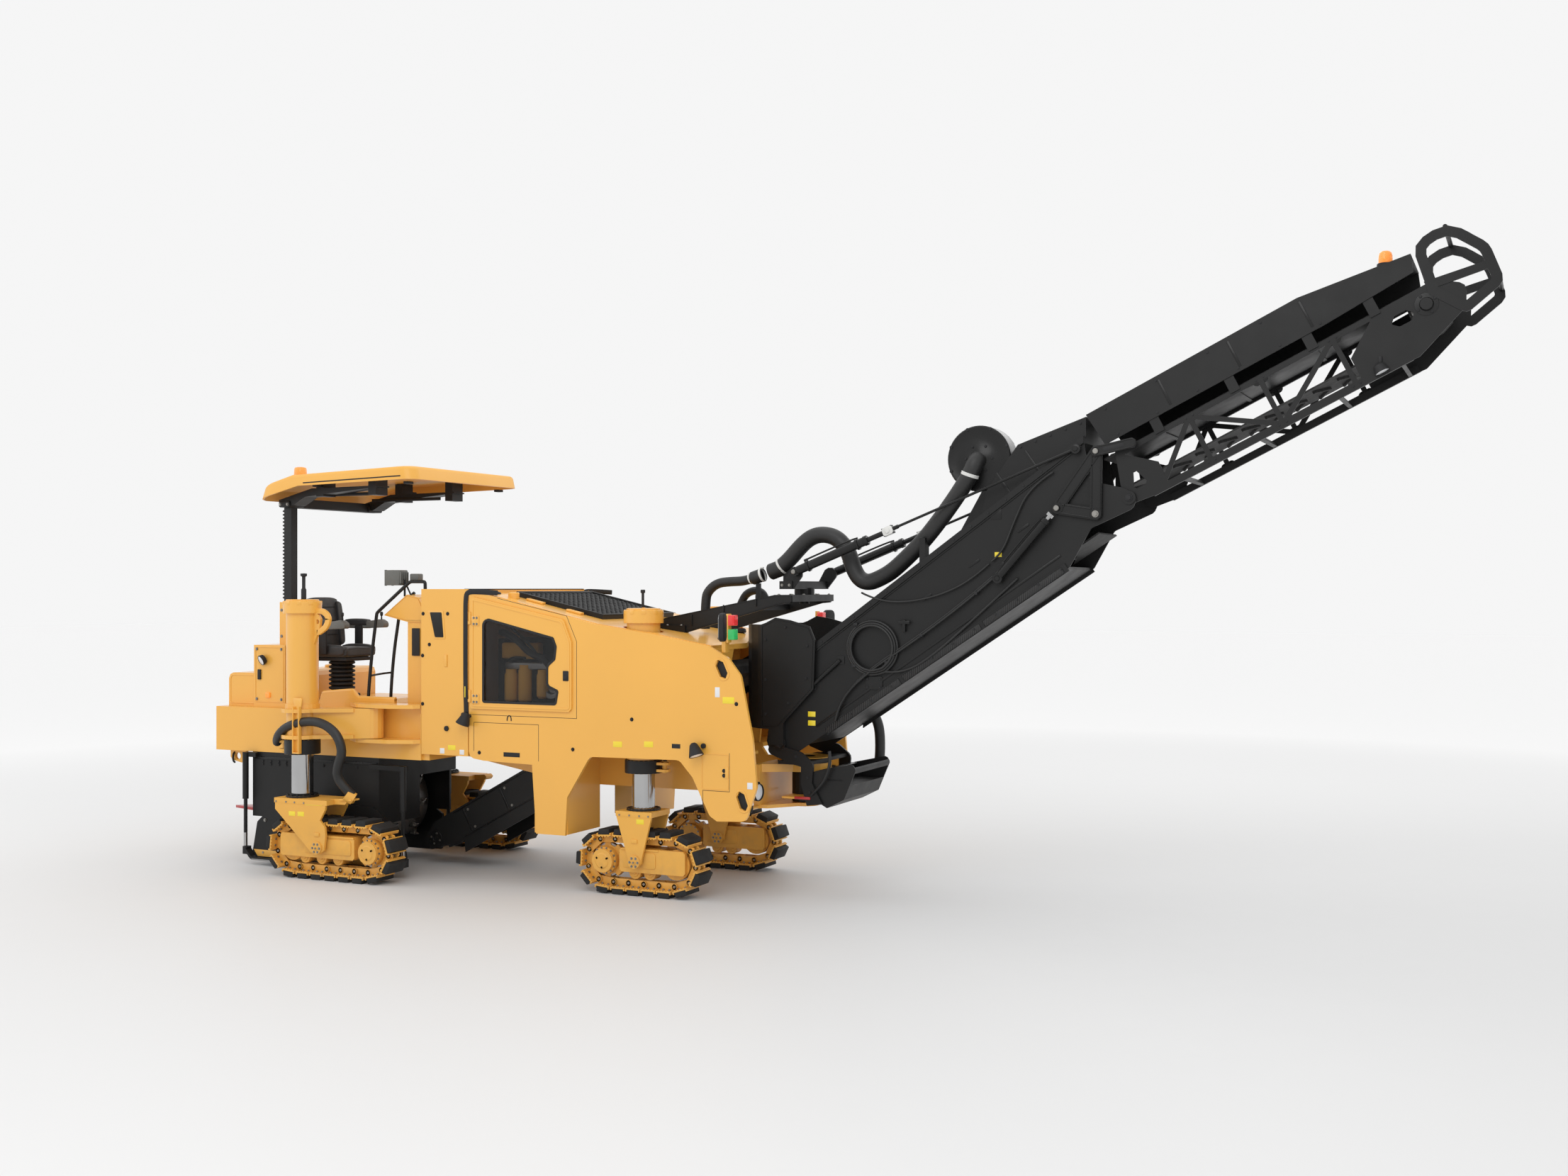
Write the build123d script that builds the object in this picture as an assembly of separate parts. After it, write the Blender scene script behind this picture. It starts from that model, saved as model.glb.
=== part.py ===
"""Cold planer: a half-lane milling machine on four tracks, with a folding front conveyor.

Machine axes: +X forward, +Y to the left, +Z up, millimetres. While it is built, X = 0 is the
front leg axis, Y = 0 the middle of the hood and Z = 0 the ground. The parts are then written
with the origin at the middle of the machine's footprint, on the ground.
"""
import math
import os

from build123d import *

# ---------------------------------------------------------------- driving dimensions
RUN = 5.0            # clearance between pieces that move
SEAT = 0.3           # clearance where a piece rests on, or turns in, another
LARGE_BORE = 60.0
WIDE_CORNER = 50.0   # corners of this radius or more get a third flat

BODY_HALF = 1000.0   # hood, to its outer side
PANEL = 30.0         # thickness of the hood's sides
DOOR_THICK = 18.0
HOOD_REAR, SEAM_X = -2250.0, -1720.0
HOOD_TOP = 2690.0
FRAME_REAR = -4750.0
FRAME_LOW, FRAME_HIGH = 1100.0, 1530.0
TIE_DOWN, TIE_DOWN_R = (-4555.0, 1035.0), 35.0
RAIL_IN, RAIL_OUT = 385.0, 425.0
FLOOR_TOP = 1262.0
FRAME_FRONT = 960.0

# tracks
TRACK_R = 288.0      # outer radius at the pads, and the height of the wheel axes
PITCH_R = 190.0      # radius of the chain's pins
LINK_HALF = 40.0     # half the height of a chain link
PLATE_OUT = LINK_HALF + 8.0
PAD_OUT = TRACK_R - PITCH_R
SHOE_PITCH = 156.0
PAD_HALF = 130.0     # half the width of a shoe
RAIL_GAP, RAIL_THICK = 30.0, 25.0
HUB_Z = 305.0
HUB_PIN_R = 40.0

# legs
ROD_R = 100.0
ROD_TOP = 2085.0
LEG_UP = 300.0       # how far a leg slides into its guide
FLANGE_R, FLANGE_Z, YOKE_TOP = 150.0, 765.0, 745.0
GUIDE_R, CAP_R = 147.0, 176.0
COLLAR_R = 165.0
YOKE_PLATE = 25.0
YOKE_IN = PAD_HALF + 7.0
YOKE_OUT = YOKE_IN + YOKE_PLATE

# name, leg x, leg y, collar bottom, collar top, hub, sprocket and idler (from the leg axis)
LEG_COLUMNS = "name x y collar_low collar_high hub sprocket idler cap_top".split()
LEGS = [
    dict(zip(LEG_COLUMNS, row))
    for row in (
        ("front_right", 0.0, -790.0, 1075.0, 1190.0, 0.0, -350.0, 360.0, 2528.0),
        ("front_left", 0.0, 790.0, 1075.0, 1190.0, 0.0, -350.0, 360.0, 2528.0),
        ("rear_right", -3360.0, -1340.0, 1150.0, 1285.0, 310.0, 860.0, -60.0, 2600.0),
        ("rear_left", -3360.0, 850.0, 1150.0, 1285.0, 310.0, 860.0, -60.0, 2600.0),
    )
]
SWING_PIVOT = (-2780.0, -(BODY_HALF + 45.0))
SWING_PIN_R, SWING_BOSS_R = 50.0, 105.0
ARM_LOW, ARM_HIGH = 1295.0, 1575.0
FLANGE_THICK = 35.0

# milling drum and its box
DRUM_X, DRUM_Z = -3400.0, 575.0
DRUM_RIGHT, DRUM_LEFT = -930.0, 130.0
CUT_R, DRUM_R = 470.0, 385.0
BOX_RIGHT, BOX_LEFT, BOX_WALL = -1000.0, 200.0, 25.0
BOX_REAR, BOX_FRONT, BOX_LOW, BOX_TOP = -4280.0, -2740.0, 470.0, FRAME_LOW - SEAT
PLATE_THICK = 25.0

# conveyor under the frame
LIFT_TAIL, LIFT_HEAD = (-2560.0, 270.0), (585.0, 1961.0)
LIFT_HALF = 360.0

# discharge conveyor
SLEW_X = 1200.0
KING_PIN_R = 50.0
TONGUE_TOP, TONGUE_BOTTOM = (1080.0, 1150.0), (765.0, 795.0)
LUFF_PIVOT = (1150.0, 1345.0)
SIDE_HALF, SIDE_THICK = 400.0, 12.0
CHEEK_R, CHEEK_OUT = 500.0, 452.0    # hopper cheeks: round the slewing axis, then flat
FOLD_PIVOT = (4213.0, 3418.0)
FAN, FAN_FACE = (2930.0, 3780.0), -290.0
UPPER_ANGLE = 26.7
HEAD_U, HEAD_W, HEAD_R = 2593.0, 243.0, 150.0
CRANK_PIVOT = (3950.0, 3293.0)
CRANK_TOP = (3956.0, 3793.0)
CRANK_REAR = (3636.0, 3345.0)
LINK_END = (4241.0, 3850.0)
FOLD_BASE = (3141.0, 2779.0)
STRUT_BASE = (1300.0, 2840.0)
STRUT_JOINT = (2160.0, 3180.0)
STRUT_END = (3790.0, 3820.0)
BELT_HALF, BELT_THICK = 300.0, 14.0

# dust hose from the hood over the gantry to the fan: its middle line
HOSE_Y, HOSE_R, THIN_HOSE_R = -200.0, 72.0, 43.0
HOOD_HOSE = [(304, 2330), (304, 2600), (340, 2680), (430, 2745), (560, 2758), (700, 2762), (780, 2785)]
SLEEVE = ((765, HOSE_Y, 2780), (920, HOSE_Y, 2830))
SWIVEL_HOSE = [(1040, 2870), (1120, 2925), (1270, 3085), (1370, 3155), (1480, 3172), (1600, 3140), (1690, 3050), (1730, 2960)]
SECTION_HOSE = [(2000, 2780, -200), (2120, 2840, -215), (2260, 2950, -240), (2465, 3125, -290), (2720, 3420, -345),
                (2880, 3640, -375), (2925, 3745, -375), (2930, 3770, FAN_FACE - SEAT)]

CENTRED = (Align.CENTER, Align.CENTER, Align.MIN)


# ---------------------------------------------------------------- shape helpers
def block(x0, x1, y0, y1, z0, z1):
    return Pos((x0 + x1) / 2, (y0 + y1) / 2, (z0 + z1) / 2) * Box(x1 - x0, y1 - y0, z1 - z0)


def hole(start, end, radius):
    """A bore: a true cylinder, or past LARGE_BORE a many-sided one that lies round it."""
    reach = Vector(*end) - Vector(*start)
    place = Plane(origin=start, z_dir=reach)
    if radius < LARGE_BORE:
        return place * Cylinder(radius, reach.length, align=CENTRED)
    section = place * RegularPolygon(radius, 24, major_radius=False)
    return extrude(section, amount=reach.length, dir=reach)


def hole_y(x, z, y0, y1, radius):
    return hole((x, y0, z), (x, y1, z), radius)


def hole_z(x, y, z0, z1, radius):
    return hole((x, y, z0), (x, y, z1), radius)


def rod(start, end, radius):
    """A bar with a few flat sides, inside the circle of its radius."""
    reach = Vector(*end) - Vector(*start)
    sides = 8 if radius < 30 else 12 if radius < 70 else 16 if radius < 130 else 24
    section = Plane(origin=start, z_dir=reach) * RegularPolygon(radius, sides)
    return extrude(section, amount=reach.length, dir=reach)


def pin_y(x, z, y0, y1, radius):
    return rod((x, y0, z), (x, y1, z), radius)


def post(x, y, z0, z1, radius):
    return rod((x, y, z0), (x, y, z1), radius)


def outline(*points):
    """A closed outline. A point's third value is the radius of its corner, cut in two or three flats."""
    line, count = [], len(points)
    for index, point in enumerate(points):
        here = Vector(point[0], point[1])
        if len(point) < 3:
            line.append(here)
            continue
        before = Vector(*points[index - 1][:2]) - here
        after = Vector(*points[(index + 1) % count][:2]) - here
        half = math.radians(before.get_angle(after)) / 2
        reach = min(point[2] / math.tan(half), 0.45 * before.length, 0.45 * after.length)
        line.append(here + before.normalized() * reach)
        if point[2] >= WIDE_CORNER:
            radius = reach * math.tan(half)
            middle = (before.normalized() + after.normalized()).normalized()
            line.append(here + middle * (radius / math.sin(half) - radius))
        line.append(here + after.normalized() * reach)
    return make_face(Polyline(*line, close=True))


def side_slab(face, y0, y1):
    """An outline in X and Z, as thick as from y0 to y1."""
    return extrude(Plane.XZ.offset(-y1) * face, amount=y1 - y0)


def plan_slab(face, z0, z1):
    return extrude(Plane.XY.offset(z0) * face, amount=z1 - z0)


def both_sides(solid):
    return solid + mirror(solid, about=Plane.XZ)


def bar(start, end, width, y0, y1):
    """A flat bar with blunt ends, between two points in X and Z."""
    (x0, z0), (x1, z1) = start, end
    length = math.hypot(x1 - x0, z1 - z0)
    turn = math.degrees(math.atan2(z1 - z0, x1 - x0))
    over, side = length / 2 + width / 2, width / 2
    face = outline(*[(x, z, 0.3 * width) for x, z in ((-over, -side), (over, -side), (over, side), (-over, side))])
    return side_slab(Pos((x0 + x1) / 2, (z0 + z1) / 2) * Rot(0, 0, turn) * face, y0, y1)


def tube_along(points, radius):
    """A many-sided tube with mitred corners along a list of points."""
    sides = 8 if radius < 30 else 12
    path = Polyline(*points)
    start = Plane(origin=points[0], z_dir=Vector(*points[1]) - Vector(*points[0]))
    return sweep(start * RegularPolygon(radius, sides), path=path, transition=Transition.RIGHT)


def slot_face(length, width):
    """A long hole with cut corners, centred."""
    x, z, cut = length / 2, width / 2, 0.45 * width
    return outline((-x, -z, cut), (x, -z, cut), (x, z, cut), (-x, z, cut))


def turned(origin, angle):
    """A place whose X axis rises by an angle from the machine's X axis."""
    return Pos(origin[0], 0, origin[1]) * Rot(0, -angle, 0)


# ---------------------------------------------------------------- tracks and legs
def pitch_points(leg):
    """The chain's pins along the pitch line, evenly spaced, in order."""
    rear, front = sorted((leg["sprocket"], leg["idler"]))
    straight, arc = front - rear, math.pi * PITCH_R
    total = 2 * (straight + arc)
    count = round(total / SHOE_PITCH)
    points = []
    for index in range(count):
        s = (index + 0.5) * total / count
        if s < straight:
            points.append((rear + s, TRACK_R - PITCH_R))
        elif s < straight + arc:
            a = (s - straight) / PITCH_R
            points.append((front + PITCH_R * math.sin(a), TRACK_R - PITCH_R * math.cos(a)))
        elif s < 2 * straight + arc:
            points.append((front - (s - straight - arc), TRACK_R + PITCH_R))
        else:
            a = (s - 2 * straight - arc) / PITCH_R
            points.append((rear - PITCH_R * math.sin(a), TRACK_R + PITCH_R * math.cos(a)))
    return points


def ring_line(points, out, inset):
    """A closed line that lies outside the pins, with a gap of twice the inset at each joint."""
    line = []
    for (x0, z0), (x1, z1) in zip(points, points[1:] + points[:1]):
        length = math.hypot(x1 - x0, z1 - z0)
        tx, tz = (x1 - x0) / length, (z1 - z0) / length
        for along in (inset, length - inset):
            line.append((x0 + tx * along + tz * out, z0 + tz * along - tx * out))
    return line


def shoe_line(points):
    """Outline of the shoes: the plates' outer face, with a pad standing out on each."""
    line = []
    for (x0, z0), (x1, z1) in zip(points, points[1:] + points[:1]):
        length = math.hypot(x1 - x0, z1 - z0)
        tx, tz = (x1 - x0) / length, (z1 - z0) / length
        pad = 0.4 * length
        for along, out in ((-pad, PLATE_OUT), (-pad + 4, PAD_OUT), (pad - 4, PAD_OUT), (pad, PLATE_OUT)):
            reach = length / 2 + along
            line.append((x0 + tx * reach + tz * out, z0 + tz * reach - tx * out))
    return line


def track_loop(leg):
    """Shoes with pads round a chain of two link rails, as one closed band."""
    points = pitch_points(leg)
    shoes = outline(*shoe_line(points)) - outline(*ring_line(points, LINK_HALF - 6, 30))
    links = outline(*ring_line(points, LINK_HALF, 30)) - outline(*ring_line(points, -LINK_HALF, 30))
    band = side_slab(shoes, -PAD_HALF, PAD_HALF)
    return band + both_sides(side_slab(links, RAIL_GAP, RAIL_GAP + RAIL_THICK))


def sprocket_face(x):
    teeth = 8
    tip, root = PITCH_R - 16, PITCH_R - LINK_HALF - 16
    line = []
    for index in range(teeth):
        for turn, radius in ((-13, root), (-8, tip), (8, tip), (13, root)):
            angle = math.radians(360 * index / teeth + turn)
            line.append((x + radius * math.sin(angle), TRACK_R + radius * math.cos(angle)))
    return outline(*line)


def track_frame(leg, outward):
    """Box beam with rollers, sprocket, drive and idler. outward is the side of the drive."""
    hub, sprocket, idler = leg["hub"], leg["sprocket"], leg["idler"]
    ahead = 1 if idler > sprocket else -1
    wheel_r = PITCH_R * math.cos(0.53 * SHOE_PITCH / PITCH_R) - LINK_HALF
    tread = RAIL_GAP + RAIL_THICK + 5
    beam_end, beam_start = idler + ahead * 110, sprocket + ahead * 165
    x0, x1 = sorted((beam_start, beam_end))
    beam = side_slab(
        outline((x0, 205, 20), (x1, 205, 20), (x1, 415, 20), (x0, 415, 20)), -105, 105
    )
    x0, x1 = sorted((idler - ahead * (wheel_r + 12), idler + ahead * 200))
    beam -= block(x0, x1, -tread - 6, tread + 6, 100, 500)
    solid = beam + pin_y(idler, TRACK_R, -105, 105, 30)
    solid += pin_y(idler, TRACK_R, -tread, tread, wheel_r)
    solid += side_slab(sprocket_face(sprocket), -RAIL_GAP + 4, RAIL_GAP - 4)
    solid += pin_y(sprocket, TRACK_R, -85, 85, 118)
    solid += pin_y(sprocket, TRACK_R, *sorted((outward * 20, outward * 128)), 104)
    solid += block(*sorted((sprocket, beam_start + ahead * 20)), -26, 26, 235, 341)
    roller_r = 60.0
    roller_z = TRACK_R - PITCH_R + LINK_HALF + roller_r + SEAT
    span = abs(idler - sprocket)
    count = 2 if span < 800 else 3
    for index in range(count):
        x = sprocket + ahead * span * (0.42 + 0.21 * index)
        solid += pin_y(x, roller_z, -tread, tread, roller_r)
    pin_end = YOKE_OUT + SEAT
    solid += pin_y(hub, HUB_Z, -pin_end, pin_end, HUB_PIN_R)
    for side in (-1, 1):
        y0, y1 = sorted((side * pin_end, side * (pin_end + 16)))
        solid += pin_y(hub, HUB_Z, y0, y1, 58)
    return solid


def yoke_side(hub):
    """The tapered plate that hangs beside the track and holds the hub pin."""
    if hub == 0:
        face = outline(
            (-180, YOKE_TOP), (-180, 690), (-65, 330), (-65, 262, 40), (65, 262, 40), (70, 330),
            (165, 690), (165, YOKE_TOP),
        )
    else:
        face = outline(
            (-185, YOKE_TOP), (-185, 640), (hub - 60, 255, 30), (hub + 75, 250, 40),
            (hub + 100, 420), (hub + 92, 500), (hub + 35, 560), (hub + 95, 660), (hub + 110, YOKE_TOP),
        )
    return face - Pos(hub, HUB_Z) * RegularPolygon(HUB_PIN_R + SEAT, 12, major_radius=False)


def leg_strut(leg):
    """The bright inner tube with its bolted flange, and the yoke that straddles the track."""
    hub = leg["hub"]
    right_end = 165 if hub == 0 else hub + 110
    left_end = -180 if hub == 0 else -185
    solid = both_sides(side_slab(yoke_side(hub), YOKE_IN, YOKE_OUT))
    solid += block(left_end - 8, right_end + 8, -YOKE_OUT - 3, YOKE_OUT + 3, YOKE_TOP - 45, YOKE_TOP)
    if hub:
        arm = outline((right_end - 20, YOKE_TOP - 45), (right_end + 150, YOKE_TOP - 40, 20),
                      (right_end + 150, YOKE_TOP + 15, 20), (right_end - 60, YOKE_TOP))
        solid += side_slab(arm, -60, 60)
    solid += post(0, 0, YOKE_TOP, FLANGE_Z, FLANGE_R)
    return solid + post(0, 0, FLANGE_Z, ROD_TOP, ROD_R)


def steering_collar(leg):
    """A ring keyed to the inner tube, with the arm that the steering cylinder pushes."""
    low, high = leg["collar_low"], leg["collar_high"]
    way = 1 if leg["hub"] == 0 else -1
    solid = post(0, 0, low, high, COLLAR_R)
    arm = outline((0, -60), (way * 260, -45, 25), (way * 260, 45, 25), (0, 60))
    for z in (low + 15, high - 40):
        solid += plan_slab(arm, z, z + 22)
    solid += post(way * 215, 0, low + 5, high - 8, 20)
    return solid - hole_z(0, 0, low - 1, high + 1, ROD_R + 0.5)


def guide_tube(leg, low):
    """The outer tube of a leg and its cap."""
    top = leg["cap_top"]
    tube = post(0, 0, low, top - 130, GUIDE_R) - hole_z(0, 0, low - 1, ROD_TOP + LEG_UP + RUN, ROD_R + 1)
    tube += post(0, 0, top - 136, top - 25, CAP_R)
    return tube + post(0, 0, top - 30, top - 8, 150) + hole_z(0, 0, top - 9, top, 15)


def leg_place(leg):
    return Pos(leg["x"], leg["y"], 0)


# ---------------------------------------------------------------- frame and hood
ROOF_LINE = [(-2250, 2690), (-1500, 2640), (-360, 2385), (218, 2305), (760, 2210)]
SIDE_POINTS = [
    (-1715, 1150, 60), (-1550, 1128), (-1030, 1115), (-985, 500), (-680, 500), (-660, 840),
    (-425, 1212, 60), (470, 1222, 60), (600, 1080), (765, 760, 60), (835, 718), (1110, 730, 60),
    (1210, 1020, 60), (1172, 1430, 80), (1060, 1960, 60), (940, 2110, 40), (760, 2205), (218, 2300),
    (-360, 2380), (-1500, 2635, 60), (-1715, 2682, 40),
]
DOOR_POINTS = [(-1690, 1600, 15), (-605, 1600, 30), (-605, 2220, 30), (-690, 2420, 30), (-1690, 2625, 20)]
WINDOW_POINTS = [
    (-1555, 1655, 25), (-760, 1655, 25), (-735, 1790, 20), (-845, 1835, 20), (-845, 2000, 20),
    (-770, 2060, 15), (-755, 2180, 20), (-790, 2262, 15), (-1490, 2425, 30), (-1555, 2400, 40),
]


HINGE_HEIGHTS = (1690.0, 2400.0)


def hood_side(side):
    """One side of the hood, with its door opening, arch and the two hand holes."""
    face = outline(*SIDE_POINTS)
    face -= offset(outline(*[p[:2] for p in DOOR_POINTS]), -25, kind=Kind.INTERSECTION)
    for x, z, turn in ((880, 2010, -65), (1075, 900, -70)):
        face -= Pos(x, z) * Rot(0, 0, turn) * slot_face(170, 80)
    y0, y1 = sorted((side * (BODY_HALF - PANEL), side * BODY_HALF))
    panel = side_slab(face, y0, y1)
    x, y = DOOR_POINTS[0][0], side * (BODY_HALF + DOOR_THICK)
    for z in HINGE_HEIGHTS:
        leaf = block(x - 24, x, *sorted((side * (BODY_HALF - 1), y)), z - 30, z - RUN)
        panel += leaf + post(x, y, z - 30, z - RUN, 13) + post(x, y, z - 30, z + 75, 6)
    return panel


def engine_door(side):
    face = outline(*DOOR_POINTS) - outline(*WINDOW_POINTS)
    y0, y1 = sorted((side * (BODY_HALF + SEAT), side * (BODY_HALF + DOOR_THICK)))
    door = side_slab(face, y0, y1)
    seat = offset(outline(*WINDOW_POINTS), 18, kind=Kind.INTERSECTION)
    y0, y1 = sorted((side * BODY_HALF, side * (BODY_HALF + DOOR_THICK / 2)))
    door -= side_slab(seat, y0, y1)
    x, y = DOOR_POINTS[0][0], side * (BODY_HALF + DOOR_THICK)
    for z in HINGE_HEIGHTS:
        door += post(x, y, z, z + 80, 13)
        door -= block(x - 20, x + 20, y - 22, y + 22, z - 36, z) + hole_z(x, y, z - 1, z + 81, 6 + SEAT)
    return door


def door_window(side):
    face = offset(outline(*WINDOW_POINTS), 18 - SEAT, kind=Kind.INTERSECTION)
    y0, y1 = sorted((side * (BODY_HALF + 2 * SEAT), side * (BODY_HALF + DOOR_THICK / 2 - SEAT)))
    return side_slab(face, y0, y1)


def hood_top():
    """Roof and rear walls of the hood, open over the cooler and round the front legs."""
    half = BODY_HALF - PANEL - SEAT
    lower = [(x, z - 45) for x, z in reversed(ROOF_LINE)]
    roof = side_slab(outline(*ROOF_LINE, *lower), -half, half)
    roof -= block(-1420, -520, -640, 640, 2300, 2800)
    for leg in LEGS[:2]:
        roof -= hole_z(leg["x"], leg["y"], 2200, 2600, CAP_R + SEAT)
    roof -= hole_z(SLEW_X, 0, 2000, 2600, CHEEK_R + 2 * RUN)
    rear = block(HOOD_REAR, SEAM_X - RUN, -BODY_HALF, BODY_HALF, 1160, 2660)
    inside = BODY_HALF - PANEL
    rear -= block(HOOD_REAR + 40, SEAM_X, -inside, inside, 1150, 2630)
    rear -= block(HOOD_REAR - 1, HOOD_REAR + 41, -inside, inside, 1150, FLOOR_TOP + SEAT)
    rear += block(HOOD_REAR, SEAM_X - RUN, -BODY_HALF, BODY_HALF, 2630, HOOD_TOP)
    nose = side_slab(outline((690, 2225), (765, 2208), (700, 1900), (655, 1900)), -half, half)
    nose -= block(600, 800, -520, 520, 1800, 2300)
    return roof + rear + nose


def air_grille():
    """The black grille over the cooler: a frame with crossing bars."""
    (x0, z0), (x1, z1) = ROOF_LINE[1], ROOF_LINE[2]
    slope = math.degrees(math.atan2(z1 - z0, x1 - x0))
    length, width, high = 960.0, 1320.0, 40.0
    grille = Box(length, width, high) - Box(length - 80, width - 80, high + 20)
    for index in range(7):
        grille += Pos((index - 3) * 110, 0, -6) * Box(14, width - 60, 16)
    for side in (-1, 1):
        grille += Pos(0, side * 200, -4) * Box(length - 60, 30, 24)
    place = turned((-970, z0 + (z1 - z0) * (-970 - x0) / (x1 - x0)), slope)
    return place * Pos(0, 0, high / 2 + SEAT) * grille


def front_tongue():
    """Bulkhead, the two plates of the front tongue and the king pin of the conveyor's bracket."""
    low, high = TONGUE_BOTTOM, TONGUE_TOP
    bulkhead = block(FRAME_FRONT - 60, FRAME_FRONT, -RAIL_OUT, RAIL_OUT, low[0], high[1])
    upper = outline((FRAME_FRONT - 1, -380), (SLEW_X, -245), (SLEW_X, 245), (FRAME_FRONT - 1, 380))
    lower = outline((FRAME_FRONT - 1, -400), (1020, -390), (SLEW_X, -140), (SLEW_X, 140), (1020, 390),
                    (FRAME_FRONT - 1, 400))
    tongue = plan_slab(upper, *high) + post(SLEW_X, 0, *high, 245)
    tongue += plan_slab(lower, *low) + post(SLEW_X, 0, *low, 140)
    return bulkhead + tongue + hole_z(SLEW_X, 0, low[0] - 12, high[1], KING_PIN_R)


def swing_bracket():
    """The two large ears that hold the pin of the swing leg's arm, and the wall between them."""
    px, py = SWING_PIVOT
    notch = py + SWING_BOSS_R + 15
    ear = outline((px - 110, -1150, 60), (px + 250, -1150, 80), (px + 480, -1060), (px + 520, -BODY_HALF - 3),
                  (px + 520, -904), (px - 300, -904), (px - 300, -BODY_HALF - 3))
    bracket = block(px - 300, px + 500, notch, -904, FRAME_HIGH - 1, ARM_HIGH + RUN + FLANGE_THICK)
    for low in (ARM_LOW - RUN - FLANGE_THICK, ARM_HIGH + RUN):
        bracket += plan_slab(ear, low, low + FLANGE_THICK)
    return bracket + post(px, py, ARM_LOW - RUN - 1, ARM_HIGH + RUN + 1, SWING_PIN_R)


def main_frame():
    """Rails, tanks, rear frame, front leg guides, tongue and the bracket of the swing leg."""
    half = BODY_HALF - PANEL - SEAT
    rail = side_slab(
        outline((-2240, 1110), (-980, 895), (FRAME_FRONT, 895), (FRAME_FRONT, TONGUE_TOP[1]), (640, TONGUE_TOP[1]),
                (560, FLOOR_TOP - 2), (-2240, FLOOR_TOP - 2)),
        RAIL_IN, RAIL_OUT,
    )
    tank = block(-1020, -670, RAIL_OUT, half, 505, 1215)
    floor = block(-2240, 600, RAIL_IN, half, 1225, FLOOR_TOP)
    frame = both_sides(rail + tank + floor)
    rear = block(FRAME_REAR, -2255, -BODY_HALF, BODY_HALF, FRAME_LOW, FRAME_HIGH)
    rear -= block(-3060, -2000, -RAIL_IN, RAIL_IN, 900, 1480)
    frame += rear
    frame += both_sides(block(-2260, -2180, RAIL_IN, half, 1100, FLOOR_TOP))
    x, z = LIFT_HEAD
    hanger = outline((400, 1250), (555, 1250), (x + 50, z - 20), (x + 50, z + 40, 30), (x - 50, z + 40, 30))
    frame += both_sides(side_slab(hanger, 400, RAIL_OUT)) + pin_y(x, z, -RAIL_OUT, RAIL_OUT, 25)
    frame += front_tongue()
    loop = outline((-4650, FRAME_LOW + 5), (-4650, 1000, 30), (-4480, 965, 30), (-4440, FRAME_LOW + 5))
    frame += both_sides(side_slab(loop, 880, 910) - hole_y(*TIE_DOWN, 870, 920, TIE_DOWN_R))
    for leg in LEGS[:2]:
        side = math.copysign(1, leg["y"])
        guide = leg_place(leg) * guide_tube(leg, leg["collar_high"] + RUN)
        web = block(-110, 110, *sorted((side * RAIL_OUT, side * 660)), 1260, 1900)
        frame += guide + web
        frame -= leg_place(leg) * hole_z(0, 0, 1000, ROD_TOP + LEG_UP + RUN, ROD_R + 1)
    left = LEGS[3]
    guide = leg_place(left) * guide_tube(left, left["collar_high"] + RUN)
    bore = hole_z(left["x"], left["y"], 1000, ROD_TOP + LEG_UP + RUN, ROD_R + 1)
    pocket = block(-3740, -2900, 560, BODY_HALF + 5, 1000, left["collar_high"] + RUN)
    frame = frame - pocket + guide - bore
    px, py = SWING_PIVOT
    notch = py + SWING_BOSS_R + 15
    frame -= block(px - 420, px + 520, -BODY_HALF - 1, notch, ARM_LOW - RUN, FRAME_HIGH + 1)
    return frame + swing_bracket()


def swing_arm():
    """Box arm from the pivot at the frame to the rings that hold the right rear leg."""
    leg = LEGS[2]
    px, py = SWING_PIVOT
    reach = math.hypot(leg["x"] - px, leg["y"] - py)
    turn = math.degrees(math.atan2(leg["y"] - py, leg["x"] - px))
    place = Pos(px, py) * Rot(0, 0, turn)
    web = place * outline((0, -SWING_BOSS_R), (reach - 120, -90), (reach - 120, 90), (0, SWING_BOSS_R))
    arm = plan_slab(web, ARM_LOW, ARM_HIGH) + post(px, py, ARM_LOW, ARM_HIGH, SWING_BOSS_R)
    shelf = place * outline((150, -120), (reach, -GUIDE_R), (reach, GUIDE_R), (150, 120))
    for low in (ARM_LOW, ARM_HIGH - 35):
        arm += plan_slab(shelf, low, low + 35) + post(leg["x"], leg["y"], low, low + 35, GUIDE_R + 45)
    arm -= hole_z(leg["x"], leg["y"], ARM_LOW - 1, ARM_HIGH + 1, GUIDE_R + SEAT)
    return arm - hole_z(px, py, ARM_LOW - 1, ARM_HIGH + 1, SWING_PIN_R + SEAT)


def leg_tube_rear_right():
    leg = LEGS[2]
    tube = guide_tube(leg, leg["collar_high"] + RUN)
    tube += post(0, 0, ARM_HIGH + SEAT, ARM_HIGH + 45, GUIDE_R + 12)
    tube -= hole_z(0, 0, 1000, ROD_TOP + LEG_UP + RUN, ROD_R + 1)
    lug = outline((130, 2130), (215, 2330), (230, 2440, 40), (140, 2480, 20), (130, 2400))
    tube += side_slab(lug, -15, 15) - hole_y(190, 2385, -30, 30, 22) - post(0, 0, 1000, 2395, ROD_R + 1)
    return leg_place(leg) * tube


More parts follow.
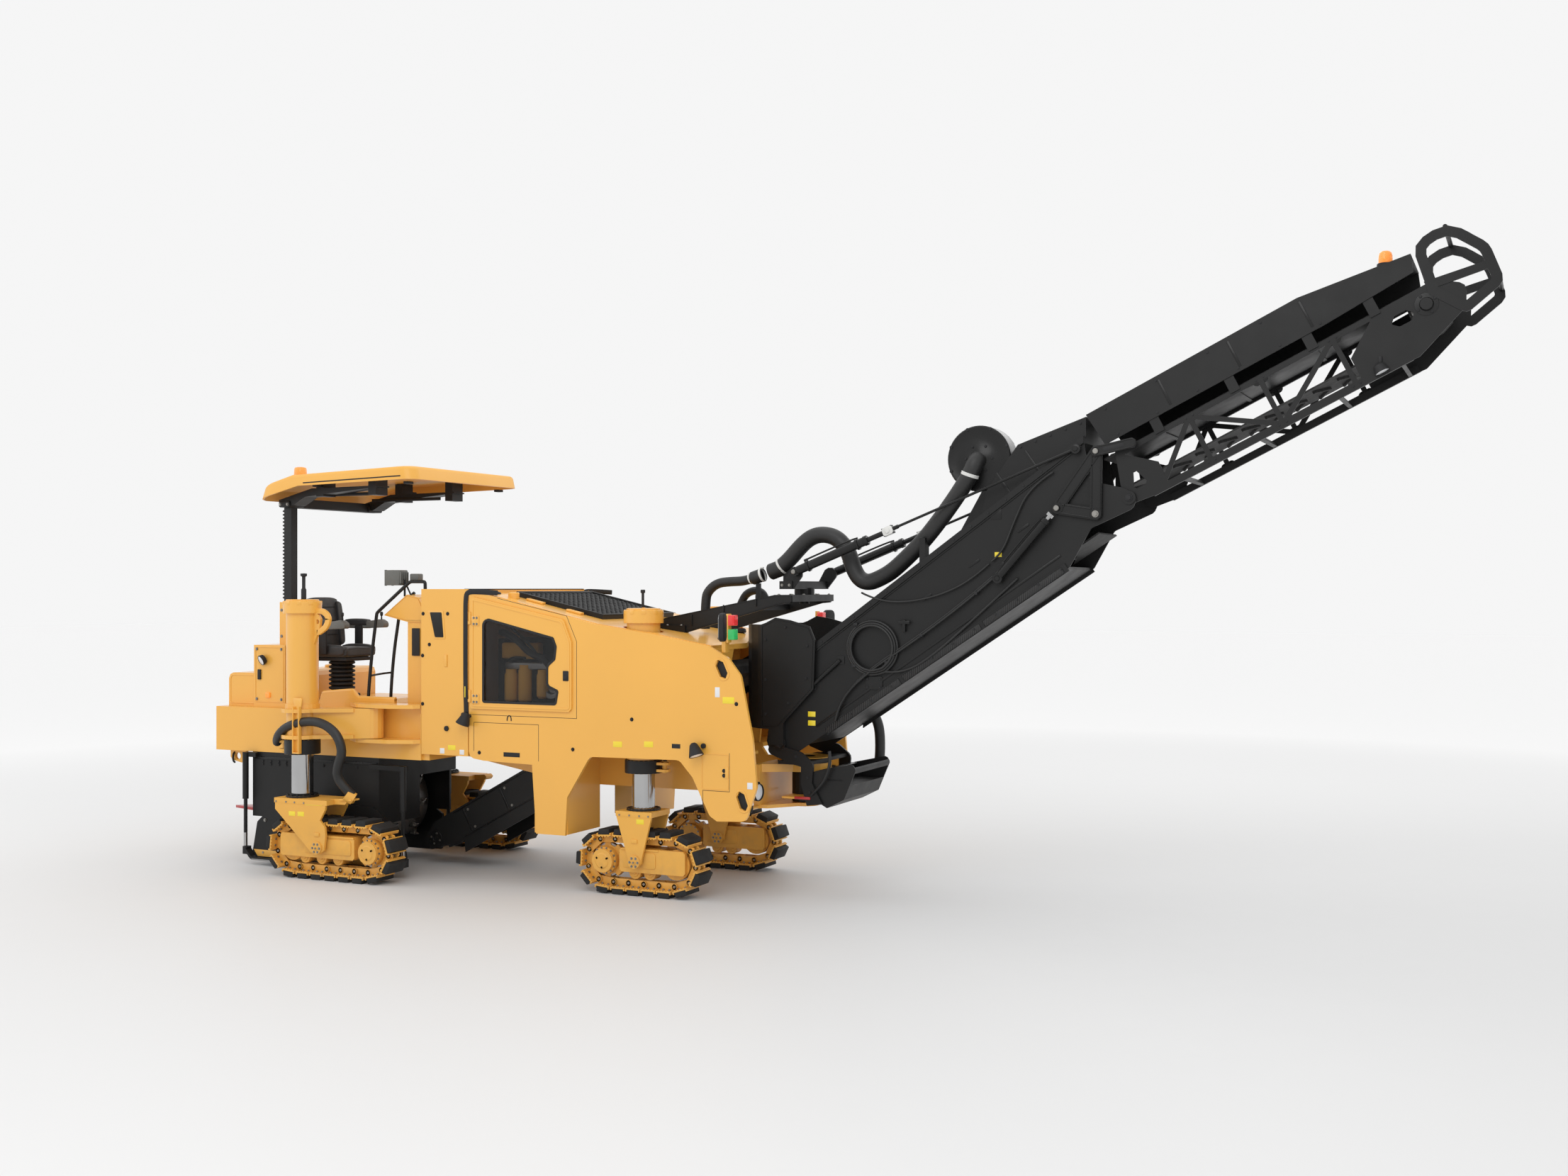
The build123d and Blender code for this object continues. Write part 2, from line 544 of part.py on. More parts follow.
# ---------------------------------------------------------------- milling unit
def drum_housing():
    """Box over the drum, open below and towards the conveyor."""
    shell = block(BOX_REAR, BOX_FRONT, BOX_RIGHT, BOX_LEFT, BOX_LOW, BOX_TOP)
    inner = block(BOX_REAR + 30, BOX_FRONT - 30, BOX_RIGHT + BOX_WALL, BOX_LEFT - BOX_WALL, 0, BOX_TOP - 30)
    mouth = block(BOX_FRONT - 60, BOX_FRONT + 10, -LIFT_HALF - 20, BOX_LEFT + 10, 0, 880)
    shell = shell - inner - mouth
    right, left = BOX_RIGHT - 50, BOX_LEFT + 50
    barrels = [(-4325, right, 1095, 640), (-4325, left, 1095, 640), (-2420, right, 1040, 620), (-2870, left, 1040, 620)]
    for x, y, high, low in barrels:
        side = -1 if y < 0 else 1
        x0, x1 = sorted((x, BOX_REAR + 60 if x < DRUM_X else BOX_FRONT - 60))
        shell += block(x0 - 20, x1 + 20, *sorted((y, y - side * 51)), high - 45, high)
        shell += post(x, y, low, high, 30)
        shell -= post(x, y, low - 1, high - 30, 18.5)
    push_bar = outline((-4590, -900), (-4270, -990), (-4270, -600))
    return shell + plan_slab(push_bar, 520, 545)


def side_plate(right):
    """Sliding side plate with its runner and the two rods that lift it."""
    y_in = BOX_RIGHT - SEAT if right else BOX_LEFT + SEAT
    way = -1 if right else 1
    y_out = y_in + way * PLATE_THICK
    front = -2400 if right else -2850
    face = outline(
        (-4260, 120), (-4200, 60), (front - 80, 60), (front, 150), (front - 60, 420), (front - 400, 640),
        (-3950, 640), (-4200, 420),
    )
    plate = side_slab(face, *sorted((y_in, y_out)))
    ski = outline(
        (-4330, 150, 10), (-4240, 52, 40), (front - 160, 52, 60), (front - 30, 150, 10), (front - 55, 160, 6),
        (front - 170, 77, 50),
        (-4230, 77, 30), (-4310, 165, 6),
    )
    plate += side_slab(ski, *sorted((y_in, y_in + way * 75)))
    y_rod = BOX_RIGHT - 50 if right else BOX_LEFT + 50
    for x, top in ((-4325, 700), (front - 20, 690)):
        plate += post(x, y_rod, 150, top, 18)
        plate += block(x - 26, x + 26, *sorted((y_in, y_rod + way * 14)), 100, 175)
    return plate


def moldboard():
    """Scraper behind the drum."""
    face = outline((-4235, 110), (-4195, 110), (-4150, 260), (-4150, 900), (-4175, 900), (-4180, 270))
    board = side_slab(face, BOX_RIGHT + BOX_WALL + RUN, BOX_LEFT - BOX_WALL - RUN)
    hangers = both_sides(block(-4185, -4130, 100, 160, 850, BOX_TOP - 30 - SEAT))
    return board + Pos(0, (BOX_RIGHT + BOX_LEFT) / 2, 0) * hangers


def milling_drum():
    """Drum with two hands of helical teeth that carry the cuttings to the conveyor."""
    mid = (DRUM_RIGHT + DRUM_LEFT) / 2
    shell = pin_y(DRUM_X, DRUM_Z, DRUM_RIGHT, DRUM_LEFT, DRUM_R)
    shell += pin_y(DRUM_X, DRUM_Z, BOX_RIGHT + BOX_WALL + RUN, BOX_LEFT - BOX_WALL - RUN, 120)
    shell += hole_y(DRUM_X, DRUM_Z, BOX_RIGHT + BOX_WALL + SEAT, BOX_LEFT - BOX_WALL - SEAT, 50)
    rows = 11
    tooth = extrude(outline((-40, 0), (40, 0), (0, CUT_R - DRUM_R + 8), (-34, 62)), 17, both=True)
    for index in range(rows):
        y = DRUM_RIGHT + 45 + index * (DRUM_LEFT - DRUM_RIGHT - 90) / (rows - 1)
        spread = abs(y - mid) * 0.55
        for start in (0, 120, 240):
            turn = start + spread
            place = Pos(DRUM_X, y, DRUM_Z) * Rot(0, turn, 0) * Pos(0, 0, DRUM_R - 10) * Rot(90, 0, 0)
            shell += place * tooth
    return shell


# ---------------------------------------------------------------- collecting conveyor
def lift_frame_place():
    (x0, z0), (x1, z1) = LIFT_TAIL, LIFT_HEAD
    return turned((x0, z0), math.degrees(math.atan2(z1 - z0, x1 - x0)))


LIFT_LENGTH = math.hypot(LIFT_HEAD[0] - LIFT_TAIL[0], LIFT_HEAD[1] - LIFT_TAIL[1])


def collecting_conveyor():
    """Side beams, cross ties and the shield below the tail."""
    beam = side_slab(
        outline((-120, -60, 30), (250, -150), (LIFT_LENGTH + 40, -150, 60), (LIFT_LENGTH + 90, 0, 60),
                (LIFT_LENGTH + 40, 150, 60), (60, 150), (-120, 60, 30)),
        LIFT_HALF - 15, LIFT_HALF,
    )
    frame = both_sides(beam)
    for u in range(300, int(LIFT_LENGTH) - 200, 480):
        frame += Pos(u, 0, 0) * Box(60, 2 * LIFT_HALF - 20, 50)
    frame -= hole_y(LIFT_LENGTH, 0, -LIFT_HALF, LIFT_HALF, 25 + SEAT)
    shield = side_slab(
        outline((250, -260), (1180, -260), (1330, -160), (1330, -140), (300, -140)), LIFT_HALF - 15, LIFT_HALF
    )
    return lift_frame_place() * (frame + both_sides(shield))


def belt_outline(tail, head, w, radius):
    """A belt's closed outline round two drums of the same radius."""
    corners = ((tail - radius, w - radius), (head + radius, w - radius), (head + radius, w + radius),
               (tail - radius, w + radius))
    return outline(*[(u, z, 0.9 * radius) for u, z in corners])


def collecting_belt():
    radius, half = 95.0, LIFT_HALF - 15 - RUN
    run = belt_outline(0, LIFT_LENGTH, 0, radius)
    inside = belt_outline(0, LIFT_LENGTH, 0, radius - BELT_THICK)
    belt = side_slab(run - inside, -half, half)
    for u in (0, LIFT_LENGTH):
        belt += pin_y(u, 0, -half, half, radius - BELT_THICK / 2)
        belt += pin_y(u, 0, -half - RUN + SEAT, half + RUN - SEAT, 40)
    return lift_frame_place() * (belt - hole_y(LIFT_LENGTH, 0, -LIFT_HALF, LIFT_HALF, 25 + SEAT))


# ---------------------------------------------------------------- discharge conveyor
LOWER_POINTS = [
    (1010, 1300, 60), (1300, 1262), (3730, 2868), (3905, 3180, 30), (4240, 3330, 40), (4290, 3440, 40), (4160, 3500),
    (3900, 3560), (3846, 3872), (1300, 2045), (1330, 1900), (1040, 1500),
]


def conveyor_lower():
    """Lower section: side plates, top cover, floor, fan and the brackets of the fold."""
    plate = side_slab(outline(*LOWER_POINTS), SIDE_HALF - SIDE_THICK, SIDE_HALF)
    plate -= hole_y(*LUFF_PIVOT, 0, 500, 30 + SEAT)
    lip = side_slab(
        outline((1330, 2050), (3846, 3866), (3846, 3926), (1300, 2090)), SIDE_HALF - 60, SIDE_HALF + 20
    )
    guard = side_slab(
        outline((1600, 1430), (3730, 2838), (3690, 2900), (1600, 1520)), SIDE_HALF, SIDE_HALF + 14
    )
    boss = pin_y(*FOLD_PIVOT, SIDE_HALF, SIDE_HALF + 10, 55)
    boss += pin_y(*CRANK_PIVOT, SIDE_HALF, SIDE_HALF + 10, 50) + pin_y(*CRANK_PIVOT, SIDE_HALF, SIDE_HALF + 40, 25)
    boss += pin_y(*FOLD_BASE, SIDE_HALF, SIDE_HALF + 10, 45) + pin_y(*FOLD_BASE, SIDE_HALF, SIDE_HALF + 70, 20)
    solid = both_sides(plate + lip + guard + boss)
    solid -= both_sides(hole_y(*FOLD_PIVOT, SIDE_HALF - 30, SIDE_HALF + 20, 30 + SEAT))
    inside = SIDE_HALF - SIDE_THICK
    cover = outline((1500, 2180), (3846, 3870), (3846, 3905), (1500, 2215))
    solid += side_slab(cover, -inside - 1, inside + 1)
    floor = outline((1420, 1345), (3700, 2852), (3700, 2872), (1420, 1365))
    solid += side_slab(floor, -inside - 1, inside + 1)
    duct = outline((2960, 3250), (3846, 3890), (3846, 4085), (3275, 3880), (3000, 3500))
    solid += side_slab(duct, -330, 330)
    x, z = FAN
    box = outline((2750, 3150), (3100, 3400), (3200, 3700), (2950, 3500))
    solid += pin_y(x, z, FAN_FACE, FAN_FACE + 200, 275) + side_slab(box, FAN_FACE, FAN_FACE + 200)
    strap = outline((2440, 2900), (2490, 2935), (2490, 3120), (2440, 3120))
    solid += side_slab(strap, -SIDE_HALF, -300)
    return solid - tube_along([(x, y, z) for x, z, y in SECTION_HOSE], HOSE_R + SEAT)


def belt_lower():
    """The belt's two runs in the lower section, round the tail drum."""
    place = turned((1240, 1560), math.degrees(math.atan2(1785, 2750)))
    length, radius = 3130.0, 150.0
    ends = block(length, length + 400, -BELT_HALF - 1, BELT_HALF + 1, -radius - 1, radius + 1)
    outer = belt_outline(0, length + 200, 0, radius)
    belt = side_slab(outer - belt_outline(0, length + 200, 0, radius - BELT_THICK), -BELT_HALF, BELT_HALF) - ends
    belt += pin_y(0, 0, -SIDE_HALF + SIDE_THICK + SEAT, SIDE_HALF - SIDE_THICK - SEAT, 40)
    belt += pin_y(0, 0, -BELT_HALF, BELT_HALF, radius - BELT_THICK / 2)
    return place * belt


def from_fold(point):
    """A machine point, along and square to the upper section."""
    x, z = point[0] - FOLD_PIVOT[0], point[1] - FOLD_PIVOT[1]
    turn = math.radians(UPPER_ANGLE)
    return x * math.cos(turn) + z * math.sin(turn), z * math.cos(turn) - x * math.sin(turn)


def upper_place():
    return turned(FOLD_PIVOT, UPPER_ANGLE)


def conveyor_upper():
    """Upper section: covers, truss, head plates and the guard hoops."""
    inside = SIDE_HALF - SIDE_THICK - RUN - 1
    y0, y1 = inside - SIDE_THICK, inside
    wall = side_slab(
        outline((-10, 760), (1820, 757), (2665, 632), (2620, 500), (1900, 470), (20, 470)), y0 + 18, y1 + 18
    )
    upper_chord = side_slab(outline((60, 330), (2300, 330), (2300, 372), (60, 372)), y0 - 20, y1)
    lower_chord = side_slab(outline((180, -80), (2330, -80), (2330, -20), (180, -20)), y0 - 20, y1)
    truss = wall + upper_chord + lower_chord
    posts = [(700, -50, 700, 350), (1300, -50, 1300, 350), (1900, -50, 1900, 350)]
    slants = [(260, -50, 700, 350), (700, 350, 1300, -50), (1300, -50, 1900, 350)]
    for u0, w0, u1, w1 in posts + slants:
        truss += bar((u0, w0), (u1, w1), 40, y0, y1)
    for u in (450, 1100, 1750, 2250):
        truss += block(u - 40, u + 40, y0, y1 + 10, 350, 500)
    root = outline(
        (-45, -40, 30), (30, -55, 40), (240, -80), (330, -60), (330, 150), (120, 330), (240, 372), (90, 470, 40),
        (60, 380), (-20, 120, 40),
    ) - outline((60, 40, 15), (190, 40, 15), (130, 200, 15)) 
    truss += side_slab(root, y0, y1)
    head = outline(
        (1950, -60), (2380, -80), (2820, 90, 60), (2900, 240, 60), (2720, 380, 40), (2250, 372), (1950, 150),
    )
    head -= Pos(HEAD_U - 190, HEAD_W - 10) * slot_face(170, 90)
    truss += side_slab(head, y0, y1)
    solid = both_sides(truss)
    solid += both_sides(pin_y(0, 0, y0, SIDE_HALF + 12, 30))
    solid += both_sides(pin_y(*from_fold(LINK_END), y0, SIDE_HALF + 30, 22))
    solid += pin_y(HEAD_U, HEAD_W, -y1 - 30, y1 + 30, 45)
    cover = outline((-10, 748), (1820, 745), (2665, 620), (2665, 632), (1820, 757), (-10, 760))
    solid += side_slab(cover, -y1 - 10, y1 + 10)
    trough = outline((60, 355), (2300, 355), (2300, 367), (60, 367))
    solid += side_slab(trough, -y1, y1)
    for u in (450, 1100, 1750, 2250):
        solid += block(u - 15, u + 15, -y1, y1, 345, 372)
        solid += block(u - 15, u + 15, -y1, y1, -78, -50)
    hoop = outline((2640, 300), (2700, 690, 120), (2990, 720, 180), (3160, 420, 150), (3130, 120, 80), (2800, 40, 60))
    hoop -= offset(hoop, -75, kind=Kind.INTERSECTION)
    hoop += outline((2650, 330), (3130, 250), (3130, 310), (2650, 400))
    solid += both_sides(side_slab(hoop, y1 - SIDE_THICK, y1 + 6))
    for u, w in ((3120, 200), (2960, 690)):
        solid += rod((u, -y1, w), (u, y1, w), 18)
    return upper_place() * solid


def belt_upper():
    start, radius = -60.0, HEAD_R
    ends = block(start - 400, start, -BELT_HALF - 1, BELT_HALF + 1, HEAD_W - radius - 1, HEAD_W + radius + 1)
    outer = belt_outline(start - 200, HEAD_U, HEAD_W, radius)
    inner = belt_outline(start - 200, HEAD_U, HEAD_W, radius - BELT_THICK)
    belt = side_slab(outer - inner, -BELT_HALF, BELT_HALF) - ends
    belt += pin_y(HEAD_U, HEAD_W, -BELT_HALF, BELT_HALF, radius - BELT_THICK / 2)
    belt -= hole_y(HEAD_U, HEAD_W, -BELT_HALF - 1, BELT_HALF + 1, 45 + SEAT)
    return upper_place() * belt


def fold_crank():
    """The triangular crank on each side that the fold cylinder turns."""
    y0, y1 = SIDE_HALF + 12, SIDE_HALF + 34
    corners = [CRANK_PIVOT, CRANK_TOP, CRANK_REAR]
    solid = None
    for index in range(3):
        arm = bar(corners[index], corners[(index + 1) % 3], 95, y0, y1)
        solid = arm if solid is None else solid + arm
    solid -= hole_y(*CRANK_PIVOT, y0 - 1, y1 + 1, 25 + SEAT)
    for x, z in (CRANK_TOP, CRANK_REAR):
        solid += pin_y(x, z, y1 - 1, y1 + 36, 22)
    return both_sides(solid)


def fold_link():
    y0, y1 = SIDE_HALF + 36, SIDE_HALF + 56
    link = bar(CRANK_TOP, LINK_END, 80, y0, y1) - hole_y(*CRANK_TOP, y0 - 1, y1 + 1, 22 + SEAT)
    return both_sides(link)


def fold_cylinder():
    """Barrel of the fold cylinder on each side."""
    y = SIDE_HALF + 58
    (x0, z0), (x1, z1) = FOLD_BASE, CRANK_REAR
    length = math.hypot(x1 - x0, z1 - z0)
    place = turned(FOLD_BASE, math.degrees(math.atan2(z1 - z0, x1 - x0)))
    barrel = rod((35, y, 0), (length - 120, y, 0), 33) - rod((60, y, 0), (length, y, 0), 18.5)
    eye = pin_y(0, 0, y - 10, y + 10, 42) - hole_y(0, 0, y - 20, y + 20, 20 + SEAT)
    return both_sides(place * (barrel + eye))


def fold_rod():
    y = SIDE_HALF + 58
    (x0, z0), (x1, z1) = FOLD_BASE, CRANK_REAR
    length = math.hypot(x1 - x0, z1 - z0)
    place = turned(FOLD_BASE, math.degrees(math.atan2(z1 - z0, x1 - x0)))
    piston = rod((75, y, 0), (length - 62, y, 0), 18)
    fork = block(length - 90, length - 62, y - 8, y + 8, -30, 30)
    return both_sides(place * (piston + fork))


SHROUD_POINTS = [
    (1090, 1470), (1150, 1475), (1488, 1826), (1504, 2254), (1454, 2368), (1269, 2420), (1124, 2442), (1030, 2395),
    (985, 2380), (985, 1470),
]
SLEW_ARM_POINTS = [
    (1035, 1310, 40), (1120, 1395, 40), (1209, 1310), (1361, 1275, 60), (1478, 1180, 60), (1464, 1012), (1562, 834),
    (1415, 815), (1360, 1000), (1360, 1150), (1290, 1165), (1060, 1250, 30),
]
NOSE_POINTS = [
    (1465, 1110), (1831, 1190, 20), (1864, 1140, 20), (1752, 880), (1595, 801), (1541, 830), (1465, 1000),
]


def slew_turret():
    """The conveyor's bracket: hub on the king pin, table, curved arms, nose box and the hopper's cheeks."""
    arm_in, arm_out = SIDE_HALF + RUN, SIDE_HALF + RUN + 25
    low, high = TONGUE_BOTTOM[1] + RUN, TONGUE_TOP[0] - RUN
    turret = post(SLEW_X, 0, TONGUE_TOP[1] + SEAT, 1195, 240)
    turret += block(SLEW_X - 60, 1440, -arm_out, arm_out, 1165, 1195)
    turret += both_sides(side_slab(outline(*SLEW_ARM_POINTS), arm_in, arm_out))
    turret += both_sides(pin_y(*LUFF_PIVOT, SIDE_HALF - SIDE_THICK, arm_in + 1, 30))
    nose = side_slab(outline(*NOSE_POINTS), -arm_in, arm_in)
    nose -= block(1490, 1850, -arm_in + 15, arm_in - 15, 1000, 1260) + both_sides(block(1600, 1740, arm_in - 8, 500, 1040, 1056))
    neck = block(SLEW_X, 1560, -105, 105, low + 15, high - 15)
    hub = post(SLEW_X, 0, low, high, 110)
    turret += nose + neck + hub - hole_z(SLEW_X, 0, low - 1, high + 1, KING_PIN_R + SEAT)
    ring = RegularPolygon(CHEEK_R, 24) - RegularPolygon(CHEEK_R - 12, 24)
    keep = outline((-433, 250), (-433, 600), (-210, 600), (-210, 250))
    cheek = Pos(SLEW_X, 0, 0) * plan_slab(ring & keep, 1470, 2380)
    cheek += side_slab(outline(*SHROUD_POINTS), CHEEK_OUT - 12, CHEEK_OUT)
    cheek += block(1060, 1200, arm_in, CHEEK_OUT, 1330, 1560)
    return turret + both_sides(cheek)


def slew_head():
    """The upper swivel over the gantry, with the pins of the lift cylinders and a hose clamp."""
    x, z = STRUT_BASE
    head = post(SLEW_X, 0, 2640 + SEAT, 2700, 90) + hole_z(SLEW_X, 0, 2560, 2650, 45)
    head += block(SLEW_X - 60, SLEW_X + 60, -400, 400, 2690, 2760)
    ear = outline((SLEW_X - 60, 2690), (SLEW_X + 60, 2690), (x + 50, z - 40, 20), (x + 50, z + 45, 40), (x - 50, z + 45, 40))
    head += both_sides(side_slab(ear, 365, 385) + pin_y(x, z, 380, 460, 20))
    u, w = SWIVEL_HOSE[1]
    clamp = block(u - 30, SLEW_X - 40, HOSE_Y - 15, HOSE_Y + 15, 2720, w)
    return head + clamp - tube_along([(x, HOSE_Y, z) for x, z in SWIVEL_HOSE], HOSE_R + SEAT)


def gantry():
    """Two arms from the roof that carry the upper swivel, and the saddle of the hose."""
    arm = outline((-60, 2290), (200, 2290), (1180, 2560), (1290, 2570, 30), (1290, 2640), (1120, 2640), (20, 2430, 40),
                  (-60, 2380, 20))
    saddle = rod(*SLEEVE, HOSE_R - 12 + SEAT)
    arms = both_sides(side_slab(arm, 420, 450) + block(-90, 240, 400, 470, 2290, 2365))
    cross = plan_slab(outline((1110, -450), (1290, -450), (1290, 450), (1110, 450)), 2580, 2640)
    cross -= hole_z(SLEW_X, 0, 2500, 2700, 45 + SEAT)
    cross += block(820, 860, -450, 450, 2500, 2550) + block(820, 860, HOSE_Y - 15, HOSE_Y + 15, 2540, 2742)
    roof = outline(*ROOF_LINE, (760, 2000), (-2250, 2000))
    return arms + (cross - saddle) - Pos(0, 0, SEAT) * side_slab(roof, -600, 600)


def hood_hose():
    """The thin end of the dust hose and the sleeve in which it grows."""
    hose = tube_along([(x, HOSE_Y, z) for x, z in HOOD_HOSE], THIN_HOSE_R)
    return hose + rod(*SLEEVE, HOSE_R - 12)


def swivel_hose():
    return tube_along([(x, HOSE_Y, z) for x, z in SWIVEL_HOSE], HOSE_R)


def section_hose():
    return tube_along([(x, y, z) for x, z, y in SECTION_HOSE], HOSE_R)


def lift_place():
    (x0, z0), (x1, z1) = STRUT_BASE, STRUT_END
    return turned(STRUT_BASE, math.degrees(math.atan2(z1 - z0, x1 - x0)))


def lift_cylinder():
    length = math.hypot(STRUT_JOINT[0] - STRUT_BASE[0], STRUT_JOINT[1] - STRUT_BASE[1])
    y = 430
    barrel = rod((30, y, 0), (length - 190, y, 0), 38) - rod((45, y, 0), (length, y, 0), 22.5)
    eye = pin_y(0, 0, y - 15, y + 15, 42) - hole_y(0, 0, y - 30, y + 30, 20 + SEAT)
    return both_sides(lift_place() * (barrel + eye))


def lift_rod():
    """Rod, bright clevis and long tie to the end of the lower section."""
    joint = math.hypot(STRUT_JOINT[0] - STRUT_BASE[0], STRUT_JOINT[1] - STRUT_BASE[1])
    full = math.hypot(STRUT_END[0] - STRUT_BASE[0], STRUT_END[1] - STRUT_BASE[1])
    y = SIDE_HALF + 30 + RUN + 10
    inner = rod((200, 430, 0), (joint - 30, 430, 0), 22)
    clevis = block(joint - 35, joint + 60, 405, 455, -35, 35)
    tie = rod((joint + 50, 440, 0), (full - 20, 440, 0), 11)
    eye = pin_y(full, 0, SIDE_HALF + 30 + RUN, SIDE_HALF + 30 + RUN + 20, 40)
    tie += eye
    return both_sides(lift_place() * (inner + clevis + tie))


# ---------------------------------------------------------------- operator's station
MAST = (-4150.0, -610.0)
CANOPY_REAR, CANOPY_FRONT, CANOPY_HALF = -4335.0, -2440.0, 900.0


def platform_deck():
    low, top = FRAME_HIGH + SEAT, FRAME_HIGH + 30
    deck = block(-3940, -2260, -900, 940, low, top) + block(-4290, -3900, -520, 940, low, top)
    kerb = outline((-3560, top - 1), (-3500, 1690), (-3150, 1720), (-3080, 1650), (-2640, 1650), (-2640, top - 1))
    deck += side_slab(kerb, -900, -860) + side_slab(kerb, 900, 940)
    return deck - hole_z(LEGS[3]["x"], LEGS[3]["y"], 1500, 1800, GUIDE_R + SEAT)


def control_console():
    base = block(-2560, HOOD_REAR - SEAT, -800, 500, FRAME_HIGH + 30 + SEAT, 2380)
    base -= block(-2540, -2300, -780, 480, 1600, 2360)
    panel = outline((-2830, 2440), (-2560, 2380), (-2300, 2380), (-2420, 2610, 20), (-2560, 2640, 20))
    return base + side_slab(panel, -812, -380)


def operator_seat():
    x, y, z = -3790.0, -270.0, FRAME_HIGH + 30 + SEAT
    seat = block(x - 160, x + 160, y - 160, y + 160, z, z + 40) + post(x, y, z, z + 430, 70)
    seat += block(x - 230, x + 250, y - 250, y + 250, z + 420, z + 560)
    seat += side_slab(outline((x - 250, z + 500), (x - 160, z + 500), (x - 230, 2630, 40), (x - 330, 2630, 40)), y - 240, y + 240)
    for side in (-1, 1):
        seat += block(x - 200, x + 320, *sorted((y + side * 260, y + side * 340)), z + 720, z + 800)
        seat += block(x - 60, x + 40, *sorted((y + side * 240, y + side * 300)), z + 480, z + 740)
    return seat


def handrails():
    z = FRAME_HIGH + 30 + SEAT
    front = [(-3000, z), (-3000, z + 100), (-2900, 2450), (-2500, 2760), (-2330, 2760), (-2330, z)]
    rails = tube_along([(x, -836, height) for x, height in front], 16)
    return rails + tube_along([(-3100, 870, z), (-3100, 870, 2500), (-2500, 870, 2500), (-2500, 870, z)], 17)


def rear_cabinet():
    """Rear tank, cabinet behind the seat and the guide of the canopy's mast."""
    low = FRAME_HIGH + SEAT
    tank = side_slab(outline((-4700, low), (-4300, low), (-4300, 1860, 60), (-4700, 1860, 60)), -880, 880)
    cabinet = block(-4340, -3950, -920, -530, low, 2140)
    x, y = MAST
    guide = block(x - 75, x + 75, y - 75, y + 75, 2139, 2560)
    well = block(x - 45 - SEAT, x + 45 + SEAT, y - 45 - SEAT, y + 45 + SEAT, low + 20, 2600)
    return tank + cabinet + guide - well


ROOF_SIDE = [(-4335, 3570), (-3810, 3695), (-2440, 3730), (-2470, 3855), (-3890, 3805), (-4285, 3700)]
ROOF_PLAN_CORNER, SHELL = 140.0, 22.0


def under_roof(x):
    """Height of the shell's underside, less the seat, between its two highest points."""
    (x0, z0), (x1, z1) = ROOF_SIDE[4], ROOF_SIDE[3]
    return z0 + (x - x0) * (z1 - z0) / (x1 - x0) - SHELL - SEAT


def canopy_mast():
    """Post, and the head with the arms that carry the roof."""
    x, y = MAST
    mast = block(x - 45, x + 45, y - 45, y + 45, 2300, 3580)
    head = outline((x - 70, 3520), (x + 110, 3520, 20), (x + 260, 3600), (x + 1150, 3676), (x + 1150, 3690),
                   (x + 340, 3680), (x - 70, 3576))
    arms = side_slab(head, y - 90, y + 90) + Pos(0, 2 * abs(y), 0) * side_slab(head, y - 90, y + 90)
    cross = outline((x - 60, 3500), (x + 60, 3500), (x + 60, 3590), (x - 60, 3560))
    for x0 in (x + 400, x + 1040):
        pad = outline((x0, 3600), (x0 + 90, 3600), (x0 + 90, under_roof(x0 + 90)), (x0, under_roof(x0)))
        arms += both_sides(side_slab(pad, y - 90, y + 90))
    return mast + arms + side_slab(cross, y, -y)


def canopy_roof():
    """Shell whose side steps down to the rear; it is open below and carried by the mast's arms."""
    def lid(inset, drop):
        side = side_slab(outline(*[(x, z - drop) for x, z in ROOF_SIDE]), -CANOPY_HALF, CANOPY_HALF)
        x0, x1, y = CANOPY_REAR + inset, CANOPY_FRONT - inset, CANOPY_HALF - inset
        corner = ROOF_PLAN_CORNER - inset
        plan = outline((x0, -y, corner), (x1, -y, corner), (x1, y, corner), (x0, y, corner))
        return side & plan_slab(plan, 3400, 3900)
    return lid(0, 0) - lid(SHELL, SHELL)


def engine_block():
    feet = both_sides(block(-1500, -950, RAIL_IN, RAIL_OUT + 20, FLOOR_TOP + SEAT, 1500))
    return block(-1600, -850, -700, 700, 1480, 2230) + feet


def mirrors_and_lamps():
    foot = block(860, 900, 880, BODY_HALF - PANEL - SEAT, 2000, 2290)
    stalk = block(860, 935, 880, 1140, 2250, 2290)
    return both_sides(foot + stalk + block(930, 1000, 1110, 1170, 2270, 2470))


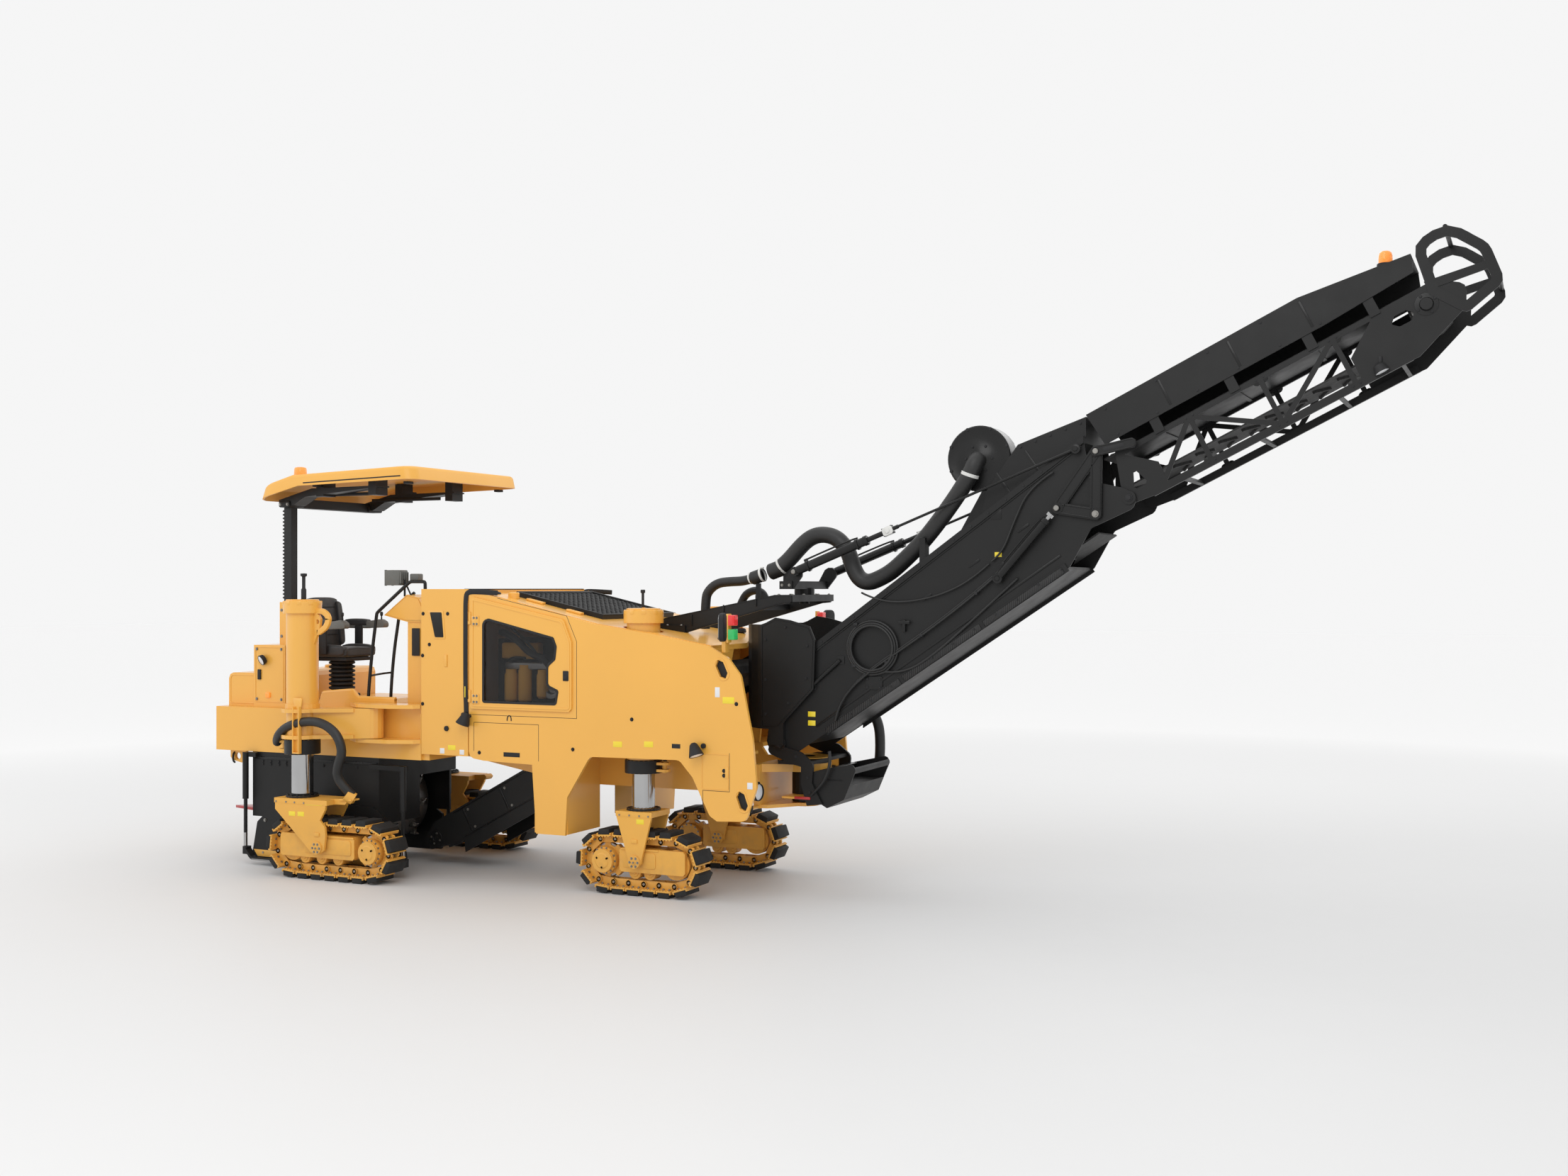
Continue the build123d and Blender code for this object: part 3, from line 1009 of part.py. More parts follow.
# ---------------------------------------------------------------- all pieces
def build_pieces():
    pieces = {
        "main_frame": main_frame(),
        "hood_side_right": hood_side(-1),
        "hood_side_left": hood_side(1),
        "hood_top": hood_top(),
        "air_grille": air_grille(),
        "engine_block": engine_block(),
        "engine_door_right": engine_door(-1),
        "engine_door_left": engine_door(1),
        "door_window_right": door_window(-1),
        "door_window_left": door_window(1),
        "swing_arm": swing_arm(),
        "leg_tube_rear_right": leg_tube_rear_right(),
        "drum_housing": drum_housing(),
        "milling_drum": milling_drum(),
        "moldboard": moldboard(),
        "side_plate_right": side_plate(True),
        "side_plate_left": side_plate(False),
        "collecting_conveyor": collecting_conveyor(),
        "collecting_belt": collecting_belt(),
        "gantry": gantry(),
        "slew_turret": slew_turret(),
        "slew_head": slew_head(),
        "lift_cylinder": lift_cylinder(),
        "lift_rod": lift_rod(),
        "conveyor_lower": conveyor_lower(),
        "belt_lower": belt_lower(),
        "conveyor_upper": conveyor_upper(),
        "belt_upper": belt_upper(),
        "fold_crank": fold_crank(),
        "fold_link": fold_link(),
        "fold_cylinder": fold_cylinder(),
        "fold_rod": fold_rod(),
        "platform_deck": platform_deck(),
        "control_console": control_console(),
        "operator_seat": operator_seat(),
        "handrails": handrails(),
        "rear_cabinet": rear_cabinet(),
        "hose_from_hood": hood_hose(),
        "hose_on_swivel": swivel_hose(),
        "hose_on_conveyor": section_hose(),
        "canopy_mast": canopy_mast(),
        "canopy_roof": canopy_roof(),
        "mirrors_and_lamps": mirrors_and_lamps(),
    }
    for leg in LEGS:
        name, place = leg["name"], leg_place(leg)
        pieces["collar_" + name] = place * steering_collar(leg)
        pieces["leg_" + name] = place * leg_strut(leg)
        pieces["track_frame_" + name] = place * track_frame(leg, math.copysign(1, leg["y"]))
        pieces["track_" + name] = place * track_loop(leg)
    return pieces


def footprint_shift(pieces):
    boxes = [piece.bounding_box() for piece in pieces.values()]
    x = (min(b.min.X for b in boxes) + max(b.max.X for b in boxes)) / 2
    y = (min(b.min.Y for b in boxes) + max(b.max.Y for b in boxes)) / 2
    return Vector(-x, -y, -min(b.min.Z for b in boxes))


def write_pieces():
    pieces = build_pieces()
    shift = footprint_shift(pieces)
    print("shift", [round(value, 3) for value in shift])
    os.makedirs("parts", exist_ok=True)
    for name, piece in pieces.items():
        export_step(Pos(shift) * piece, os.path.join("parts", name + ".step"))


if __name__ == "__main__":
    write_pieces()
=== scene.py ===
import math

import bmesh
import bpy
from mathutils import Matrix, Vector


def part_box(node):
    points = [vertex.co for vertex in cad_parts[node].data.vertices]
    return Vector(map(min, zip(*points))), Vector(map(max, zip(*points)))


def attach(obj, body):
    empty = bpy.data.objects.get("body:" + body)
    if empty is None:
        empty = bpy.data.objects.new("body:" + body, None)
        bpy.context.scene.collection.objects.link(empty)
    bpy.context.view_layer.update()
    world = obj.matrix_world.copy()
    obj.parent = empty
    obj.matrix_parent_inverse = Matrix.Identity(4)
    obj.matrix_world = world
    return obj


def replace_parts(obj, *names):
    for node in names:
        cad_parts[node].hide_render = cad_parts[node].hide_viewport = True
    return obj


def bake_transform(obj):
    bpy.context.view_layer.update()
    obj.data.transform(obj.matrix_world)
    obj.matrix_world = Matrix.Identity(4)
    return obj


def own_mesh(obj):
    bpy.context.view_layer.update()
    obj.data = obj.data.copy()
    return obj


bl_info = {
    "name": "Cold planer dressing",
    "version": (1, 0, 0),
    "blender": (4, 5, 0),
    "location": "3D View > Sidebar > Cold planer",
    "description": "Treads, bolts, trim, hoses and finishes over the planer's solids",
    "category": "Object",
}

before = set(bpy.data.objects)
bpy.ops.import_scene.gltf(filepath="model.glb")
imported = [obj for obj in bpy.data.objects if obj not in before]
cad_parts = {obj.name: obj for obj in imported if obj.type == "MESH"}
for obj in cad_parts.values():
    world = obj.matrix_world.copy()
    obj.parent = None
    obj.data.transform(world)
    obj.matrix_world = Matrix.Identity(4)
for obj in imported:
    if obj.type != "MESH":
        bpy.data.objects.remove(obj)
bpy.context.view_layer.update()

# ---------------------------------------------------------------- sizes, in metres from the machine's own zero
SIDES = ((-1, "right"), (1, "left"))
COLLAR_R = 0.165
LEG_COLUMNS = ("name", "x", "y", "hub", "sprocket", "idler", "cap_top", "collar_low", "collar_high")
LEG_ROWS = [
    ("front_right", 0.0, -0.79, 0.0, -0.35, 0.36, 2.528, 1.075, 1.19),
    ("front_left", 0.0, 0.79, 0.0, -0.35, 0.36, 2.528, 1.075, 1.19),
    ("rear_right", -3.36, -1.34, 0.31, 0.86, -0.06, 2.6, 1.15, 1.285),
    ("rear_left", -3.36, 0.85, 0.31, 0.86, -0.06, 2.6, 1.15, 1.285),
]
LEGS = [dict(zip(LEG_COLUMNS, row)) for row in LEG_ROWS]
TRACK_R, PITCH_R, SHOE_PITCH = 0.288, 0.19, 0.156
PLATE_OUT, PAD_OUT, LINK_HALF = 0.048, 0.098, 0.04
BODY_HALF, DOOR_THICK, SIDE_HALF = 1.0, 0.018, 0.4
SLEW_X = 1.2
LOWER = (1.24, 1.56, math.degrees(math.atan2(1.785, 2.75)))
FOLD_PIVOT, UPPER_ANGLE = (4.213, 3.418), 26.7
HEAD_U, HEAD_W, HEAD_R = 2.593, 0.243, 0.15
LIFT_TAIL, LIFT_HEAD = (-2.56, 0.27), (0.585, 1.961)
STRUT_BASE, STRUT_JOINT, STRUT_END = (1.3, 2.84), (2.16, 3.18), (3.79, 3.82)
CRANK_PIVOT, CRANK_TOP, CRANK_REAR = (3.95, 3.293), (3.956, 3.793), (3.636, 3.345)
LINK_END, FOLD_BASE = (4.241, 3.85), (3.141, 2.779)
FAN = (2.93, -0.29, 3.78)
ROOF_LINE = [(-2.25, 2.69), (-1.5, 2.64), (-0.36, 2.385), (0.218, 2.305), (0.76, 2.21)]
DRUM = (-3.4, 0.575)
HOSE_Y, HOSE_R, THIN_HOSE_R = -0.2, 0.072, 0.043


def machine_zero():
    """The ground point below the middle of the front legs, from which the lengths are taken."""
    right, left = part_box("collar_front_right"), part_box("collar_front_left")
    return Vector((right[0].x + COLLAR_R, (right[0].y + left[1].y) / 2, 0))


ZERO = machine_zero()


def lay(x, z, degrees=0.0, y=0.0):
    """A place whose X axis rises by an angle from the machine's X axis."""
    return Matrix.Translation((x, y, z)) @ Matrix.Rotation(-math.radians(degrees), 4, "Y")


def aim(start, end):
    """A place at start whose Z axis points to end."""
    way = Vector(end) - Vector(start)
    return Matrix.Translation(start) @ way.to_track_quat("Z", "Y").to_matrix().to_4x4()


def shift(x, y, z):
    return Matrix.Translation((x, y, z))


def spin(degrees, axis):
    return Matrix.Rotation(math.radians(degrees), 4, axis)


def round_bar(place, x, y, z):
    """A place inside another whose Z axis runs along the other's X axis."""
    return place @ shift(x, y, z) @ spin(90, "Y")


def facing(side, x, y, z):
    """A place whose Z axis points to the left (side 1) or to the right (side -1)."""
    return aim((x, y, z), (x, y + side, z))


def stretch_of(start, end):
    """A place at start whose X axis runs to end, both in the XZ plane, and the distance."""
    across, up = end[0] - start[0], end[1] - start[1]
    return lay(start[0], start[1], math.degrees(math.atan2(up, across))), math.hypot(across, up)


# ---------------------------------------------------------------- materials
class Number:
    """One value of a material's nodes; sums and products of it add Math nodes."""

    def __init__(self, finish, socket):
        self.finish, self.socket = finish, socket

    def _math(self, operation, first, second):
        node = self.finish.add("ShaderNodeMath", {"operation": operation}, {0: first, 1: second})
        return Number(self.finish, node.outputs[0])

    def __add__(self, other):
        return self._math("ADD", self, other)

    def __sub__(self, other):
        return self._math("SUBTRACT", self, other)

    def __rsub__(self, other):
        return self._math("SUBTRACT", other, self)

    def __mul__(self, other):
        return self._math("MULTIPLY", self, other)

    __radd__ = __add__
    __rmul__ = __mul__

    def power(self, other):
        return self._math("POWER", self, other)


class Finish:
    """A material whose nodes are added one call at a time."""

    def __init__(self, name):
        self.material = bpy.data.materials.new(name)
        self.material.use_nodes = True
        self.tree = self.material.node_tree
        self.shader = self.tree.nodes["Principled BSDF"]
        self.where = self.add("ShaderNodeTexCoord").outputs["Object"]

    def add(self, kind, settings=None, sockets=None):
        node = self.tree.nodes.new(kind)
        for key, value in (settings or {}).items():
            setattr(node, key, value)
        for key, value in (sockets or {}).items():
            self.join(value, node.inputs[key])
        return node

    def join(self, value, socket):
        value = value.socket if isinstance(value, Number) else value
        if isinstance(value, bpy.types.NodeSocket):
            self.tree.links.new(value, socket)
        else:
            socket.default_value = value

    def noise(self, scale, detail=2.0, stretch=(1, 1, 1)):
        where = self.add("ShaderNodeMapping", None, {"Vector": self.where, "Scale": stretch}).outputs[0]
        node = self.add("ShaderNodeTexNoise", None, {"Vector": where, "Scale": scale, "Detail": detail})
        return Number(self, node.outputs["Fac"])

    def axis(self, name):
        node = self.add("ShaderNodeSeparateXYZ", None, {"Vector": self.where})
        return Number(self, node.outputs[name])

    def wave(self, direction, scale, turn=(0, 0, 0), profile="SIN"):
        where = self.add("ShaderNodeMapping", None, {"Vector": self.where, "Rotation": turn}).outputs[0]
        settings = {"wave_type": "BANDS", "bands_direction": direction, "wave_profile": profile}
        return Number(self, self.add("ShaderNodeTexWave", settings, {"Vector": where,
            "Scale": scale}).outputs["Fac"])

    def mix(self, factor, first, second):
        settings = {"data_type": "RGBA"}
        node = self.add("ShaderNodeMix", settings, {"Factor": factor, 6: first, 7: second})
        return node.outputs[2]

    def bump(self, height, strength, distance):
        node = self.add("ShaderNodeBump", None, {"Height": height, "Strength": strength, "Distance": distance})
        self.join(node.outputs["Normal"], self.shader.inputs["Normal"])

    def surface(self, **sockets):
        for name, value in sockets.items():
            self.join(value, self.shader.inputs[name.replace("_", " ")])
        return self.material


def rgba(colour, tint=1.0):
    return tuple(min(1.0, channel * tint) for channel in colour[:3]) + (1.0,)


def gloss_paint(name, colour, rough=0.34, coat=0.35):
    """Sprayed enamel: a little cloudy in tone, with fine orange peel."""
    f = Finish(name)
    cloud = f.noise(0.9, 3.0)
    f.bump(f.noise(420.0, 1.0) + f.noise(35.0, 1.0) * 0.4, 0.05, 0.002)
    base = f.mix(cloud, rgba(colour, 0.93), rgba(colour, 1.05))
    return f.surface(Base_Color=base, Roughness=f.noise(6.0, 3.0) * 0.12 + (rough - 0.06), Coat_Weight=coat,
        Coat_Roughness=0.12)


def powder_coat(name, colour, rough=0.45):
    """Black powder coat with a fine grain."""
    f = Finish(name)
    base = f.mix(f.noise(2.2, 4.0), rgba(colour, 0.75), rgba(colour, 1.35))
    f.bump(f.noise(600.0, 2.0), 0.12, 0.001)
    return f.surface(Base_Color=base, Roughness=f.noise(7.0, 3.0) * 0.2 + (rough - 0.1), Specular_IOR_Level=0.3)


def track_paint(name, colour):
    """Enamel on castings, duller, blotched darker brown towards the bottom."""
    f = Finish(name)
    # The mask named dust here darkens the enamel towards brown in blotches that grow towards the bottom.
    dust = f.noise(11.0, 5.0).power(3.0) * (1.0 - f.axis("Z") * 1.6)
    base = f.mix(dust, f.mix(f.noise(3.0, 3.0), rgba(colour, 0.86), rgba(colour, 1.02)), (0.2, 0.15, 0.1, 1.0))
    f.bump(f.noise(140.0, 3.0), 0.16, 0.002)
    return f.surface(Base_Color=base, Roughness=f.noise(14.0, 3.0) * 0.25 + 0.34)


def rubber(name, colour, rough=0.72):
    f = Finish(name)
    base = f.mix(f.noise(9.0, 4.0), rgba(colour, 0.8), rgba(colour, 1.5))
    f.bump(f.noise(260.0, 3.0), 0.2, 0.001)
    return f.surface(Base_Color=base, Roughness=f.noise(24.0, 2.0) * 0.18 + (rough - 0.09))


def belt_rubber(name, colour):
    """Conveyor belting: rubber scuffed pale along its run."""
    f = Finish(name)
    scuff = f.noise(16.0, 4.0, (1.0, 6.0, 1.0)).power(4.0)
    base = f.mix(scuff, rgba(colour, 1.0), rgba((0.16, 0.155, 0.15)))
    f.bump(f.noise(180.0, 2.0), 0.25, 0.001)
    return f.surface(Base_Color=base, Roughness=f.noise(20.0, 2.0) * 0.2 + 0.6)


def steel(name, colour, rough, scratch=0.12):
    f = Finish(name)
    base = f.mix(f.noise(5.0, 3.0), rgba(colour, 0.88), rgba(colour, 1.06))
    f.bump(f.noise(300.0, 2.0, (1.0, 1.0, 0.05)), scratch, 0.0005)
    return f.surface(Base_Color=base, Metallic=1.0, Roughness=f.noise(18.0, 2.0) * 0.1 + (rough - 0.05))


def glass(name, colour, alpha, rough=0.04):
    f = Finish(name)
    base = f.mix(f.noise(1.4, 2.0), rgba(colour, 0.8), rgba(colour, 1.2))
    return f.surface(Base_Color=base, Roughness=f.noise(3.0, 2.0) * 0.04 + rough, Alpha=alpha, IOR=1.5)


def lens(name, colour, glow):
    """Moulded lamp lens with prism ribs."""
    f = Finish(name)
    rib = f.wave("Z", 90.0)
    f.bump(rib, 0.5, 0.003)
    base = f.mix(rib, rgba(colour, 0.7), rgba(colour, 1.2))
    return f.surface(Base_Color=base, Roughness=f.noise(8.0, 2.0) * 0.08 + 0.1, Emission_Color=base,
        Emission_Strength=glow, Coat_Weight=0.6)


def leather(name, colour):
    """Grained seat cover."""
    f = Finish(name)
    f.bump(f.noise(170.0, 4.0) + f.noise(60.0, 2.0) * 0.5, 0.35, 0.002)
    base = f.mix(f.noise(7.0, 3.0), rgba(colour, 0.8), rgba(colour, 1.3))
    return f.surface(Base_Color=base, Roughness=f.noise(30.0, 2.0) * 0.2 + 0.45, Sheen_Weight=0.15)


def tread_paint(name, colour):
    """Painted deck plate with raised diamonds."""
    f = Finish(name)
    bars = f.wave("X", 9.0, (0, 0, math.radians(45))).power(6.0) + f.wave("X", 9.0, (0, 0,
        -math.radians(45))).power(6.0)
    f.bump(bars, 0.6, 0.003)
    base = f.mix(f.noise(4.0, 4.0), rgba(colour, 0.8), rgba(colour, 1.05))
    return f.surface(Base_Color=base, Roughness=f.noise(12.0, 3.0) * 0.2 + 0.38)


def mesh_weave(name, colour):
    """Expanded metal seen from a distance: raised strands, with the openings between them painted near-black as
    shade.
    """
    f = Finish(name)
    one = f.wave("X", 22.0, (0, 0, math.radians(35)))
    two = f.wave("X", 22.0, (0, 0, -math.radians(35)))
    strands = (one.power(5.0) + two.power(5.0)) * 0.7
    f.bump(strands, 0.8, 0.006)
    # Painted shade: the openings between the strands get near-black; the strands get seven times the black's
    # tone.
    base = f.mix(strands, (0.002, 0.002, 0.002, 1.0), rgba(colour, 7.0))
    return f.surface(Base_Color=base, Roughness=f.noise(9.0, 2.0) * 0.15 + 0.4)


def floor_with_painted_shade(name, colour):
    """Studio floor with painted shade: darker near the machine, fading to white with the distance from it."""
    f = Finish(name)
    x, y = f.axis("X"), f.axis("Y")
    shade_falloff = ((x * x + y * y) * (1 / 330.0)).power(0.8)
    # Painted shade: near the machine the floor's colour is darkened to 0.68 of itself, rising to white far away.
    base = f.mix(shade_falloff + f.noise(0.4, 2.0) * 0.02, rgba(colour, 0.68), (1.0, 1.0, 1.0, 1.0))
    return f.surface(Base_Color=base, Roughness=f.noise(3.0, 2.0) * 0.1 + 0.55)


FINISHES = {
    "yellow_enamel": (gloss_paint, "yellow_paint", "yellow", ()),
    "yellow_casting": (track_paint, "track_steel", "yellow", ()),
    "yellow_deck": (tread_paint, "yellow_paint", "yellow", ()),
    "canopy_shell": (gloss_paint, "canopy_shell", "canopy", (0.46, 0.1)),
    "black_powder": (powder_coat, "black_paint", "black", ()),
    "black_gloss": (powder_coat, "black_paint", "black", (0.28,)),
    "black_plastic": (powder_coat, "black_plastic", "plastic", (0.6,)),
    "grey_plastic": (powder_coat, "black_plastic", "lamp_grey", (0.5,)),
    # black_mesh paints the openings of expanded metal near-black as shade.
    "black_mesh": (mesh_weave, "black_paint", "black", ()),
    "hose_rubber": (rubber, "belt_rubber", "rubber", (0.5,)),
    "pad_rubber": (rubber, "belt_rubber", "rubber", (0.8,)),
    "belting": (belt_rubber, "belt_rubber", "rubber", ()),
    "bare_steel": (steel, "bare_steel", "steel", (0.38, 0.2)),
    "bolt_steel": (steel, "bare_steel", "bolt", (0.45, 0.1)),
    "chromed_rod": (steel, "chromed_rod", "chrome", (0.14, 0.02)),
    "silver_paint": (powder_coat, "bare_steel", "silver", (0.35,)),
    "dark_glass": (glass, "window_glass", "glass", (0.38,)),
    "mirror_glass": (steel, "chromed_rod", "chrome", (0.08, 0.0)),
    "clear_lens": (lens, "window_glass", "clear", (0.15,)),
    "amber_lens": (lens, "window_glass", "amber", (0.6,)),
    "red_lens": (lens, "window_glass", "red", (0.45,)),
    "green_lens": (lens, "window_glass", "green", (0.45,)),
    "red_paint": (gloss_paint, "black_plastic", "red_paint", ()),
    "seat_leather": (leather, "seat_cover", "plastic", ()),
    "label_yellow": (gloss_paint, "black_plastic", "label", ()),
    "label_white": (gloss_paint, "black_plastic", "clear", ()),
    "studio_floor": (floor_with_painted_shade, "black_plastic", "floor", ()),
}


def colour_of(key):
    return tuple(getattr(bpy.context.scene.planer_colours, key))


def finish(name):
    """The material of a finish, made the first time it is asked for."""
    title = "planer_" + name
    found = bpy.data.materials.get(title)
    if found:
        return found
    maker, _, key, extras = FINISHES[name]
    return maker(title, colour_of(key), *extras)


# ---------------------------------------------------------------- shapes
def soften(bm, edge, steps=2, least=25):
    """Rounds the edges that turn by more than an angle."""
    if edge > 0:
        sharp = [e for e in bm.edges if len(e.link_faces) == 2 and e.calc_face_angle(0) > math.radians(least)]
        bmesh.ops.bevel(bm, geom=sharp, offset=edge, offset_type="OFFSET", segments=steps, profile=0.5,
            affect="EDGES", material=-1, clamp_overlap=True)
    return bm


def box(low, high, edge=0.004, steps=2):
    bm = bmesh.new()
    bmesh.ops.create_cube(bm, size=1.0)
    low, high = Vector(low), Vector(high)
    bmesh.ops.scale(bm, vec=high - low, verts=bm.verts)
    bmesh.ops.translate(bm, vec=(low + high) / 2, verts=bm.verts)
    return soften(bm, edge, steps)


def turned(profile, steps=32):
    """A shape turned about Z. profile is (radius, height) from one end to the other."""
    bm = bmesh.new()
    verts = [bm.verts.new((radius, 0, height)) for radius, height in profile]
    edges = [bm.edges.new(pair) for pair in zip(verts, verts[1:])]
    bmesh.ops.spin(bm, geom=verts + edges, cent=(0, 0, 0), axis=(0, 0, 1), angle=2 * math.pi, steps=steps,
        use_merge=True)
    bmesh.ops.remove_doubles(bm, verts=bm.verts, dist=1e-5)
    bmesh.ops.recalc_face_normals(bm, faces=bm.faces)
    return bm


def drum(radius, length, edge=0.003, steps=32):
    """A closed round bar along Z with softened rims."""
    return turned([(0, 0), (radius - edge, 0), (radius, edge), (radius, length - edge), (radius - edge, length),
        (0, length)], steps)


def ring(outer, inner, length, edge=0.002, steps=32):
    profile = [(inner, edge), (inner + edge, 0), (outer - edge, 0), (outer, edge), (outer, length - edge),
        (outer - edge, length), (inner + edge, length), (inner, length - edge), (inner, edge)]
    return turned(profile, steps)


def oblong(x0, z0, x1, z1, *cut):
    """The outline of a rectangle in X and Z, each corner cut alike."""
    return [(x0, z0, *cut), (x1, z0, *cut), (x1, z1, *cut), (x0, z1, *cut)]


def trace(bm, points, y):
    """One face from an outline in X and Z. A point's third value is how far its corner is cut."""
    verts = [bm.verts.new((p[0], y, p[1])) for p in points]
    bm.faces.new(verts)
    for vert, point in zip(verts, points):
        if len(point) > 2:
            bmesh.ops.bevel(bm, geom=[vert], offset=point[2], offset_type="OFFSET", segments=4, profile=0.5,
                affect="VERTICES", material=-1, clamp_overlap=True)


def draw_out(bm, way):
    """Draws every face out along a vector, to a closed shape."""
    made = bmesh.ops.extrude_face_region(bm, geom=list(bm.faces))["geom"]
    bmesh.ops.translate(bm, vec=way, verts=[g for g in made if isinstance(g, bmesh.types.BMVert)])
    bmesh.ops.recalc_face_normals(bm, faces=bm.faces)
    return bm


def plate(points, y0, y1, edge=0.003):
    """A flat piece between two values of Y, from its outline in X and Z."""
    bm = bmesh.new()
    trace(bm, points, y0)
    return soften(draw_out(bm, (0, y1 - y0, 0)), edge)


def rim(points, y0, y1, width, edge=0.002):
    """A raised frame that follows an outline, as a gasket or a bead."""
    bm = bmesh.new()
    trace(bm, points, y0)
    band = set(bmesh.ops.inset_region(bm, faces=list(bm.faces), thickness=width, use_boundary=True,
        use_even_offset=True)["faces"])
    bmesh.ops.delete(bm, geom=[f for f in bm.faces if f not in band], context="FACES")
    return soften(draw_out(bm, (0, y1 - y0, 0)), edge)


def bolt(radius=0.009, height=0.007, washer=True):
    """A hexagon head on its washer, standing on Z."""
    bm = bmesh.new()
    bmesh.ops.create_cone(bm, cap_ends=True, segments=6, radius1=radius, radius2=radius * 0.94, depth=height)
    bmesh.ops.translate(bm, vec=(0, 0, height / 2 + radius * 0.2), verts=bm.verts)
    if washer:
        under = bmesh.ops.create_cone(bm, cap_ends=True, segments=12, radius1=radius * 1.5,
            radius2=radius * 1.4, depth=radius * 0.25)["verts"]
        bmesh.ops.translate(bm, vec=(0, 0, radius * 0.12), verts=under)
    return bm


def spline(points, radius, ring_steps=3, order=3, steps=6):
    """A round tube whose line is a smooth curve with the points as its control points."""
    curve = bpy.data.curves.new("line", "CURVE")
    curve.dimensions = "3D"
    curve.bevel_depth = radius
    curve.bevel_resolution = ring_steps
    curve.use_fill_caps = True
    line = curve.splines.new("NURBS")
    line.points.add(len(points) - 1)
    for point, co in zip(line.points, points):
        point.co = (*co, 1.0)
    line.order_u = order
    line.use_endpoint_u = True
    line.resolution_u = steps
    holder = bpy.data.objects.new("line", curve)
    mesh = bpy.data.meshes.new_from_object(holder)
    bpy.data.objects.remove(holder)
    bpy.data.curves.remove(curve)
    bm = bmesh.new()
    bm.from_mesh(mesh)
    bpy.data.meshes.remove(mesh)
    return bm


class Piece:
    """Gathers the parts of one piece in the machine's metres, and lets it ride on a body."""
    waiting = []

    def __init__(self, name, finish_name, body="chassis"):
        self.name, self.finish_name, self.body = name, finish_name, body
        self.bm = bmesh.new()
        self.waiting.append(self)

    def add(self, part, *places):
        """Adds a part once, or once at each place, and frees it."""
        mesh = bpy.data.meshes.new("part")
        part.to_mesh(mesh)
        part.free()
        for place in places or (Matrix.Identity(4),):
            copy = mesh.copy()
            copy.transform(place)
            self.bm.from_mesh(copy)
            bpy.data.meshes.remove(copy)
        bpy.data.meshes.remove(mesh)
        return self

    def box(self, low, high, edge=0.004, steps=2):
        return self.add(box([min(pair) for pair in zip(low, high)], [max(pair) for pair in zip(low, high)],
            edge, steps))

    def rod(self, start, end, radius, edge=0.002, steps=28):
        return self.add(drum(radius, (Vector(end) - Vector(start)).length, edge, steps), aim(start, end))

    def tube(self, start, end, outer, inner, steps=32):
        return self.add(ring(outer, inner, (Vector(end) - Vector(start)).length, 0.002, steps), aim(start, end))

    def pipe(self, points, radius, order=3, steps=6, ring_steps=3):
        return self.add(spline(points, radius, ring_steps, order, steps))

    def bolts(self, points, way, radius=0.009, height=0.007, washer=True):
        places = [aim(point, Vector(point) + Vector(way)) for point in points]
        return self.add(bolt(radius, height, washer), *places)

    def turn(self, profile, steps, *places):
        return self.add(turned(profile, steps), *places)

    def put(self, angle=32.0):
        """Makes the object. Its edges that turn by more than the angle stay sharp."""
        self.waiting.remove(self)
        mesh = bpy.data.meshes.new(self.name)
        self.bm.to_mesh(mesh)
        self.bm.free()
        mesh.transform(Matrix.Translation(ZERO))
        mesh.polygons.foreach_set("use_smooth", [True] * len(mesh.polygons))
        mesh.set_sharp_from_angle(angle=math.radians(angle))
        mesh.materials.append(finish(self.finish_name))
        obj = bpy.data.objects.new(self.name, mesh)
        bpy.context.scene.collection.objects.link(obj)
        if self.body:
            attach(obj, self.body)
        return obj


def done():
    """Makes the objects of the pieces that are left, and closes an operator."""
    while Piece.waiting:
        Piece.waiting[0].put()
    return {"FINISHED"}


def around(centre, radius, count, start=0.0):
    """Points on a circle in the XZ plane about a centre (x, y, z)."""
    turns = [math.radians(start) + 2 * math.pi * index / count for index in range(count)]
    return [(centre[0] + radius * math.cos(a), centre[1], centre[2] + radius * math.sin(a)) for a in turns]


def along(start, end, count):
    """Evenly spaced points from start to end, both included."""
    start, end = Vector(start), Vector(end)
    return [start.lerp(end, index / (count - 1)) for index in range(count)]


# ---------------------------------------------------------------- what a user would change
def colour(name, description, *rgb):
    return bpy.props.FloatVectorProperty(name=name, description=description, default=(*rgb, 1.0), size=4,
        min=0.0, max=1.0, subtype="COLOR")


class PlanerColours(bpy.types.PropertyGroup):
    yellow: colour("Enamel", "the machine's enamel", 0.83, 0.43, 0.072)
    canopy: colour("Canopy", "the canopy's shell", 0.8, 0.41, 0.065)
    black: colour("Black steel", "the conveyor and the milling box", 0.01, 0.01, 0.01)
    plastic: colour("Plastic", "trim and the seat", 0.018, 0.018, 0.019)
    rubber: colour("Rubber", "hoses, belts and pads", 0.011, 0.011, 0.011)
    steel: colour("Steel", "bare steel", 0.42, 0.41, 0.4)
    bolt: colour("Bolts", "plated bolts", 0.3, 0.29, 0.27)
    chrome: colour("Chrome", "the chromed rods", 0.46, 0.46, 0.46)
    silver: colour("Clevis", "the bright clevises and clamps", 0.62, 0.62, 0.6)
    lamp_grey: colour("Lamp housings", "the lamps' housings", 0.13, 0.13, 0.12)
    glass: colour("Glass", "Tint of the door windows", 0.012, 0.013, 0.014)
    clear: colour("Clear lens", "headlight lenses", 0.75, 0.76, 0.78)
    amber: colour("Beacon", "the beacons", 0.95, 0.26, 0.03)
    red: colour("Red lamp", "red lamps", 0.65, 0.02, 0.02)
    green: colour("Green lamp", "the green lamp", 0.02, 0.42, 0.1)
    red_paint: colour("Red bars", "the red push bars", 0.42, 0.02, 0.02)
    label: colour("Labels", "the blank labels", 0.85, 0.66, 0.03)
    floor: colour("Floor", "the studio floor", 0.93, 0.93, 0.93)


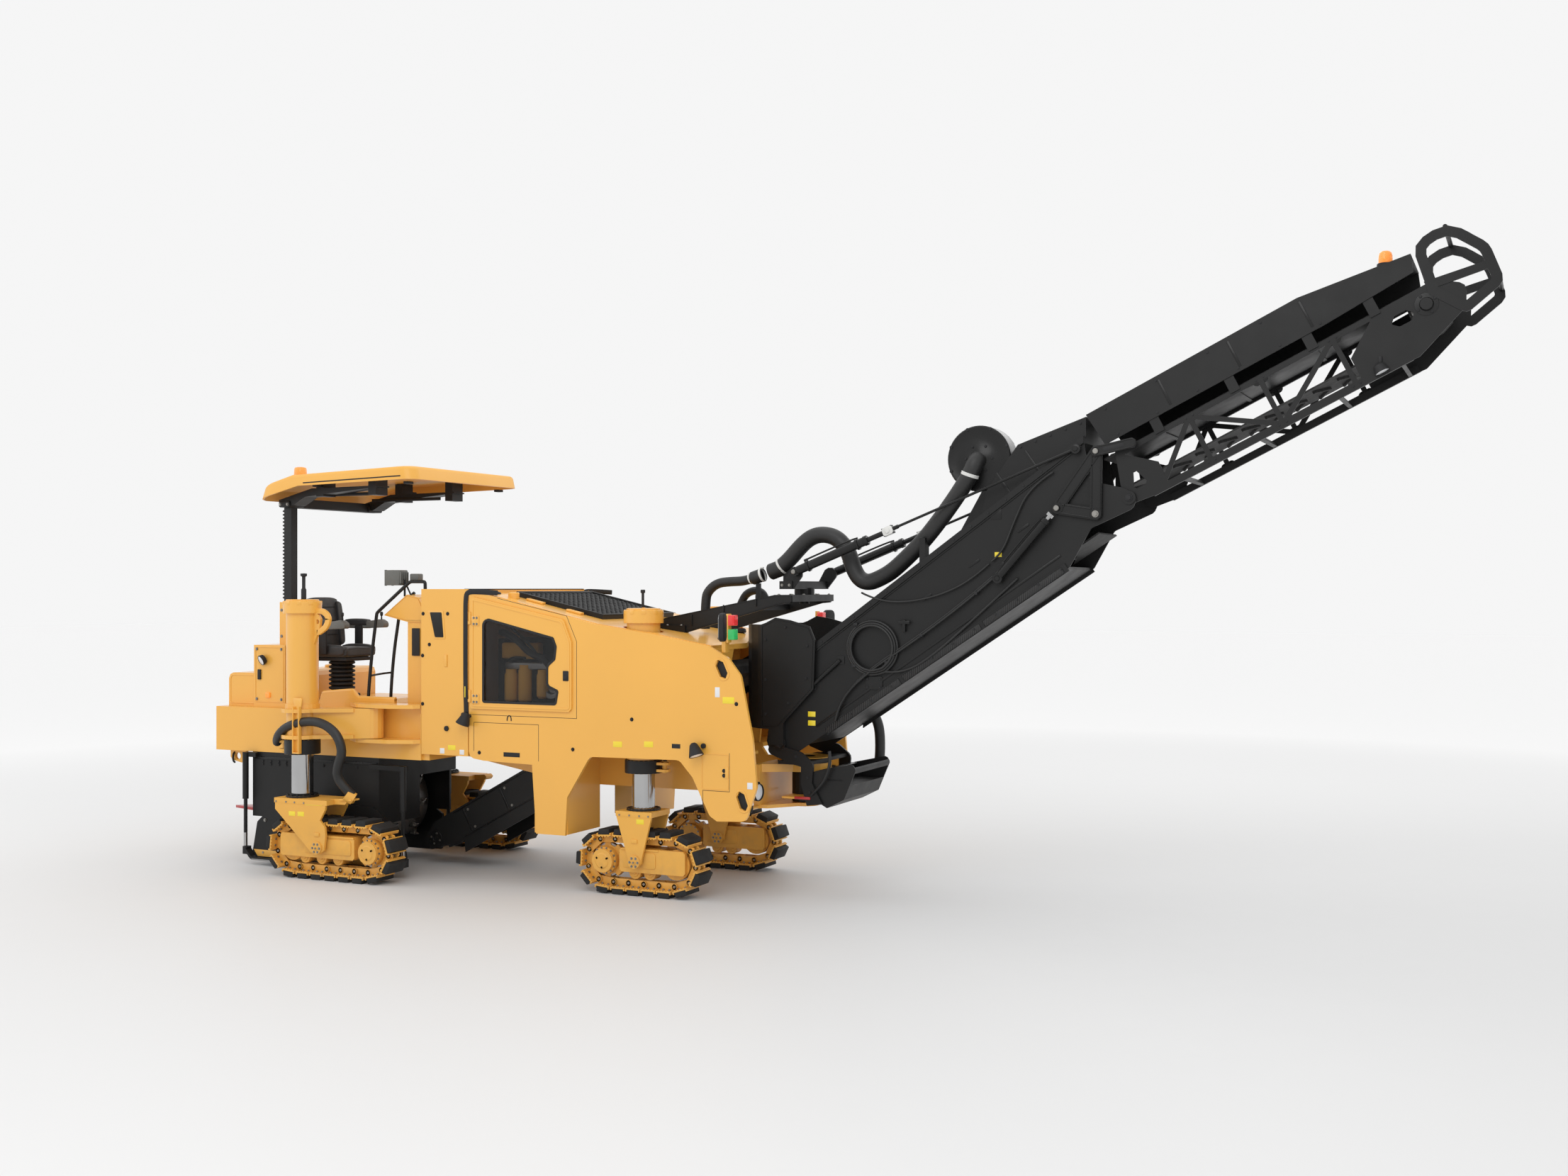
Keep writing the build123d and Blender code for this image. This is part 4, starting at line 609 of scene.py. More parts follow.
class PlanerSizes(bpy.types.PropertyGroup):
    pad: bpy.props.FloatProperty(name="Track pad", description="Length of a track pad along the chain",
        default=0.118, min=0.05, max=0.14, unit="LENGTH")
    cleat: bpy.props.FloatProperty(name="Belt cleat", description="Height of the cleats on the belts",
        default=0.022, min=0.0, max=0.03, unit="LENGTH")
    seam: bpy.props.FloatProperty(name="Seam trim", description="Width of the rubber trim on the hood's seams",
        default=0.05, min=0.01, max=0.08, unit="LENGTH")
    lens: bpy.props.FloatProperty(name="Focal length", description="Focal length of the camera, in millimetres",
        default=37.84, min=20.0, max=120.0)
    key_power: bpy.props.FloatProperty(name="Key light", description="Power of the main light", default=300.0,
        min=0.0, max=5000.0, unit="POWER")


def sizes():
    return bpy.context.scene.planer_sizes


# ---------------------------------------------------------------- the stage
class PLANER_OT_stage(bpy.types.Operator):
    """Camera, pale floor and soft studio light"""
    bl_idname = "planer.stage"
    bl_label = "Stage"

    def execute(self, context):
        scene = context.scene
        data = bpy.data.cameras.new("camera")
        data.lens = sizes().lens
        data.sensor_width = 36.0
        data.clip_end = 200.0
        camera = bpy.data.objects.new("camera", data)
        camera.location = ZERO + Vector((7.265, -13.44, 2.7))
        camera.rotation_euler = (math.radians(90), 0, math.radians(25))
        scene.collection.objects.link(camera)
        scene.camera = camera
        floor = Piece("floor", "studio_floor", None)
        bmesh.ops.create_grid(floor.bm, x_segments=8, y_segments=8, size=90.0)
        floor.put()
        world = bpy.data.worlds.new("studio")
        world.use_nodes = True
        world.node_tree.nodes["Background"].inputs["Color"].default_value = (1.0, 1.0, 1.0, 1.0)
        world.node_tree.nodes["Background"].inputs["Strength"].default_value = 0.92
        scene.world = world
        scene.view_settings.view_transform = "Standard"
        for name, spot, size, share in (("key", (3.0, -9.0, 9.0), 6.0, 1.0), ("fill", (-10.0, -6.0, 6.0), 7.0,
                0.45), ("top", (0.0, 1.0, 11.0), 9.0, 0.6), ("back", (3.0, 10.0, 8.0), 6.0, 0.4),):
            lamp = bpy.data.lights.new(name, "AREA")
            lamp.energy = sizes().key_power * share
            lamp.size = size
            holder = bpy.data.objects.new(name, lamp)
            holder.matrix_world = aim(ZERO + Vector(spot), ZERO + Vector((0.5, 0, 1.2))) @ spin(180, "X")
            scene.collection.objects.link(holder)
        return done()


# ---------------------------------------------------------------- finishes of the solids
NODE_FINISHES = {
    "yellow_enamel": (
        "main_frame", "hood_side_right", "hood_side_left", "hood_top", "engine_door_right", "engine_door_left",
        "swing_arm", "leg_tube_rear_right", "platform_deck", "control_console", "rear_cabinet",
        "mirrors_and_lamps",
    ),
    "canopy_shell": ("canopy_roof",),
    "black_powder": (
        "air_grille", "engine_block", "drum_housing", "moldboard", "side_plate_right", "side_plate_left",
        "collecting_conveyor", "gantry", "slew_turret", "slew_head", "lift_cylinder", "lift_rod",
        "conveyor_lower", "conveyor_upper", "fold_crank", "fold_link", "fold_cylinder", "canopy_mast",
        "handrails",
    ),
    "seat_leather": ("operator_seat",),
    "belting": ("collecting_belt", "belt_lower", "belt_upper"),
    "hose_rubber": ("hose_from_hood", "hose_on_swivel", "hose_on_conveyor"),
    "dark_glass": ("door_window_right", "door_window_left"),
    "bare_steel": ("milling_drum",),
    "chromed_rod": ("fold_rod",),
}


class PLANER_OT_finishes(bpy.types.Operator):
    """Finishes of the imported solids"""
    bl_idname = "planer.finishes"
    bl_label = "Finishes of the solids"

    def execute(self, context):
        chosen = {node: name for name, nodes in NODE_FINISHES.items() for node in nodes}
        for leg in LEGS:
            chosen["leg_" + leg["name"]] = "yellow_casting"
            chosen["collar_" + leg["name"]] = "yellow_casting"
            chosen["track_frame_" + leg["name"]] = "yellow_casting"
            chosen["track_" + leg["name"]] = "yellow_casting"
        for name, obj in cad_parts.items():
            obj.data.materials.clear()
            obj.data.materials.append(finish(chosen[name]))
        return done()


# ---------------------------------------------------------------- tracks and legs
def chain_pins(leg):
    """The chain's pins along the pitch line, evenly spaced."""
    rear, front = sorted((leg["sprocket"], leg["idler"]))
    straight, arc = front - rear, math.pi * PITCH_R
    total = 2 * (straight + arc)
    count = round(total / SHOE_PITCH)
    points = []
    for index in range(count):
        s = (index + 0.5) * total / count
        if s < straight:
            points.append((rear + s, TRACK_R - PITCH_R))
        elif s < straight + arc:
            a = (s - straight) / PITCH_R
            points.append((front + PITCH_R * math.sin(a), TRACK_R - PITCH_R * math.cos(a)))
        elif s < 2 * straight + arc:
            points.append((front - (s - straight - arc), TRACK_R + PITCH_R))
        else:
            a = (s - 2 * straight - arc) / PITCH_R
            points.append((rear - PITCH_R * math.sin(a), TRACK_R + PITCH_R * math.cos(a)))
    return points


def link_places(leg):
    """A place at the middle of each link, with X along the chain and Z outwards, and its length."""
    pins = chain_pins(leg)
    places = []
    for (x0, z0), (x1, z1) in zip(pins, pins[1:] + pins[:1]):
        length = math.hypot(x1 - x0, z1 - z0)
        tx, tz = (x1 - x0) / length, (z1 - z0) / length
        x, z = leg["x"] + (x0 + x1) / 2, (z0 + z1) / 2
        turn = Matrix(((tx, 0, tz, x), (0, -1, 0, leg["y"]), (tz, 0, -tx, z), (0, 0, 0, 1)))
        places.append((turn, length))
    return places


class PLANER_OT_tracks(bpy.types.Operator):
    """Shoes, pads, links and pins of the four tracks"""
    bl_idname = "planer.tracks"
    bl_label = "Tracks"

    def execute(self, context):
        for leg in LEGS:
            body = "strut_" + leg["name"]
            places = [place for place, _ in link_places(leg)]
            half = sizes().pad / 2
            shoes = Piece("track_shoes_" + leg["name"], "yellow_casting", body)
            shoes.add(box((-0.073, -0.129, 0.034), (0.073, 0.129, 0.047), 0.003, 1), *places)
            for x in (-0.066, 0.066):
                shoes.add(box((x - 0.006, -0.129, 0.044), (x + 0.006, 0.129, 0.062), 0.003, 1), *places)
            for side in (-1, 1):
                for x in (-0.045, -0.015, 0.015, 0.045):
                    shoes.add(box((x - 0.007, side * 0.1255 - 0.004, 0.026), (x + 0.007, side * 0.1255 + 0.004,
                        0.046), 0.002, 1), *places)
            for index, (y0, y1) in enumerate(((0.03, 0.043), (0.043, 0.055))):
                for side in (-1, 1):
                    link = plate([(-0.1, -0.032, 0.028), (0.1, -0.032, 0.028), (0.1, 0.036, 0.018),
                        (-0.1, 0.036, 0.018)], side * y0, side * y1, 0.0025)
                    shoes.add(link, *places[index::2])
                    boss = ring(0.027, 0.01, 0.006, 0.0015, 14)
                    for x in (-0.078, 0.078):
                        spot = shift(x, side * 0.055, 0) @ spin(side * -90, "X")
                        copy = boss.copy()
                        shoes.add(copy, *[place @ spot for place in places[index::2]])
                    boss.free()
            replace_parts(shoes.put(), "track_" + leg["name"])
            pads = Piece("track_pads_" + leg["name"], "pad_rubber", body)
            pads.add(plate([(-half, PLATE_OUT - 0.002), (half, PLATE_OUT - 0.002), (half - 0.006,
                PAD_OUT - 0.001, 0.006), (-half + 0.006, PAD_OUT - 0.001, 0.006)], -0.124, 0.124, 0.006),
                *places)
            pins = Piece("track_pins_" + leg["name"], "bolt_steel", body)
            pin = drum(0.012, 0.126, 0.002, 12)
            turn = shift(0.078, -0.063, 0) @ spin(-90, "X")
            pins.add(pin, *[place @ turn for place in places])
            for y in (-0.066, 0.066):
                pins.add(bolt(0.008, 0.007), *[place @ shift(x, y, 0.03) @ spin(180, "X") for place in places
                    for x in (-0.03, 0.03)])
        return done()


class PLANER_OT_undercarriage(bpy.types.Operator):
    """Drives, idlers, rollers and yokes of the four track units"""
    bl_idname = "planer.undercarriage"
    bl_label = "Track frames and yokes"

    def execute(self, context):
        for leg in LEGS:
            side = math.copysign(1, leg["y"])
            body, x0, y0 = "strut_" + leg["name"], leg["x"], leg["y"]
            ahead = 1 if leg["idler"] > leg["sprocket"] else -1
            xs, xi, xh = x0 + leg["sprocket"], x0 + leg["idler"], x0 + leg["hub"]
            cast = Piece("drive_and_rollers_" + leg["name"], "yellow_casting", body)
            bolts = Piece("track_unit_bolts_" + leg["name"], "bolt_steel", body)
            drive_y = y0 + side * 0.128
            cast.turn([(0, 0.006), (0.06, 0.006), (0.066, 0.001), (0.094, -0.004), (0.1055, -0.016),
                (0.1055, -0.1), (0.1, -0.105)], 40, facing(side, xs, drive_y, TRACK_R))
            span = abs(leg["idler"] - leg["sprocket"])
            x1, x2 = sorted((xs + ahead * 0.2, xi - ahead * 0.18))
            for way in (side, -side):
                cast.turn([(0.1, 0.008), (0.118, 0.008), (0.1195, 0.004), (0.1195, -0.03)], 40,
                    facing(way, xs, y0 + way * 0.085, TRACK_R))
                bolts.bolts(around((xs, y0 + way * 0.092, TRACK_R), 0.112, 14), (0, way, 0), 0.007, 0.006)
                cast.turn([(0, 0.012), (0.03, 0.012), (0.036, 0.006), (0.06, 0.002), (0.125, 0.002),
                    (0.1325, -0.006), (0.1325, -0.05)], 36, facing(way, xi, y0 + way * 0.061, TRACK_R))
                for index in range(2 if span < 0.8 else 3):
                    cast.turn([(0, 0.016), (0.016, 0.016), (0.02, 0.01), (0.036, 0.008), (0.042, 0.002),
                        (0.058, 0.001), (0.0605, -0.004), (0.0605, -0.03)], 28, facing(way,
                        xs + ahead * span * (0.42 + 0.21 * index), y0 + way * 0.061, TRACK_R - PITCH_R
                        + LINK_HALF + 0.0603))
                cast.add(plate([(x1, 0.245, 0.02), (x2, 0.245, 0.02), (x2, 0.385, 0.03), (x1, 0.385, 0.03)],
                    y0 + way * 0.104, y0 + way * 0.112, 0.004))
                cast.box((x1 - 0.02, y0 + way * 0.098, 0.398), (x2 + 0.03, y0 + way * 0.112, 0.4145), 0.004)
                hub = (xh, y0 + way * 0.178, 0.305)
                cast.turn([(0, 0.004), (0.02, 0.004), (0.024, 0.0), (0.054, 0.0), (0.0595, -0.004),
                    (0.0595, -0.016)], 32, facing(way, *hub))
                bolts.bolts(around(hub, 0.04, 6), (0, way, 0), 0.008, 0.006)
                bolts.bolts([hub], (0, way, 0), 0.009, 0.012)
                z = 0.47 if leg["hub"] == 0 else 0.41
                cast.box((xh - 0.03, y0 + way * 0.16, z), (xh + 0.03, y0 + way * 0.17, z + 0.035), 0.003)
                bolts.bolts([(xs + 0.055 * c, drive_y + side * 0.002, TRACK_R + 0.055 * s) for c,
                    s in ((0.9, 0.45), (-0.9, 0.45), (0, -1))], (0, side, 0), 0.009, 0.008)
            teeth = Piece("sprocket_teeth_" + leg["name"], "bare_steel", body)
            teeth.turn([(0.132, 0.018), (0.15, 0.018), (0.156, 0.01), (0.156, -0.01), (0.15, -0.018),
                (0.132, -0.018), (0.132, 0.018)], 32, facing(1, xs, y0, TRACK_R))
        return done()


def guide_sleeve(piece, leg):
    """Smooth outer tube of a leg with its ribbed cap."""
    x, y, top = leg["x"], leg["y"], leg["cap_top"]
    piece.turn([(0.1005, leg["collar_high"] + 0.005), (0.1475, leg["collar_high"] + 0.005),
        (0.1475, top - 0.128)], 56, shift(x, y, 0))
    piece.turn([(0.1475, top - 0.137), (0.17, top - 0.137), (0.1762, top - 0.131), (0.1762, top - 0.036),
        (0.168, top - 0.025), (0.152, top - 0.02), (0.151, top - 0.01), (0.14, top - 0.006),
        (0.016, top - 0.006), (0.0152, top), (0, top)], 56, shift(x, y, 0))
    for index in range(10):
        turn = spin(36 * index + 12, "Z")
        rib = box((0.15, -0.022, top - 0.06), (0.1785, 0.022, top - 0.0205), 0.006)
        piece.add(rib, shift(x, y, 0) @ turn)


class PLANER_OT_legs(bpy.types.Operator):
    """Chromed tubes, sleeves, caps and collars of the legs"""
    bl_idname = "planer.legs"
    bl_label = "Legs"

    def execute(self, context):
        for leg in LEGS:
            name, x, y = leg["name"], leg["x"], leg["y"]
            strut, collar = "strut_" + name, "collar_" + name
            carrier = "swing_leg" if name == "rear_right" else "chassis"
            chrome = Piece("chromed_tube_" + name, "chromed_rod", strut)
            chrome.tube((x, y, 0.766), (x, y, 2.08), 0.1004, 0.094, 64)
            flange = Piece("leg_flange_" + name, "black_powder", strut)
            flange.tube((x, y, 0.746), (x, y, 0.7655), 0.1508, 0.1, 48)
            room = leg["collar_low"] - 0.305 - 0.7655
            spots = [(px, py, 0.7655) for px, _, py in around((x, 0, y), 0.134, 14, 8)]
            flange.bolts(spots, (0, 0, 1), 0.01, min(0.01, room - 0.0025), False)
            if room > 0.02:
                flange.tube((x, y, 0.765), (x, y, 0.782), 0.116, 0.1005, 48)
            low, high = leg["collar_low"], leg["collar_high"]
            ringed = Piece("collar_sleeve_" + name, "black_powder", collar)
            ringed.tube((x, y, low - 0.0005), (x, y, high + 0.0005), 0.1655, 0.1008, 56)
            way = 1 if leg["hub"] == 0 else -1
            for z in (low + 0.015, high - 0.04):
                ringed.tube((x + way * 0.215, y, z - 0.001), (x + way * 0.215, y, z + 0.023), 0.036, 0.019, 28)
            ringed.bolts([(x + way * 0.215, y, high - 0.008)], (0, 0, 1), 0.016, 0.008)
            tube = Piece("guide_tube_" + name, "yellow_enamel", carrier)
            guide_sleeve(tube, leg)
            grease = Piece("yoke_fittings_" + name, "bolt_steel", strut)
            side = math.copysign(1, y)
            half_x = 0.15 if leg["hub"] == 0 else 0.17
            for way in (-1, 1):
                points = [(x + u, y + way * 0.162, 0.712) for u in (-half_x, -0.05, 0.05, half_x - 0.01)]
                grease.bolts(points, (0, way, 0), 0.009, 0.006)
            labels = Piece("yoke_labels_" + name, "label_yellow", strut)
            spots = ((-0.02, 0.585), (0.085, 0.587)) if leg["hub"] else ((0.02, 0.64),)
            for u, z in spots:
                labels.box((x + u, y + side * 0.1618, z), (x + u + 0.075, y + side * 0.1634, z + 0.042), 0.0006)
            if leg["hub"]:
                labels.box((x + 0.17, y + side * 0.1618, 0.695), (x + 0.37, y + side * 0.1634, 0.722), 0.0006)
        leg = LEGS[2]
        x, y = leg["x"], leg["y"]
        lug = Piece("lifting_lug_rear_right", "yellow_enamel", "swing_leg")
        outline = [(x + 0.13, 2.27), (x + 0.2, 2.255, 0.03), (x + 0.335, 2.34, 0.07), (x + 0.335, 2.455, 0.06),
            (x + 0.25, 2.51, 0.03), (x + 0.13, 2.51)]
        lug.add(rim(outline, y - 0.016, y + 0.016, 0.05, 0.005))
        lug.add(plate([(x + 0.04, 1.165), (x + 0.12, 1.165), (x + 0.12, 1.6), (x + 0.135, 1.68, 0.02),
            (x + 0.02, 1.68, 0.02), (x + 0.04, 1.6)], y - 0.158, y - 0.1475, 0.003))
        for u in (0.04, 0.11):
            lug.box((x + u, y - 0.189, 1.165), (x + u + 0.01, y - 0.15, 1.6), 0.003)
        lug.box((x + 0.045, y - 0.188, 1.165), (x + 0.115, y - 0.15, 1.177), 0.003)
        sensor = Piece("level_sensor_rear_right", "black_plastic", "swing_leg")
        sensor.turn([(0, 0), (0.024, 0), (0.024, 0.1), (0.016, 0.115), (0.016, 0.22), (0.03, 0.228),
            (0.03, 0.25), (0, 0.252)], 24, shift(x + 0.05, y - 0.04, 2.585))
        hose = Piece("leg_hose_rear_right", "hose_rubber", "swing_leg")
        route = [(-3.7, -1.3, 1.24), (-3.6, -1.42, 1.3), (-3.43, -1.48, 1.41), (-3.2, -1.48, 1.47),
            (-3.0, -1.48, 1.46), (-2.83, -1.48, 1.36), (-2.77, -1.475, 1.2), (-2.83, -1.47, 1.08),
            (-2.87, -1.44, 0.96), (-2.8, -1.4, 0.85), (-2.755, -1.36, 0.79)]
        hose.pipe(route, 0.043, steps=8, ring_steps=5)
        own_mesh(hose.put())
        clamp = Piece("leg_hose_clamp_rear_right", "yellow_casting", "strut_rear_right")
        clamp.tube((-2.8, -1.395, 0.8), (-2.745, -1.352, 0.755), 0.058, 0.046, 24)
        clamp.box((-2.86, -1.42, 0.742), (-2.72, -1.3, 0.758), 0.004)
        return done()


# ---------------------------------------------------------------- hood
WINDOW_EDGE = [(-1.555, 1.655, 0.025), (-0.76, 1.655, 0.025), (-0.735, 1.79, 0.02), (-0.845, 1.835, 0.02),
    (-0.845, 2.0, 0.02), (-0.77, 2.06, 0.015), (-0.755, 2.18, 0.02), (-0.79, 2.262, 0.015),
    (-1.49, 2.425, 0.03), (-1.555, 2.4, 0.04),]


def flat_band(points, y, width, thick):
    """A strip with rounded edges that follows a line in the XZ plane."""
    bm = spline([(px, 0, pz) for px, pz in points], width / 2, 3, 3, 8)
    bmesh.ops.scale(bm, vec=(1, thick / width, 1), verts=bm.verts)
    bmesh.ops.translate(bm, vec=(0, y, 0), verts=bm.verts)
    return bm


class PLANER_OT_hood(bpy.types.Operator):
    """Seam trim, door gaskets, hinges, hand holes, hatches and bolts of the hood"""
    bl_idname = "planer.hood"
    bl_label = "Hood"

    def execute(self, context):
        trim = Piece("hood_seam_trim", "black_plastic")
        seam = [(-1.4, 2.655), (-1.62, 2.668), (-1.735, 2.664), (-1.75, 2.6), (-1.752, 2.45), (-1.752, 1.8),
            (-1.745, 1.6), (-1.742, 1.52)]
        for side in (-1, 1):
            trim.add(flat_band(seam, side * 1.0015, sizes().seam, 0.014))
        trim.add(box((-1.78, -0.985, 2.684), (-1.722, 0.985, 2.6935), 0.003))
        knob = Piece("hood_top_cap", "black_plastic")
        knob.turn([(0.075, 0), (0.085, 0.006), (0.078, 0.02), (0.055, 0.028), (0, 0.03)], 28,
            shift(-1.6, -0.8, 2.64))
        for side, name in SIDES:
            body = "door_" + name
            y = side * (BODY_HALF + DOOR_THICK)
            gasket = Piece("door_gasket_" + name, "black_plastic", body)
            gasket.add(rim(WINDOW_EDGE, y - side * 0.004, y + side * 0.004, 0.022))
            bead = Piece("door_bead_" + name, "yellow_enamel", body)
            inset = [(-1.67, 1.618, 0.02), (-0.622, 1.618, 0.03), (-0.622, 2.218, 0.03), (-0.702, 2.406, 0.03),
                (-1.67, 2.604, 0.02)]
            bead.add(rim(inset, y - side * 0.004, y + side * 0.004, 0.016, 0.0025))
            for z in (1.69, 2.4):
                bead.box((-1.672, y - side * 0.003, z - 0.045), (-1.588, y + side * 0.007, z + 0.045), 0.004)
                bead.rod((-1.69, side * 1.018, z - 0.028), (-1.69, side * 1.018, z + 0.079), 0.0135, 0.002, 20)
            screws = Piece("door_screws_" + name, "bolt_steel", body)
            screws.bolts([(x, y + side * 0.007, z + d) for z in (1.69, 2.4) for d in (-0.028, 0.028)
                for x in (-1.612, -1.645)], (0, side, 0), 0.008, 0.006)
            screws.add(ring(0.02, 0.012, 0.006, 0.0015, 20), facing(side, -0.655, y, 1.92))
            latch = Piece("door_latch_" + name, "black_plastic", body)
            latch.box((-0.69, y - side * 0.002, 1.875), (-0.63, y + side * 0.009, 1.965), 0.006)
            latch.box((-0.68, y, 1.885), (-0.64, y + side * 0.014, 1.925), 0.005)
            rims = Piece("hand_hole_rims_" + name, "yellow_enamel")
            for x, z, turn in ((0.88, 2.01, -65), (1.075, 0.9, -70)):
                outline = oblong(-0.1, -0.055, 0.1, 0.055, 0.05)
                rims.add(rim(outline, side * 0.998, side * 1.005, 0.0155, 0.003), lay(x, z, turn))
            rims.add(rim(oblong(0.69, 0.985, 0.945, 1.29, 0.012), side * 0.999, side * 1.0035, 0.006, 0.0015))
            lines = Piece("hood_panel_lines_" + name, "black_plastic")
            for outline in ([(-1.715, 1.545), (-0.56, 1.545), (-0.56, 2.225), (-0.665, 2.452), (-1.4, 2.607)],
                    [(-1.66, 1.215), (-1.66, 1.475), (-0.96, 1.475), (-0.96, 1.15)], [(0.7, 0.8), (0.7, 0.975),
                    (0.955, 0.975), (0.955, 1.3)]):
                for start, end in zip(outline, outline[1:]):
                    line, span = stretch_of(start, end)
                    lines.add(plate(oblong(-0.002, -0.002, span + 0.002, 0.002), side * 0.9995, side * 1.0006,
                        0), line)
            # Painted shade: a black sheet behind each hand hole stands in for the shade inside the hole.
            for x, z, turn in ((0.88, 2.01, -65), (1.075, 0.9, -70)):
                lines.add(plate(oblong(-0.115, -0.065, 0.115, 0.065, 0.05), side * 0.96, side * 0.975, 0.002),
                    lay(x, z, turn))
            rims.box((0.915, side * 0.999, 1.085), (0.945, side * 1.007, 1.185), 0.004)
            rims.add(plate([(-2.173, 2.492, 0.01), (-2.0, 2.492, 0.01), (-1.975, 2.229, 0.01),
                (-2.105, 2.229, 0.01)], side * 0.999, side * 1.004, 0.002))
            rims.box((-1.985, side * 0.999, 1.975), (-1.955, side * 1.01, 2.085), 0.006)
            # Painted shade: a flat black plate on the hood stands in for the shade inside the recess.
            recess = Piece("hood_recess_" + name, "black_powder")
            recess.add(plate([(-2.15, 2.476, 0.01), (-2.017, 2.476, 0.01), (-1.995, 2.245, 0.01),
                (-2.092, 2.245, 0.01)], side * 1.0035, side * 1.0055, 0.0008))
            bolts = Piece("hood_bolts_" + name, "black_plastic")
            spots = [(-1.952, 2.463), (-2.229, 2.462), (-2.158, 2.177), (-2.235, 2.074), (-2.235, 1.626),
                (-1.961, 1.407), (0.903, 1.11), (0.903, 1.15), (0.002, 1.556), (-1.6, 1.2), (0.6, 1.3),
                (-0.6, 1.27), (1.02, 1.72)]
            bolts.bolts([(x, side * 1.0, z) for x, z in spots], (0, side, 0), 0.012, 0.008)
            bolts.rod((-1.961, side * 0.999, 1.407), (-1.961, side * 1.016, 1.407), 0.024, 0.004)
            bolts.box((-1.335, side * 0.999, 1.175), (-1.16, side * 1.002, 1.215), 0.001)
            bolts.box((0.4, side * 0.999, 1.322), (0.482, side * 1.002, 1.36), 0.001)
            loop = [(-1.295, 1.5), (-1.297, 1.545), (-1.25, 1.548), (-1.252, 1.5)]
            bolts.add(flat_band(loop, side * 1.001, 0.01, 0.008))
            labels = Piece("hood_labels_" + name, "label_yellow")
            labels.box((-1.757, side * 1.008, 1.7), (-1.747, side * 1.0105, 1.8), 0.0008)
            for piece, rows in ((labels, ((-0.141, 1.334, 0.09, 0.05), (0.17, 1.346, 0.09, 0.05),
                    (0.945, 1.749, 0.11, 0.055), (-1.906, 1.233, 0.085, 0.045))), (Piece("hood_pale_labels_"
                    + name, "label_white"), ((0.84, 1.815, 0.045, 0.085), (1.148, 1.034, 0.05, 0.055),
                    (-2.013, 1.199, 0.05, 0.05), (-1.793, 1.195, 0.05, 0.045)))):
                for x, z, wide, high in rows:
                    piece.box((x - wide / 2, side * 0.9995, z - high / 2), (x + wide / 2, side * 1.0015,
                        z + high / 2), 0.0008)
            cones = Piece("work_lights_" + name, "black_plastic")
            lenses = Piece("work_light_lenses_" + name, "clear_lens")
            for x, z, way in ((-1.7, 1.52, -1), (0.64, 1.335, 1)):
                tip = Vector((x + way * 0.02, side * 1.065, z - 0.02))
                beam = aim(tip, tip + Vector((way * 0.35, side * 0.12, -0.9)))
                cones.turn([(0.018, -0.07), (0.034, -0.055), (0.062, 0.03), (0.066, 0.045), (0.058, 0.046)], 28,
                    beam)
                lenses.turn([(0, 0.05), (0.03, 0.048), (0.058, 0.042)], 28, beam)
                cones.rod((x, side * 0.998, z + 0.01), (x, side * 1.05, z), 0.013)
                cones.rod((x + way * 0.07, side * 0.998, z + 0.02), (x + way * 0.07, side * 1.02, z + 0.02),
                    0.022, 0.004)
        return done()


class PLANER_OT_engine(bpy.types.Operator):
    """Filters, pipes and covers seen through the door windows"""
    bl_idname = "planer.engine"
    bl_label = "Engine behind the windows"

    def execute(self, context):
        for side, name in SIDES:
            filters = Piece("filters_" + name, "yellow_casting")
            for x, z, radius, high in ((-1.36, 1.66, 0.062, 0.3), (-1.21, 1.66, 0.062, 0.34),
                    (-1.02, 1.7, 0.055, 0.26)):
                filters.turn([(0, 0), (radius * 0.7, 0), (radius, 0.02), (radius, high - 0.05),
                    (radius * 0.82, high - 0.03), (radius * 0.82, high), (0, high)], 24, shift(x, side * 0.84,
                    z))
            filters.box((-1.5, side * 0.7, 2.05), (-1.1, side * 0.8, 2.2), 0.02)
            pipes = Piece("engine_pipes_" + name, "hose_rubber")
            pipes.pipe([(-1.5, side * 0.8, 2.3), (-1.3, side * 0.86, 2.25), (-1.15, side * 0.86, 2.1),
                (-0.95, side * 0.84, 2.05), (-0.88, side * 0.8, 1.8)], 0.032)
            pipes.pipe([(-1.45, side * 0.78, 2.02), (-1.36, side * 0.84, 2.08), (-1.21, side * 0.84, 2.06)],
                0.014)
            pipes.pipe([(-1.02, side * 0.84, 1.98), (-1.05, side * 0.88, 2.16), (-1.4, side * 0.84, 2.36)],
                0.012)
            metal = Piece("engine_castings_" + name, "bare_steel")
            metal.box((-1.42, side * 0.72, 1.96), (-0.96, side * 0.86, 2.02), 0.012)
            metal.tube((-0.92, side * 0.72, 1.8), (-0.92, side * 0.86, 1.8), 0.1, 0.06)
            metal.rod((-0.92, side * 0.74, 1.8), (-0.92, side * 0.83, 1.8), 0.05)
        return done()


